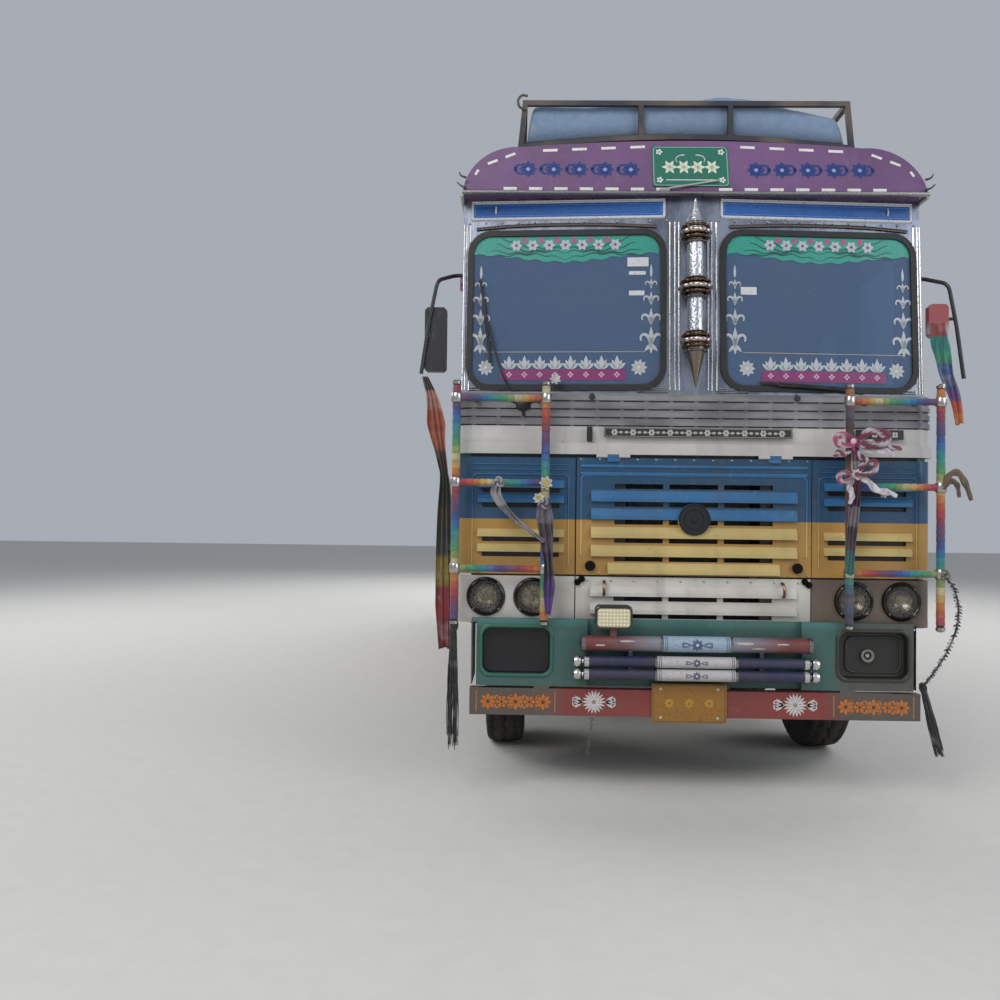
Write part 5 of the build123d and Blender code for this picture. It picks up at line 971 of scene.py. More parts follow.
for side in SIDES:
    sun_band(glass_art, side)
    for k, drop in enumerate((0.016, 0.040, 0.064, 0.088)):
        for hand in SIDES:
            a = np.linspace(PANE_MIDDLE, PANE_MIDDLE + hand * (0.44 - 0.03 * k), 24)
            t = np.abs(a - PANE_MIDDLE) / 0.44
            swag = np.column_stack([side * a, band_foot(a) + drop + 0.018 * np.sin(5 * t + k)])
            glass_art.add(stroke(swag, 0.007 * np.sin(pi * (0.06 + 0.9 * t)), upper, 0.0007), DEEP_GREEN)
    for x in np.linspace(0.42, 0.96, 7):
        flower(glass_art, (side * x, 2.956), 0.033, 6, upper, FILM_WHITE, MAGENTA, width=0.021, thick=0.0010)
    for x in np.linspace(0.465, 0.915, 6):
        flower(glass_art, (side * x, 2.984), 0.018, 5, upper, "b5407a", None, width=0.013, thick=0.0009)
    for x in (0.226, 1.152):
        spray(glass_art, side * x)
    x0, x1 = (0.37, 1.05) if side > 0 else (-1.04, -0.36)
    sheet_on(glass_art, x0, x1, 2.206, 2.266, pane, 0.0010, MAGENTA, 14)
    for x in np.linspace(x0 + 0.048, x1 - 0.048, 8):
        for lean in (-0.95, -0.5, 0.5, 0.95):
            leaf(glass_art, pane, (x, 2.268), pi / 2 + lean, 0.0, 0.058, 0.022, FILM_WHITE)
        leaf(glass_art, upper, (x, 2.268), pi / 2, 0.0, 0.074, 0.027, FILM_WHITE)
        flower(glass_art, (x, 2.237), 0.017, 4, upper, "c9a0bb", None, width=0.012)
    glass_art.add(stroke(line((x0 - 0.10, 2.362), (x1 + 0.10, 2.362), 12), 0.0045, pane), "9b8f88")
    for x in ((0.29, 1.11) if side > 0 else (-1.12, -0.29)):
        flower(glass_art, (x, 2.276), 0.045, 9, pane, FILM_WHITE, "c9c4b8", width=0.021)
for x0, x1, z0, z1 in ((-0.354, -0.24, 2.832, 2.882), (-0.345, -0.255, 2.786, 2.806),
                       (-0.345, -0.262, 2.672, 2.698), (0.258, 0.345, 2.680, 2.722)):
    sheet_on(glass_art, x0, x1, z0, z1, pane, 0.0008, "c3c6c9", 4)
glass_art.make("screen_transfers", decal_paint, "chassis", closed=False)

# Centre spear
spear, spear_rings = Heap(), Heap()
lean = np.array([0, SCREEN_LEAN / SCREEN_TALL, 1.0])
foot = np.array([0, back(-0.046), 2.156])
for low, high in ((0.235, 0.53), (0.55, 0.83)):
    spear.turn([(low, 0), (low, 0.040), (low + 0.03, 0.045), (high - 0.03, 0.045), (high, 0.040), (high, 0)],
               foot, lean, 32)
spear.turn([(0.84, 0), (0.84, 0.062), (0.862, 0.064), (0.90, 0.048), (0.96, 0.024), (1.030, 0.003),
            (1.032, 0)], foot, lean, 32)
spear_rings.turn([(0, 0), (0, 0.004), (0.10, 0.024), (0.185, 0.046), (0.225, 0.058), (0.238, 0.056),
                  (0.24, 0)], foot, lean, 32, "8d7f70")
for at, wide in ((0.244, 0.92), (0.534, 1.0), (0.834, 0.94)):
    for offset, high, r, dye in ((-0.048, 0.016, 0.066, "8f8a8a"), (-0.024, 0.022, 0.078, "6b5546"),
                                 (0.004, 0.030, 0.090, "c3b6ad"), (0.034, 0.022, 0.080, "6a5140"),
                                 (0.054, 0.012, 0.062, "b5b1b3")):
        t = np.linspace(0, pi, 9)
        swell = (r - 0.030 + 0.030 * np.sin(t) ** 0.7) * wide
        profile = np.column_stack([at + offset - high / 2 * np.cos(t), swell])
        profile = np.concatenate([[(profile[0, 0], 0)], profile, [(profile[-1, 0], 0)]])
        depth = np.concatenate([[0], 0.0035 * np.sin(t), [0]])
        spear_rings.add(turned(profile, foot, lean, 72, (14, depth)), dye)
spear_piece = spear.make("screen_spear", beaten_silver, "chassis")
spear_rings.make("screen_spear_rings", small_chrome, "chassis")
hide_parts("spear_ornament")


# Grille, badge and corner panels
grille_art, badge = Heap(), Heap()
badge.turn([(-0.002, 0), (-0.002, 0.083), (0.004, 0.084), (0.008, 0.081), (0.008, 0.077), (0.0045, 0.074),
            (0.0045, 0.057), (0.0075, 0.055), (0.0075, 0.051), (0.0045, 0.049), (0.0045, 0.018),
            (0.009, 0.014), (0.010, 0.0)], (0, back(-0.036), 1.457), AHEAD, 64, "0c0c0d")
badge.make("grille_badge_blank", black_and_shade_enamel, "grille_flap")
for side in SIDES:
    grille_art.turn([(0, 0), (0, 0.026), (0.006, 0.028), (0.022, 0.027), (0.027, 0.022), (0.0275, 0)],
                    (side * 0.547, back(-0.008), 1.206), AHEAD, 24, "2a2426")
for x in np.arange(-0.60, 0.61, 0.10):
    for z, dye in ((1.1665, "a08a58"), (1.7735, "7d98a8")):
        bolts(grille_art, [(x, back(-0.008), z)], AHEAD, 0.0055, 0.004, dye)
grille_art.make("grille_badge_and_catches", small_chrome, "grille_flap")

face_bolts = Heap()
PANEL_Y, PANEL_FOOT = back(-0.002), 0.906
for side in SIDES:
    screws = [(side * x, PANEL_Y, PANEL_FOOT) for x in np.arange(0.70, 1.16, 0.092)]
    bolts(face_bolts, screws, AHEAD, 0.005, 0.004, "98948c")
for x in np.arange(-0.56, 0.57, 0.124):
    bolts(face_bolts, [(x, PANEL_Y, 1.128), (x, PANEL_Y, PANEL_FOOT)], AHEAD, 0.0055, 0.004, "a9a59c")
for side in SIDES:
    for x, z in ((0.590, 1.135), (0.612, 1.118), (0.612, 0.908)):
        face_bolts.turn([(0, 0), (0, 0.016), (0.008, 0.018), (0.015, 0.013), (0.017, 0)],
                        (side * x, PANEL_Y, z), AHEAD, 18, "1a1818")
    hook = smooth_path(behind((side * 0.47, -0.004, 1.125), (side * 0.472, -0.030, 1.118),
                              (side * 0.474, -0.045, 1.085), (side * 0.474, -0.036, 1.058),
                              (side * 0.474, -0.012, 1.055)), 18)
    face_bolts.add(skin(hook, 0.008, 8), "7c5a4a")
face_bolts.make("face_panel_screws", small_chrome, "chassis")


def pressed_bead(heap, path, width, place, proud):
    """A bead pressed out of sheet: half an ellipse of the given width and height along a path."""
    across = sideways(unit(np.gradient(path, axis=0)))
    rows = []
    for a in np.linspace(0, 2 * pi, 12, endpoint=False):
        height = np.full(len(path), max(-0.001, proud * sin(a)))
        rows.append(np.column_stack([path + across * (width / 2 * cos(a)), height]))
    heap.add(place(*np.moveaxis(capped(np.stack(rows)), -1, 0)))


def hoop(x0, x1, z0, z1, radius):
    """A path up one side, round two quarter circles and down the other side."""
    a = np.linspace(0, pi / 2, 9)
    left = np.column_stack([x0 + radius * (1 - np.cos(a)), z1 - radius * (1 - np.sin(a))])
    right = left[::-1] * (-1, 1) + (x0 + x1, 0)
    return np.concatenate([line((x0, z0), left[0], 40)[:-1], left[:-1], line(left[-1], right[0], 40)[:-1],
                           right[:-1], line(right[-1], (x1, z0), 40)])


# Each bead's crest stands just past its paint's proud line, so the crest takes the lighter copy of the paint:
# a painted highlight.
flap_beads, corner_beads = Heap(), Heap()
pressed_bead(flap_beads, hoop(-0.598, 0.598, 1.262, 1.690, 0.026), 0.014, front(0.0076), 0.0042)
for side in SIDES:
    for z in (1.744, 1.716):
        pressed_bead(corner_beads, line((side * 0.668, z), (side * 1.176, z), 20), 0.009, front(0.0), 0.0045)
    x0, x1 = sorted((side * 0.664, side * 1.178))
    pressed_bead(corner_beads, hoop(x0, x1, 1.205, 1.690, 0.026), 0.013, front(0.0), 0.0043)
flap_beads.make("grille_flap_pressings", paint_grille, "grille_flap")
corner_beads.make("corner_panel_pressings", paint_corner, "chassis")

# Name band
bars = Heap()
BAR_LOW, BAR_HIGH, BAR_MIDDLE, BAR_PROUD = 1.893, 1.944, 1.9185, 0.020
bar_top = front(BAR_PROUD + 0.004)
for x0, x1, steps in ((-0.480, 0.516, 10), (0.850, 1.100, 4)):
    sheet_on(bars, x0, x1, BAR_LOW, BAR_HIGH, front(BAR_PROUD), 0.004, "262428", steps)
rim(bars, loop_path(-0.476, 0.512, 1.897, 1.940, 0.008), bar_top, 0.004, 0.0012, "87847f")
for x in np.linspace(-0.425, 0.461, 10):
    flower(bars, (x, BAR_MIDDLE), 0.019, 6, bar_top, "b5b3b0", None, width=0.014)
for x in np.linspace(-0.376, 0.412, 9):
    for hand in SIDES:
        leaf(bars, bar_top, (x, BAR_MIDDLE), pi * (hand < 0), 0.004, 0.028, 0.014, "a3a19e")
for x in np.linspace(0.895, 1.055, 4):
    flower(bars, (x, BAR_MIDDLE), 0.018, 4, bar_top, "b5b3b0", None, width=0.015, turn=pi / 4)
bars.add(slab((-0.572, back(-0.030), 1.866), (-0.542, back(-0.020), 1.946), 0.003), "1a1a1b")
bars.make("name_bars_blank", sign_paint, "chassis")

horns = Heap()
for side, x in ((-1, 0.91), (1, 0.90)):
    horns.turn([(0, 0), (0, 0.046), (0.012, 0.048), (0.020, 0.040), (0.034, 0.034), (0.040, 0.018),
                (0.042, 0)], (side * x, back(0.040), 2.086), AHEAD, 24, "1b1b1c")
    horns.turn([(0, 0), (0, 0.024), (0.02, 0.024), (0.03, 0.017), (0.05, 0.015), (0.052, 0)],
               (side * 0.545, back(0.030), 2.108), AHEAD, 18, "242324")
foot_at = np.array([-0.912, back(-0.004), 2.060])
horns.add(pebble(foot_at, (0.040, 0.020, 0.026), 0.7), "1b1b1c")
for tip in ((-0.072, -0.006, 0.028), (0.066, -0.004, 0.034), (0.004, -0.008, -0.062), (0.030, -0.006, 0.046)):
    ear = smooth_path([foot_at, foot_at + 0.55 * np.array(tip), foot_at + np.array(tip)], 10)
    horns.add(skin(ear, 0.017 * np.linspace(1, 0.35, 10), 8), "222224")
horns.make("wiper_spindles_and_jets", black_paint, "chassis")

wiper = Heap()
for arm, blade in ((smooth_path([(-0.93, 2.10), (-1.02, 2.22), (-1.085, 2.42), (-1.12, 2.54)], 20),
                    smooth_path([(-1.095, 2.30), (-1.115, 2.50), (-1.155, 2.76)], 20)),
                   (smooth_path([(0.93, 2.10), (0.88, 2.150), (0.66, 2.172), (0.45, 2.182)], 20),
                    line((0.86, 2.170), (0.36, 2.196), 20))):
    wiper.add(skin(screen(0.030)(*arm.T, 0.0), 0.006, 8), "1d1d1e")
    wiper.add(skin(screen(0.016)(*blade.T, 0.0), 0.0065, 6, 1.6), "151516")
    wiper.add(skin(screen(0.022)(*blade[[4, 10, 15]].T, 0.0), 0.009, 6), "2b2b2c")
wiper.make("wiper_arms", black_paint, "chassis")

# Headlamps
lamps, lenses = Heap(), Heap()
LAMP_Z, LENS_RADIUS, FLUTE_PITCH = 1.036, 0.083, 0.0140
for side in SIDES:
    for x in (0.850, 1.100):
        at = (side * x, back(0.0), LAMP_Z)
        lamps.turn([(-0.010, 0.062), (-0.012, 0.100), (0.004, 0.104), (0.014, 0.099), (0.018, 0.090),
                    (0.014, 0.085), (0.002, 0.084), (-0.010, 0.062)], at, AHEAD, 48, "3a3837")
        lamps.turn([(-0.060, 0.0), (-0.058, 0.020), (-0.040, 0.052), (-0.002, 0.0835), (-0.004, 0.0845),
                    (-0.044, 0.054), (-0.064, 0.020), (-0.066, 0.0)], at, AHEAD, 48, "d9d7d2")
        lamps.turn([(-0.058, 0.0), (-0.056, 0.010), (-0.030, 0.011), (-0.022, 0.006), (-0.021, 0)], at, AHEAD,
                   16, "e6dfc8")
        r = np.linspace(0, LENS_RADIUS, 22)
        dome = 0.013 + 0.012 * (1 - (r / LENS_RADIUS) ** 2)
        shell = turned(np.column_stack([dome, r]), at, AHEAD, 64)
        shell[..., 1] += 0.0010 * np.cos((shell[..., 0] - at[0]) * 2 * pi / FLUTE_PITCH) * (r < 0.078)[None]
        inner = turned(np.column_stack([dome - 0.003, r])[::-1], at, AHEAD, 64)
        lenses.add(np.concatenate([shell, inner], 1), "dfe3e6")
        screws = [(side * x + 0.094 * cos(a), back(-0.012), LAMP_Z + 0.094 * sin(a))
                  for a in (0.8, 2.35, 3.93, 5.5)]
        bolts(lamps, screws, AHEAD, 0.006, 0.006, "7f7d7a")
lamp_rings = lamps.make("headlamp_rings_and_bowls", small_chrome, "chassis")
lenses.make("headlamp_lenses", lamp_lens, "chassis")
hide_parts("headlamps")

# Bumper
bumper_art = Heap()
RAIL_PROUD, SILVER_PAINT, RUST_PAINT = 0.060, "c4bfbc", "b5692c"
rail_face = front(RAIL_PROUD)
for x in (-0.523, 0.528):
    z = 0.494
    flower(bumper_art, (x, z), 0.062, 18, rail_face, SILVER_PAINT, "8f8784", width=0.011, inner=0.36)
    flower(bumper_art, (x, z), 0.034, 12, front(RAIL_PROUD + 0.0012), "d4d0cc", None, width=0.008, inner=0.30)
    for hand in SIDES:
        for rise in SIDES:
            scroll(bumper_art, rail_face, (x + hand * 0.060, z), pi * (hand < 0) + hand * rise * 0.5, 0.150,
                   0.80, -hand * rise, 0.0085, (1.1, 0.5), SILVER_PAINT)
        for lean in (-0.7, 0.0, 0.7):
            leaf(bumper_art, rail_face, (x + hand * 0.062, z), pi * (hand < 0) + lean, 0.0, 0.050, 0.014,
                 SILVER_PAINT)
for side in SIDES:
    z = 0.489
    for k, x in enumerate(np.linspace(0.79, 1.08, 5)):
        radius, petals, width = (0.034, 6, 0.024) if k % 2 else (0.044, 8, 0.020)
        flower(bumper_art, (side * x, z), radius, petals, rail_face, RUST_PAINT, "54382c", width=width)
    for x in np.linspace(0.826, 1.044, 4):
        for rise in SIDES:
            scroll(bumper_art, rail_face, (side * x, z + rise * 0.012), rise * pi / 2, 0.060, 0.6,
                   side * rise, 0.011, (1.1, 0.5), RUST_PAINT)
    for x in (0.728, 1.142):
        bumper_art.add(stroke(line((side * x, 0.435), (side * x, 0.545)), 0.007, rail_face), "9c6a3c")
bumper_art.make("bumper_rail_scrolls", sign_paint, "chassis")

chain = Heap()
WIRE_RADIUS, LINK_RADIUS = 0.0019, 0.0078
a = np.linspace(0, 2 * pi, 8, endpoint=False)
wire_round = np.column_stack([WIRE_RADIUS * np.sin(a), LINK_RADIUS + WIRE_RADIUS * np.cos(a)])
for k in range(15):
    spot = (-0.530 - 0.0016 * k, back(-0.036), 0.398 - 0.0128 * k)
    chain.add(turned(wire_round, spot, (k % 2, 1 - k % 2, 0), 14), "6d6a66", along=True)
chain.make("rail_chain", small_chrome, "chassis")

plate = Heap()
PLATE_PROUD = 0.068
plate_face = front(PLATE_PROUD)
plate.add(slab((-0.222, back(-PLATE_PROUD), 0.393), (0.170, back(-0.060), 0.597), 0.003), "8f6424")
rim(plate, loop_path(-0.214, 0.162, 0.401, 0.589, 0.012), plate_face, 0.006, 0.002, "6f5a34")
bolts(plate, [(x, back(-PLATE_PROUD), z) for x in (-0.175, 0.123) for z in (0.570, 0.420)], AHEAD, 0.008,
      0.004, "b6b2a8")
for z in (0.548, 0.444):
    plate.add(stroke(line((-0.175, z), (0.123, z)), 0.004, plate_face), "8a6a34")
for x in (-0.13, -0.026, 0.078):
    flower(plate, (x, 0.496), 0.026, 8, plate_face, "b98a34", "8a5a30", width=0.013)
plate.make("number_plate_blank", sign_paint, "chassis")

# Guard tubes, work lamp and the fascia's pockets
guard_goods, sleeves = Heap(), Heap()
TUBE_Y = back(-0.111)
UPPER_TUBE, LOWER_TUBES = (0.810, 0.039), ((0.716, 0.028), (0.649, 0.028))


def tube_top(z, radius):
    """Wraps flat work (x, height, lift) round a tube: an arc length v above the tube's foremost
    line becomes the angle v / radius."""
    def place(u, v, w):
        """The flat place turned about the tube's axis."""
        return points(u, TUBE_Y - (radius + w) * np.cos(v / radius), z + (radius + w) * np.sin(v / radius))
    return place


for (z, r), half, dye, art in (
        (LOWER_TUBES[0], 0.205, "b4b0b0", "5c5f72"), (LOWER_TUBES[1], 0.205, "b4b0b0", "5c5f72"),
        (UPPER_TUBE, 0.175, "93a4b6", "4d5b78")):
    sleeve = r + 0.0025
    sleeves.turn([(-half, 0), (-half, r), (-half + 0.003, sleeve), (half - 0.003, sleeve), (half, r),
                  (half, 0)], (0, TUBE_Y, z), (1, 0, 0), 40, dye)
    on_sleeve = tube_top(z, sleeve)
    flower(sleeves, (0, 0), r * 0.85, 8, on_sleeve, art, "d4cfc8", width=r * 0.42, thick=0.0010)
    for hand in SIDES:
        for rise in SIDES:
            scroll(sleeves, on_sleeve, (hand * r * 0.9, 0), pi * (hand < 0) + hand * rise * 0.6, r * 3.0,
                   0.75, -hand * rise, r * 0.16, (1.1, 0.4), art, 0.0010)
        for x in (half - 0.012, half - 0.022):
            ends = line((hand * x, -r * 1.3), (hand * x, r * 1.3), 9)
            sleeves.add(stroke(ends, 0.0035, on_sleeve, 0.0010), art)
        guard_goods.turn([(-0.006, 0), (-0.006, r + 0.004), (0.006, r + 0.004), (0.006, 0)],
                         (hand * (half + 0.004), TUBE_Y, z), (1, 0, 0), 32, "8f8d90")
worn = tube_top(*UPPER_TUBE)
for x, v, long, wide in ((0.245, 0.012, 0.085, 0.014), (0.44, 0.010, 0.060, 0.008),
                         (-0.36, 0.016, 0.075, 0.009), (-0.50, -0.006, 0.050, 0.010),
                         (0.315, -0.014, 0.070, 0.008)):
    run = line((x - long / 2, v), (x + long / 2, v), 12)
    sleeves.add(stroke(run, wide * np.sin(pi * np.linspace(0.06, 0.94, 12)) ** 0.5, worn, 0.0006), "b3aaa8")
for side in SIDES:
    for z, r in LOWER_TUBES:
        guard_goods.turn([(-0.024, 0), (-0.024, r + 0.003), (0.0, r + 0.003), (0.004, 0.014), (0.012, 0.013),
                          (0.020, 0.026), (0.036, 0.031), (0.052, 0.025), (0.060, 0.010), (0.062, 0)],
                         (side * 0.580, TUBE_Y, z), (side, 0, 0), 28, "d8d6d2")
    guard_goods.turn([(-0.016, 0), (-0.016, 0.0415), (0.006, 0.0415), (0.012, 0.030), (0.014, 0)],
                     (side * 0.590, TUBE_Y, UPPER_TUBE[0]), (side, 0, 0), 32, "8b8587")
sleeves.make("guard_tube_sleeves", sign_paint, "chassis")
guard_goods.make("guard_tube_collars", small_chrome, "chassis")

work_lamp = Heap()
lamp_x, lamp_y, lamp_z = -0.430, back(-0.141), 0.944
lamp_box = (lamp_x - 0.096, lamp_x + 0.096, lamp_z - 0.059, lamp_z + 0.059)
frame_loops = nested(lamp_box, 0.026, 1, lamp_y,
                     ((0.0, -0.006), (0.0, 0.003), (0.004, 0.006), (0.009, 0.006), (0.012, 0.001)))
work_lamp.add(np.stack(frame_loops, 1), "1f201f")
pane_loops = nested(lamp_box, 0.026, 0.45, lamp_y,
                    ((0.010, -0.004), (0.010, 0.002), (0.014, 0.004), (0.030, 0.006), (0.056, 0.007)))
pane_loops.append(np.broadcast_to([lamp_x, lamp_y - 0.007, lamp_z], pane_loops[0].shape))
work_lamp.add(np.stack(pane_loops, 1), "c9c09a")
spots = [(lamp_x + u, lamp_y - 0.005, lamp_z + v) for u in np.linspace(-0.072, 0.072, 9)
         for v in np.linspace(-0.036, 0.036, 5)]
bolts(work_lamp, spots, AHEAD, 0.0072, 0.005, "e3dcc0", 8)
work_lamp.make("work_lamp_lens", amber_lens, "chassis", closed=False)

# The pockets are lined in near black, painted shade in their depth; the right one also holds an old fog lamp.
pocket_rims, pocket_shade_and_fog_lamp = Heap(), Heap()
FASCIA_Y, POCKET_DEPTH = back(-0.060), 0.0448
for side, rim_dye, shade_dye in ((-1, "2f6152", "0c0c0e"), (1, "37352f", "1d1c1b")):
    x0, x1 = sorted((side * 0.757, side * 1.112))
    pocket = (x0, x1, 0.638, 0.877)
    bezel = nested(pocket, 0.045, 0.6, FASCIA_Y, ((-0.020, -0.001), (-0.019, 0.004), (-0.013, 0.009),
                                                  (-0.006, 0.009), (-0.001, 0.005), (0.002, -0.004)))
    pocket_rims.add(np.stack(bezel, 1), rim_dye)
    inside = nested(pocket, 0.045, 0.6, FASCIA_Y, ((0.001, 0.000), (0.004, -0.018), (0.007, -0.040),
                                                   (0.030, -0.0445), (0.100, -POCKET_DEPTH)), 0.006)
    inside.append(np.broadcast_to([(x0 + x1) / 2, FASCIA_Y + POCKET_DEPTH, 0.7575], inside[0].shape))
    pocket_shade_and_fog_lamp.add(np.stack(inside, 1), shade_dye)
fog = (0.915, back(-0.020), 0.752)
pocket_shade_and_fog_lamp.turn([(0, 0.030), (0.002, 0.034), (0.010, 0.035), (0.014, 0.030), (0.010, 0.022), (0.004, 0.020),
                  (0, 0.030)], fog, AHEAD, 28, "77746e")
pocket_shade_and_fog_lamp.turn([(0, 0), (0, 0.012), (0.006, 0.011), (0.010, 0.005), (0.011, 0)], fog, AHEAD, 16, "8f8c86")
rim(pocket_shade_and_fog_lamp, loop_path(0.802, 1.085, 0.666, 0.850, 0.040), front(0.018), 0.010, 0.008, "3a3834")
pocket_rims.make("pocket_bezels", sign_paint, "chassis", closed=False)
pocket_shade_and_fog_lamp.make("pocket_shade_linings", black_and_shade_enamel, "chassis", closed=False)


# Guard pipes in wrapped tape
BANDS = ["4a3a6a", "5f3a62", "7d2f48", "98323c", "a8482e", "b36b34", "b3924e", "b5aa84", "7f8f52", "3f8458",
         "23806e", "1c7a86", "23608f", "2c4586"]


def wrapped(heap, path, radius, start, pitch, order=1, bands=BANDS):
    """Tape wound round a pipe: one short sleeve for each band of colour, each a little cone so
    that every turn laps the next."""
    length = np.concatenate([[0], np.cumsum(np.linalg.norm(np.diff(path, axis=0), axis=1))])
    count = max(1, int(round(length[-1] / pitch)))
    lap = 0.0016 * np.linspace(1.2, 0.0, 7)
    for k in range(count):
        s = np.linspace(k, k + 1.02, 7) / count * length[-1]
        at = np.stack([np.interp(s, length, path[:, i]) for i in range(3)], 1)
        swell = radius + 0.0022 + lap + 0.0006 * sin(k * 2.3)
        heap.add(skin(at, swell, 12), bands[(start + order * k) % len(bands)])


DIM_BANDS = ["3f3b55", "3a3f58", "3d3a52", "35586a", "2b7a66", "2f7f5a", "35705a", "46504c", "5c3340",
             "6a2c3e", "5a2a3a", "4c2c3a", "583442", "6b3a40", "573a38", "7a4a3c", "5e4038", "4b3835",
             "6a463c", "463632", "3a302e", "4c3a52", "7d2f48", "8a5a3a"]

PIPE_Y, PIPES, PIPE_BARS = back(-0.100), (0.792, 1.262), (2.085, 1.640, 1.190)
wraps = Heap()
for x, start, pitch, bands in ((-0.792, 5, 0.040, BANDS), (-1.262, 0, 0.040, BANDS),
                               (0.792, 0, 0.051, DIM_BANDS), (1.262, 3, 0.040, BANDS)):
    wrapped(wraps, line((x, PIPE_Y, 0.925), (x, PIPE_Y, 2.150), 40), 0.0185, start, pitch, bands=bands)
for side in SIDES:
    for z, start, order in zip(PIPE_BARS, (1, 3, 8), (-1, 1, 1)):
        bar = line((side * 1.238, PIPE_Y, z), (side * 0.814, PIPE_Y, z), 12)
        wrapped(wraps, bar, 0.0150, start, 0.036, order)
wraps.make("guard_pipe_tape_wraps", satin_tape, "chassis", angle=60)

caps = Heap()
for side in SIDES:
    for x in PIPES:
        for z, up in ((2.170, 1), (0.900, -1)):
            caps.turn([(-0.012, 0), (-0.010, 0.023), (0.004, 0.024), (0.012, 0.016), (0.016, 0.0)],
                      (side * x, PIPE_Y, z - up * 0.004), (0, 0, up), 18, "b4b0a8")
        for z in PIPE_BARS:
            caps.turn([(-0.024, 0), (-0.024, 0.026), (-0.018, 0.029), (0.018, 0.029), (0.024, 0.026),
                       (0.024, 0)], (side * x, PIPE_Y, z), UP, 20, "b9b6b2")
caps.make("guard_pipe_end_caps", small_chrome, "chassis")


def thicken(piece, depth):
    """Gives a cloth surface its thickness, half to each side."""
    solid = piece.modifiers.new("cloth_thickness", "SOLIDIFY")
    solid.thickness, solid.offset = depth, 0.0


def hung_cloth(name, hanging, width, folds, depth, codes, rests_on, seed):
    """A gathered strip: path(s) + x half width x t - y depth x sin(pi x folds x t + s), where t
    runs across it from -1 to 1 and the folds wander along s; its bands of colour follow s."""
    count = 70
    path = smooth_path(behind(*hanging), count)
    s = np.linspace(0, 1, count)[:, None]
    t = np.linspace(-1, 1, 64)[None]
    wide = np.interp(s[:, 0], np.linspace(0, 1, len(width)), width)[:, None]
    deep = depth * (0.45 + 0.55 * np.sin(pi * np.clip(s * 1.1, 0, 1)))
    wander = seed + 2.2 * np.sin(3.1 * s + seed) + 1.3 * s * folds
    wave = np.sin(pi * folds * t + wander) + 0.35 * np.sin(2.3 * pi * folds * t + 5 * s + seed)
    slide = 0.22 * np.sin(2 * pi * folds * t * 0.5 + wander * 1.4) * wide / folds
    grid = path[:, None] + points(wide / 2 * t + slide, -deep * wave, 0.0)
    grid[..., 2] += 0.006 * np.sin(7 * s + 3 * t + seed) * s
    colours = np.array([tint(code)[:3] for code in codes])
    band = np.clip(((s + 0 * t) * len(codes)).astype(int), 0, len(codes) - 1)
    piece = Heap().add(grid, colours[band], around=False).make(name, ribbon_cloth, "chassis", angle=80,
                                                               closed=False)
    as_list(rests_on)
    thicken(piece, 0.0016)


def tassel(heap, top, bottom, radius, strands, dyes, seed):
    """A bundle of threads: each leaves the knot at its own angle, bows out and hangs to the foot."""
    top, bottom = np.asarray(top, float), np.asarray(bottom, float)
    rng = np.random.default_rng(seed)
    drop = bottom - top
    t = np.linspace(0, 1, 9)[:, None]
    strand_depth = np.array([0, 2, 2, 2, 1, 0]) * 0.001
    heap.add(turned([(-0.02, 0), (-0.015, radius * 0.55), (0.01, radius * 0.85), (0.03, radius * 0.7),
                     (0.04, radius * 0.45), (0.045, 0)], top, drop, 14, (7, strand_depth)), dyes[0])
    heap.turn([(-0.008, 0), (-0.008, radius * 0.62), (0.008, radius * 0.62), (0.008, 0)], top + drop * 0.10,
              drop, 14, dyes[-1])
    for k in range(strands):
        a = rng.uniform(0, 2 * pi)
        r = radius * rng.uniform(0.25, 1.0) ** 0.5
        out = np.array([cos(a), sin(a) * 0.8, 0]) * r
        bow = np.sin(pi * np.clip(t * 0.9, 0, 1)) * 0.35 + 0.55 * t
        sway = 0.004 * np.sin(6 * t + k) * (1, 0.5, 0)
        path = top + drop * t * rng.uniform(0.86, 1.0) + out * (0.35 + bow) + sway
        share = int(k / strands * len(dyes))
        heap.add(skin(path, 0.0032 * (1 - 0.5 * t[:, 0]), 4), dyes[share])


def knot(heap, centre, size, dye, seed=0):
    """A tied knot: a rounded loop that crosses itself, its radius size (0.62 + 0.30 cos 3a)."""
    a = np.linspace(0, 2 * pi, 60)
    r = size * (0.62 + 0.30 * np.cos(3 * a + seed))
    path = points(r * np.cos(2 * a), 0.5 * size * np.sin(3 * a + seed), r * np.sin(2 * a))
    heap.add(skin(np.asarray(centre) + path, size * 0.26, 8, 0.7), dye)


def bloom(heap, centre, size, outer, inner, petals=7, layers=3):
    """A cloth flower that looks ahead: rings of cupped petals, each a grid whose width goes as a
    sine and whose lift grows with the square of its reach, round a button."""
    centre, facing = np.asarray(centre, float), np.array(AHEAD, float)
    side = unit(np.cross(facing, UP))
    rise = np.cross(side, facing)
    s = np.linspace(0, 1, 6)[:, None]
    t = np.linspace(-1, 1, 5)[None]
    for ring in range(layers):
        reach = size * (1 - 0.27 * ring)
        wide = reach * 1.7 / petals * np.sin(pi * np.clip(0.12 + 0.88 * s, 0, 1)) ** 0.7 + 0.002
        lift = 0.12 * size * ring + reach * (0.10 + 0.30 * ring / layers) * s ** 2 + 0.10 * reach * t ** 2
        out, wide, lift = (v[..., None] for v in (reach * s, wide * t, lift))
        for k in range(petals):
            a = 2 * pi * (k + 0.5 * ring) / petals
            along = cos(a) * side + sin(a) * rise
            across = -sin(a) * side + cos(a) * rise
            up = centre + out * along + wide * across + lift * facing
            heap.add(np.concatenate([up, up[::-1] - 0.0012 * facing]), outer if ring < layers - 1 else inner)
    heap.add(pebble(centre + facing * 0.2 * size, np.full(3, 0.2 * size), 0.9, 10, 7), inner)


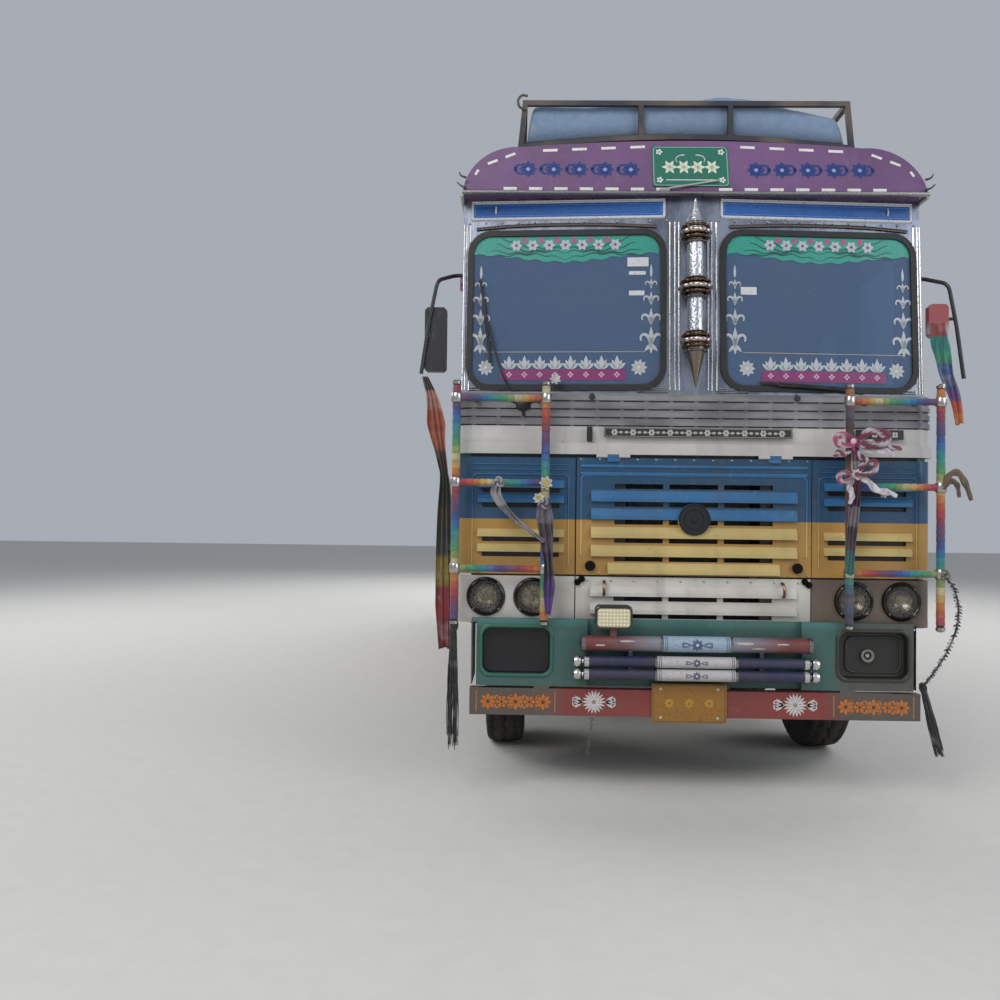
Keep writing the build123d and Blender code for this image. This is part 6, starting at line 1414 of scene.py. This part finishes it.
# Cloths hung from the mirrors and round the guard pipes: places are x, distance behind the face, z
for name, hanging, width, folds, depth, codes, rests_on, seed in (
        ("mirror_scarf_right",
         ((-1.452, 0.104, 2.226), (-1.412, 0.102, 2.10), (-1.386, 0.100, 1.93), (-1.352, 0.102, 1.76),
          (-1.334, 0.098, 1.64), (-1.334, 0.100, 1.46), (-1.332, 0.102, 1.24), (-1.328, 0.098, 1.00),
          (-1.326, 0.100, 0.740)),
         (0.030, 0.060, 0.105, 0.060, 0.044, 0.070, 0.090, 0.110, 0.116, 0.070), 3.2, 0.014,
         ("4a3a44", "b98a80", "b0604c", "b5735c", "6a4a48", "4c5148", "40483f", "574a40", "3f4a42", "8c7a34",
          "8a3038", "7a2a34"), ["mirrors"], 0.7),
        ("pipe_scarf_grey",
         ((-0.800, -0.134, 1.560), (-0.792, -0.142, 1.46), (-0.780, -0.140, 1.34), (-0.772, -0.140, 1.22),
          (-0.768, -0.138, 1.10), (-0.770, -0.136, 0.955)),
         (0.050, 0.082, 0.070, 0.050, 0.074, 0.030), 2.4, 0.011,
         ("5a4d58", "6f6872", "4a4048", "5f5660", "3f3644", "3a2f48", "4c3570", "5a3f8a"), ["guard_pipes"],
         1.9),
        ("pipe_scarf_swag",
         ((-1.030, -0.130, 1.655), (-1.050, -0.136, 1.59), (-1.010, -0.140, 1.52), (-0.935, -0.142, 1.44),
          (-0.860, -0.144, 1.38), (-0.800, -0.150, 1.335)),
         (0.034, 0.052, 0.050, 0.040, 0.036, 0.032), 2.0, 0.010,
         ("8d8a90", "a3a0a4", "77747c", "98949a", "6c6870"), ["guard_pipes"], 4.1),
        ("pipe_ribbon_magenta",
         ((0.806, -0.134, 1.900), (0.806, -0.142, 1.80), (0.810, -0.142, 1.68), (0.802, -0.140, 1.56),
          (0.790, -0.138, 1.38), (0.780, -0.136, 1.185)),
         (0.040, 0.052, 0.060, 0.052, 0.048, 0.052), 2.8, 0.009,
         ("5c3a48", "7b5a66", "a39aa0", "6a2f48", "53303f", "8a7f86", "4f3a4a", "2c6a68"), ["guard_pipes"],
         3.3),
        ("mirror_ribbon_left",
         ((1.336, 0.094, 2.545), (1.340, 0.088, 2.42), (1.362, 0.084, 2.30), (1.398, 0.082, 2.19),
          (1.424, 0.084, 2.09), (1.440, 0.086, 1.990)),
         (0.074, 0.092, 0.084, 0.070, 0.056, 0.046), 2.2, 0.010,
         ("8e3f42", "2c7a72", "2f8a6c", "23508f", "2a3f80", "5f3f7a", "a8482e", "b3622e"), ["mirrors"], 5.2)):
    hung_cloth(name, hanging, width, folds, depth, codes, rests_on, seed)


def rag(heap, path, width, dye, flat=0.16, second="b7afb4"):
    """A strip of ribbon along a path: a flattened skin whose width goes as a sine of its length,
    dyed in two colours that meet in waves."""
    t = np.linspace(0.12, 0.90, 26)
    swell = width / 2 * np.sin(pi * t) ** 0.6 * (1 + 0.14 * np.sin(31 * t))
    turn = np.cos(np.linspace(0, 2 * pi, 14))[:, None]
    wave = np.sin(17 * np.linspace(0, 1, 28)[None] + 2.2 * turn + 40 * width) > 0.45
    shade = np.where(wave[..., None], np.array(tint(second)[:3]), np.array(tint(dye)[:3]))
    heap.add(skin(smooth_path(path, 26), swell, 14, flat), shade)


goods = Heap()
tassel(goods, (-1.262, back(-0.100), 0.900), (-1.262, back(-0.100), 0.242), 0.028, 70,
       ("1a191b", "242226", "141416"), 3)
tassel(goods, (1.201, back(-0.030), 0.600), (1.294, back(-0.034), 0.228), 0.023, 60, ("1b1a1c", "2a282c"), 4)
tie_y = back(-0.146)
for path, width, dye in (
        ([(0.80, 1.862), (0.745, 1.905), (0.700, 1.886), (0.728, 1.850), (0.795, 1.856)], 0.040, "a33f66"),
        ([(0.81, 1.866), (0.880, 1.925), (0.968, 1.898), (0.915, 1.850), (0.82, 1.852)], 0.046, "6b1d3c"),
        ([(0.82, 1.856), (0.90, 1.868), (0.975, 1.842), (1.035, 1.836)], 0.036, "5e1a36"),
        ([(0.82, 1.850), (0.88, 1.826), (0.955, 1.822), (1.000, 1.796)], 0.036, "cfc8cc"),
        ([(0.79, 1.850), (0.755, 1.812), (0.715, 1.812), (0.690, 1.790)], 0.034, "7d2a50"),
        ([(0.80, 1.845), (0.820, 1.800), (0.855, 1.775), (0.862, 1.745)], 0.030, "5e1a36"),
        ([(0.80, 1.700), (0.850, 1.752), (0.905, 1.760), (0.885, 1.712), (0.81, 1.694)], 0.036, "6f2342"),
        ([(0.81, 1.690), (0.865, 1.668), (0.910, 1.622), (0.965, 1.612), (1.010, 1.590)], 0.034, "d6d2d4"),
        ([(0.79, 1.695), (0.745, 1.712), (0.715, 1.682), (0.735, 1.662), (0.79, 1.684)], 0.030, "8f4a6a"),
        ([(0.80, 1.688), (0.775, 1.640), (0.785, 1.590), (0.770, 1.548)], 0.030, "cfc8cc")):
    rag(goods, [(x, tie_y - 0.006 * k, z) for k, (x, z) in enumerate(path)], width, dye)
rag(goods, behind((1.262, -0.128, 1.645), (1.300, -0.118, 1.705), (1.350, -0.108, 1.716),
                  (1.392, -0.104, 1.650), (1.418, -0.104, 1.575)), 0.036, "6a5642", 0.7, "5a4a3a")
rag(goods, behind((1.262, -0.126, 1.630), (1.300, -0.122, 1.672), (1.338, -0.116, 1.655),
                  (1.352, -0.112, 1.590)), 0.030, "57473a", 0.7, "4b3d32")
garland = smooth_path(behind((1.268, -0.126, 1.190), (1.325, -0.112, 1.120), (1.352, -0.104, 1.020),
                             (1.344, -0.100, 0.910), (1.300, -0.094, 0.790), (1.246, -0.080, 0.690),
                             (1.204, -0.052, 0.612)), 80)
goods.add(skin(garland, 0.0055, 8), "2a2a2c")
RNG = np.random.default_rng(7)
for k in range(3, 78, 2):
    run = unit(garland[k + 1] - garland[k - 1])
    for _ in range(4):
        a = RNG.uniform(0, 2 * pi)
        out = unit(np.array([cos(a), 0.6 * sin(a), 0.0])) * 0.019 + run * 0.012
        tuft = garland[k] + np.linspace(0, 1, 5)[:, None] * out
        goods.add(skin(tuft, 0.0055 * np.sin(pi * np.linspace(0.15, 0.95, 5)), 5, 0.35),
                  ("3a3a3e", "8f8d92", "29292b", "b9b7ba")[int(RNG.integers(4))])
for seed, (place, size, dye) in enumerate((
        ((1.272, -0.126, 1.190), 0.026, "6f6a60"), ((-0.800, -0.130, 1.530), 0.030, "8a848e"),
        ((0.800, -0.142, 1.858), 0.032, "b03a78"), ((0.798, -0.142, 1.694), 0.028, "8f2f62"),
        ((-1.036, -0.128, 1.640), 0.028, "98959b"))):
    knot(goods, behind(place)[0], size, dye, seed)
goods_piece = goods.make("tassels_and_garland", hair_thread, "chassis", angle=70)
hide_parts("streamers")

flowers_heap = Heap()
for place, size, outer, inner in (((-0.790, -0.146, 1.640), 0.036, "dcd9d4", "c9b86a"),
                                  ((-0.826, -0.140, 1.560), 0.030, "e2dfda", "b9a24a"),
                                  ((-0.742, 0.006, 2.205), 0.030, "e0deda", "d8d4cc"),
                                  ((0.786, -0.160, 1.872), 0.034, "9a3a62", "dcd0d4"),
                                  ((0.806, -0.160, 1.700), 0.030, "e0dadd", "8a3350"),
                                  ((0.962, -0.120, 1.606), 0.026, "dedbd6", "cfcac0")):
    bloom(flowers_heap, behind(place)[0], size, outer, inner)
flowers_heap.make("pipe_cloth_flowers", petal_cloth, "chassis", angle=70)


# The folded load sheet in the carrier
def squeeze(v):
    """Draws even steps from -1 to 1 closer together near both ends."""
    return np.sign(v) * (1 - (1 - np.abs(v)) ** 1.35)


def load_sheet():
    """Height and shade of the folded sheet: the pile's outline over x, which falls to its foot by
    the square root of 1 - u^60 and of 1 - v^50 at the edges, with folds laid on it as bent sine
    ridges, and a darker patch at its crest."""
    half, y0, y1 = 0.892, back(0.366), back(1.588)
    a = np.linspace(-1, 1, 190)[:, None]
    b = np.linspace(-1, 1, 120)[None]
    u, v = np.broadcast_arrays(squeeze(a), squeeze(b))
    x, y = half * u, (y0 + y1) / 2 + (y1 - y0) / 2 * v
    outline = np.interp(x, (-half, -0.400, -0.060, 0.190, 0.330, 0.500, 0.640, half),
                        (3.876, 3.880, 3.896, 3.938, 3.930, 3.892, 3.858, 3.812))
    low = 3.625 + 0.052 * (1 - (x / half) ** 2)
    fall = np.clip(1 - np.abs(u) ** 60, 0, 1) ** 0.5 * np.clip(1 - np.abs(v) ** 50, 0, 1) ** 0.5
    ridge = (0.011 * np.sin(9 * x + 2.5 * np.sin(3 * y)) + 0.009 * np.sin(13 * y + 3 * np.sin(4 * x))
             - 0.022 * np.abs(np.sin(6 * x - 3 * y + np.sin(5 * y))) ** 0.5 + 0.016
             - 0.012 * np.abs(np.sin(9 * y + 4 * x)) ** 0.5 + 0.003 * np.sin(37 * x + 19 * y))
    z = low + (outline - low - 0.014) * fall + ridge * fall * 0.8
    bulge = 0.012 * np.sin(11 * y + 6 * z) * (np.abs(u) > 0.9) * (1 - fall)
    crest = 0.62 * np.exp(-((x - 0.16) / 0.24) ** 2 - ((y - back(0.85)) / 0.30) ** 2)[..., None]
    shade = (1 - crest) * np.array(tint("7a90ab")[:3]) + crest * np.array(tint("4b4f57")[:3])
    return points(x + bulge * np.sign(u), y, z), shade


grid, shade = load_sheet()
load_piece = Heap().add(grid, shade, around=False).make("carrier_load_sheet", canvas, "chassis", angle=80,
                                                        closed=False)
run = float(np.linalg.norm(np.diff(grid, axis=1), axis=2).sum(1).mean())
thicken(load_piece, 0.006)
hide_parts("tarpaulin")
hooks = Heap()
hook = smooth_path(behind((-0.915, 0.328, 3.800), (-0.950, 0.322, 3.812), (-0.962, 0.322, 3.850),
                          (-0.940, 0.322, 3.880), (-0.905, 0.324, 3.878)), 16)
hooks.add(skin(hook, 0.0075, 8), "2c2c2e")
for side in SIDES:
    for z, reach in ((3.245, 1.285), (3.300, 1.275)):
        spike = smooth_path(behind((side * 1.235, 0.035, z), (side * 1.262, 0.030, z + 0.008),
                                   (side * reach, 0.028, z + 0.028)), 9)
        hooks.add(skin(spike, 0.007 * np.linspace(1, 0.4, 9), 7), "8d8378")
hooks.make("carrier_and_crown_hooks", carrier_steel, "chassis")

# Seats and bunk
def cushion(n, face, other, height):
    """How far a padded face stands out: a dome over the two directions, with flutes across."""
    dome = height * (1 - n[..., 0] ** 2) * (1 - n[..., other] ** 2)
    return (dome + 0.006 * np.abs(np.sin(n[..., 0] * 5 * pi / 1.6)) - 0.004) * face


SEAT_X, TILT = 0.800, 0.13
for hand, side in HANDS:
    half = np.array((0.285, 0.250, 0.062))
    shape = pebble((0, 0, 0), half, 0.30, 56, 29)
    n = shape / half
    shape[..., 2] += cushion(n, n[..., 2] > 0.2, 1, 0.016)
    pad = Heap().add(shape + (side * SEAT_X, back(1.075), 1.556))
    pad.make(f"seat_cushion_{hand}", leatherette, "chassis", angle=80)
    half = np.array((0.265, 0.050, 0.345))
    shape = pebble((0, 0, 0), half, 0.30, 56, 29)
    n = shape / half
    shape[..., 1] -= cushion(n, n[..., 1] < -0.2, 2, 0.014)
    x, y, z = np.moveaxis(shape, -1, 0)
    tilted = points(x, y * cos(TILT) + z * sin(TILT), z * cos(TILT) - y * sin(TILT))
    pad = Heap().add(tilted + (side * SEAT_X, back(1.352), 1.930))
    pad.make(f"seat_backrest_{hand}", leatherette, "chassis", angle=80)
half = np.array((1.205, 0.238, 0.075))
shape = pebble((0, 0, 0), half, 0.22, 80, 25)
n = shape / half
shape[..., 2] += (0.010 * np.cos(n[..., 0] * 9 * pi) * np.cos(n[..., 1] * 2 * pi)) * (n[..., 2] > 0.3)
pad = Heap().add(shape + (0, back(1.775), 1.715))
pad.make("bunk_mattress", bunk_cover, "chassis", angle=80)
boxes = Heap()
for side in SIDES:
    boxes.add(slab((side * SEAT_X - 0.25, back(0.86), 1.205), (side * SEAT_X + 0.25, back(1.30), 1.497),
                   0.012), "3a3a3c")
    boxes.add(slab((side * 1.184, back(1.535), 1.205), (side * 1.212, back(2.015), 1.640), 0.004), "55504a")
boxes.make("seat_boxes", black_paint, "chassis")
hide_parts("seats")


# Wheels
NUT_CIRCLE, HUB_BOLT_CIRCLE = 0.150, 0.092


def wheel_goods(heap, side, axle_y, steered):
    """Ten nuts, a hub cap with its eight bolts and a lock ring on one wheel."""
    outer = 1.000 if steered else 1.080
    face_x = outer + 0.108 - (0.062 if steered else 0.150)
    hub_x = face_x + (0.058 if steered else 0.128)
    axis = (side, 0, 0)
    for k in range(10):
        a = 2 * pi * (k + 0.5) / 10
        at = (side * face_x, axle_y + NUT_CIRCLE * cos(a), AXLE_Z + NUT_CIRCLE * sin(a))
        heap.turn([(-0.004, 0), (-0.004, 0.019), (0.004, 0.019), (0.006, 0.0155), (0.024, 0.0155),
                   (0.028, 0.010), (0.036, 0.010), (0.037, 0)], at, axis, 6, "8b8076")
    for k in range(8):
        a = 2 * pi * k / 8
        at = (side * (hub_x - 0.004), axle_y + HUB_BOLT_CIRCLE * cos(a), AXLE_Z + HUB_BOLT_CIRCLE * sin(a))
        heap.turn([(0, 0), (0, 0.010), (0.008, 0.010), (0.010, 0)], at, axis, 6, "9b9288")
    heap.turn([(-0.01, 0), (-0.01, 0.074), (0.004, 0.074), (0.016, 0.060), (0.020, 0.030), (0.020, 0)],
              (side * (hub_x - 0.012), axle_y, AXLE_Z), axis, 40, "a8453c")
    heap.turn([(-0.008, 0.240), (-0.010, 0.252), (0.002, 0.258), (0.010, 0.250), (0.004, 0.240),
               (-0.008, 0.240)], (side * (outer + 0.100), axle_y, AXLE_Z), axis, 64, "b5a48c")


for axle, axle_y, hand, side in WHEELS:
    heap = Heap()
    wheel_goods(heap, side, axle_y, axle in STEERED)
    heap.make(f"wheel_nuts_{axle}_{hand}", small_chrome, wheel_body(axle, hand))

# Cab sides
CAB_SIDE = 1.254
on_cab = {side: flank(side, CAB_SIDE + 0.0005) for side in SIDES}
for hand, side in HANDS:
    door, plane = Heap(), on_cab[side]
    rim(door, loop_path(back(0.402), back(1.078), 2.102, 2.988, 0.098), flank(side, 1.2535), 0.030, 0.012,
        "161617")
    vine(door, plane, (back(0.46), 1.985), (back(1.02), 1.985), 0.085, CREAM, 5, 0.009)
    for y in (0.52, 0.96):
        blossom(door, (back(y), 1.62), 0.105, plane, CREAM, "c2552f", "e0b84a", 12)
    blossom(door, (back(0.74), 1.62), 0.130, plane, "e0b84a", "b03a6a", "2a4f8c", 14)
    rim(door, loop_path(back(0.36), back(1.12), 1.275, 1.765, 0.04), plane, 0.014, 0.004, GOLD)
    rim(door, loop_path(back(0.39), back(1.09), 1.305, 1.735, 0.04), plane, 0.006, 0.003, CREAM)
    for way in SIDES:
        scroll(door, plane, (back(0.74) + way * 0.06, 1.40), pi * (way < 0), 0.34, 0.8, way, 0.011,
               (1.1, 0.4), CREAM)
    door.turn([(0, 0), (0, 0.014), (0.006, 0.014), (0.007, 0.004), (0.009, 0)],
              (side * CAB_SIDE, back(1.04), 1.845), (side, 0, 0), 16, "b9b5ae")
    bolts(door, [(side * CAB_SIDE, back(y), 1.243) for y in (0.46, 0.60, 0.74, 0.88, 1.02)], (side, 0, 0),
          0.007, 0.005, "9b968e")
    door.make(f"door_trim_{hand}", sign_paint, f"door_{hand}")

cab_side = Heap()
for side in SIDES:
    plane = on_cab[side]
    rim(cab_side, loop_path(back(1.405), back(1.835), 2.308, 2.788, 0.070), flank(side, 1.2535), 0.026, 0.010,
        "161617")
    cab_side.add(skin(line((side * 1.262, back(0.06), 3.216), (side * 1.262, back(2.04), 3.216), 14), 0.011,
                      8), "b9b6b3")
    for z, height, width in ((3.08, 0.075, 0.008), (1.985, 0.085, 0.009)):
        vine(cab_side, plane, (back(1.24), z), (back(2.00), z), height, CREAM, 6, width)
    for y in (1.42, 1.62, 1.82):
        blossom(cab_side, (back(y), 1.56), 0.085, plane, GOLD, CREAM, "b03a4a", 10)
    rim(cab_side, loop_path(back(1.235), back(2.005), 1.40, 1.74, 0.03), plane, 0.010, 0.004, GOLD)
    bolts(cab_side, [(side * CAB_SIDE, back(y), z) for y in (1.24, 2.01) for z in np.arange(1.3, 3.15, 0.14)],
          (side, 0, 0), 0.006, 0.004, "9b968e")
    for y in (0.225, 1.56):
        cab_side.turn([(0, 0), (0, 0.036), (0.010, 0.036), (0.018, 0.026), (0.021, 0)],
                      (side * CAB_SIDE, back(y), 1.88), (side, 0, 0), 20, "d8862a")
    cab_side.turn([(0, 0), (0.0, 0.030), (0.010, 0.030), (0.012, 0.0)], (side * CAB_SIDE, back(1.33), 1.50),
                  (side, 0, 0), 20, "6f6b66")
cab_side.make("cab_side_trim", sign_paint, "chassis")

# Mirror faces look backwards, in a frame with its rubber lip
glasses = Heap()
on_mirror = tail(back(0.1575))
for x0, x1, z0, z1 in ((1.289, 1.395, 2.467, 2.648), (-1.458, -1.337, 2.254, 2.609)):
    sheet_on(glasses, x0 + 0.008, x1 - 0.008, z0 + 0.008, z1 - 0.008, on_mirror, 0.003, "b9c0c6", 4)
    rim(glasses, loop_path(x0 + 0.006, x1 - 0.006, z0 + 0.006, z1 - 0.006, 0.02), on_mirror, 0.010, 0.006,
        "161617")
for z0, z1, thick, dye in ((2.540, 2.644, 0.002, "8d8a92"), (2.471, 2.540, 0.0025, "9a3a40")):
    sheet_on(glasses, 1.293, 1.391, z0, z1, front(-0.115), thick, dye, 4)
glasses.make("mirror_faces", small_chrome, "chassis")

# Load body
BODY_SIDE, GATE_FACE, TAIL_BAR = 1.250, 5.163, 5.080
BOLT_GREY, LATCH_BROWN = "8f8a84", "6d655c"
posts = np.linspace(-2.860 + 0.04, 5.106 - 0.04, 8)
body_goods = Heap()
for side in SIDES:
    plane = flank(side, BODY_SIDE + 0.0005)
    for y in posts:
        bolts(body_goods, [(side * BODY_SIDE, y, z) for z in np.arange(1.36, 3.05, 0.24)], (side, 0, 0),
              0.014, 0.009, BOLT_GREY, 8)
        flower(body_goods, (y, 3.025), 0.026, 8, plane, "e0d8c4", "b03a34", width=0.014)
    for a, b in zip(posts[:-1], posts[1:]):
        middle = (a + b) / 2
        body_goods.turn([(0, 0), (0, 0.034), (0.004, 0.036), (0.008, 0.030), (0.009, 0)],
                        (side * BODY_SIDE, middle, 1.285), (side, 0, 0), 20, "c8462a")
        body_goods.turn([(0, 0), (0, 0.015), (0.004, 0.016), (0.022, 0.012), (0.024, 0)],
                        (side * BODY_SIDE, middle, 3.025), (side, 0, 0), 12, BOLT_GREY)
    for y in posts[:-1] + 0.35:
        hook = smooth_path([(side * 1.262, y + 0.06, 1.262), (side * 1.292, y + 0.13, 1.225),
                            (side * 1.292, y + 0.24, 1.225), (side * 1.262, y + 0.31, 1.262)], 18)
        body_goods.add(skin(hook, 0.008, 8), LATCH_BROWN)
body_goods.make("load_body_bolts_and_hooks", small_chrome, "chassis")

rear = Heap()
on_tail = tail(TAIL_BAR)
for side in SIDES:
    for x, dye in ((0.915, "b5261f"), (1.015, "d9852a"), (1.115, "b5261f")):
        at = (side * x, TAIL_BAR, 0.628)
        rear.turn([(0, 0), (0, 0.044), (0.012, 0.044), (0.020, 0.036), (0.024, 0.016), (0.025, 0)], at,
                  BEHIND, 28, dye)
        rear.turn([(0, 0.050), (0.010, 0.050), (0.012, 0.045), (0, 0.045), (0, 0.050)], at, BEHIND, 28,
                  "9b9792")
sheet_on(rear, -0.26, 0.26, 0.478, 0.562, on_tail, 0.003, "a87528", 6)
for k, x in enumerate(np.arange(-1.12, 1.13, 0.16)):
    if abs(x) > 0.30:
        sheet_on(rear, x - 0.075, x + 0.075, 0.480, 0.560, on_tail, 0.0015, "b8302a" if k % 2 else "d8d4cb",
                 3)
rear.make("rear_lamps_and_marker_boards", amber_lens, "chassis")

gate = Heap()
for x in (-0.62, 0.0, 0.62):
    gate.add(slab((x - 0.030, GATE_FACE, 2.165), (x + 0.030, GATE_FACE + 0.012, 2.250), 0.004), LATCH_BROWN)
for side in SIDES:
    gate.add(slab((side * 1.150, GATE_FACE, 2.140), (side * 1.238, GATE_FACE + 0.017, 2.190), 0.004),
             LATCH_BROWN)
    bolts(gate, [(side * x, GATE_FACE + 0.001, z) for x in (0.30, 0.93) for z in (1.30, 1.75, 2.20)], BEHIND,
          0.012, 0.008, BOLT_GREY, 8)
    vine(gate, tail(GATE_FACE + 0.0015), (side * 0.06, 2.232), (side * 1.08, 2.232), 0.030, CREAM, 9, 0.005)
gate.make("tailgate_latches", small_chrome, "tailgate")

flaps = Heap()
FLAP_TOP = 0.66
for side in SIDES:
    for y, across in ((-1.345, np.linspace(0.88, 1.14, 7)), (3.560, np.linspace(0.72, 1.20, 9))):
        u, v = np.meshgrid(across, np.linspace(0.10, FLAP_TOP, 9), indexing="ij")
        wave = 0.012 * np.sin(9 * u + 3 * v) * (FLAP_TOP - v)
        face = points(side * u, y + wave + 0.02 * (FLAP_TOP - v), v)
        flaps.add(np.concatenate([face, (face + (0, 0.006, 0))[::-1]]), "1c1b1a")
flaps.make("mud_flaps", gasket_rubber, "chassis")

tank_goods = Heap()
for y in (-0.997, -0.353):
    tank_goods.turn([(0, 0), (0, 0.016), (0.010, 0.016), (0.012, 0.009), (0.030, 0.009), (0.031, 0)],
                    (-1.096, y, 0.73), (-1, 0, 0), 8, "8b857d")
tank_goods.turn([(-0.01, 0), (-0.01, 0.052), (0.012, 0.055), (0.030, 0.052), (0.034, 0.030), (0.035, 0)],
                (-0.86, -1.05, 0.992), UP, 28, "a9a49b")
for y in (-1.12, -0.77):
    tank_goods.add(slab((1.142, y, 0.84), (1.152, y + 0.09, 0.90), 0.003), "8b857d")
tank_goods.make("tank_cap_and_catches", small_chrome, "chassis")


# Camera, light and floor
camera = bpy.data.objects.new("photograph_camera", bpy.data.cameras.new("photograph_camera"))
bpy.context.scene.collection.objects.link(camera)
camera.data.lens = 34.2
camera.data.sensor_width = 36
CAMERA_PLACE, YAW, PITCH, ROLL = (-0.925, -10.131, 1.446), radians(1.189), radians(1.179), radians(-0.702)
turn = np.array(Matrix.Rotation(YAW, 3, "Z") @ Matrix.Rotation(PITCH, 3, "X") @ Matrix.Rotation(ROLL, 3, "Y"))
stand = np.eye(4)
stand[:3, 0], stand[:3, 1], stand[:3, 2] = turn[:, 0], turn[:, 2], -turn[:, 1]
stand[:3, 3] = CAMERA_PLACE
camera.matrix_world = Matrix(stand.tolist())
bpy.context.scene.camera = camera
bpy.context.scene.view_settings.view_transform = "Standard"


def soft_light(name, place, target, size, watts, tone=(1, 1, 1)):
    """A large square lamp that faces a point: its frame is built from the line between them."""
    data = bpy.data.lights.new(name, "AREA")
    data.size, data.energy, data.color = size, watts, tone
    lamp = bpy.data.objects.new(name, data)
    bpy.context.scene.collection.objects.link(lamp)
    z = unit(np.array(place, float) - np.array(target, float))
    x = unit(np.cross([0, 0, 1.0], z))
    m = np.eye(4)
    m[:3, 0], m[:3, 1], m[:3, 2], m[:3, 3] = x, np.cross(z, x), z, place
    lamp.matrix_world = Matrix(m.tolist())


soft_light("key_light", (-5.5, -12.5, 8.5), (0, -4.6, 1.8), 6.0, 640, (1.0, 0.98, 0.95))
soft_light("fill_light", (7.5, -11.0, 5.0), (0, -4.6, 1.8), 6.0, 330, (0.92, 0.96, 1.0))
soft_light("side_light_left", (9.0, 1.0, 8.0), (0, 0, 1.5), 7.0, 520)
soft_light("side_light_right", (-9.0, 2.0, 8.0), (0, 0, 1.5), 7.0, 520)
soft_light("rear_light", (0.5, 11.0, 8.0), (0, 2, 1.5), 6.0, 650)
world = bpy.data.worlds.new("soft_room")
bpy.context.scene.world = world
world.use_nodes = True
sky = world.node_tree.nodes["Background"]
sky.inputs["Color"].default_value = (0.84, 0.90, 1.0, 1)
sky.inputs["Strength"].default_value = 0.46

floor = Finish("studio_floor", 0.85)
floor_shade = floor.mix(floor.ramp(floor.noise(9.0, 3), 0.3, 0.7), "c6c4bf", "c3c1bc")
mesh = bpy.data.meshes.new("studio_floor")
g = np.linspace(-40, 40, 3)
gx, gy = np.meshgrid(g, g, indexing="ij")
i = np.array([0, 1, 3, 4])
mesh.from_pydata(points(gx, gy, 0 * gx - 0.0005).reshape(-1, 3).tolist(), [],
                 np.stack([i, i + 3, i + 4, i + 1], 1).tolist())
mesh.materials.append(floor.finish(floor_shade))
ground = bpy.data.objects.new("studio_floor", mesh)
bpy.context.scene.collection.objects.link(ground)
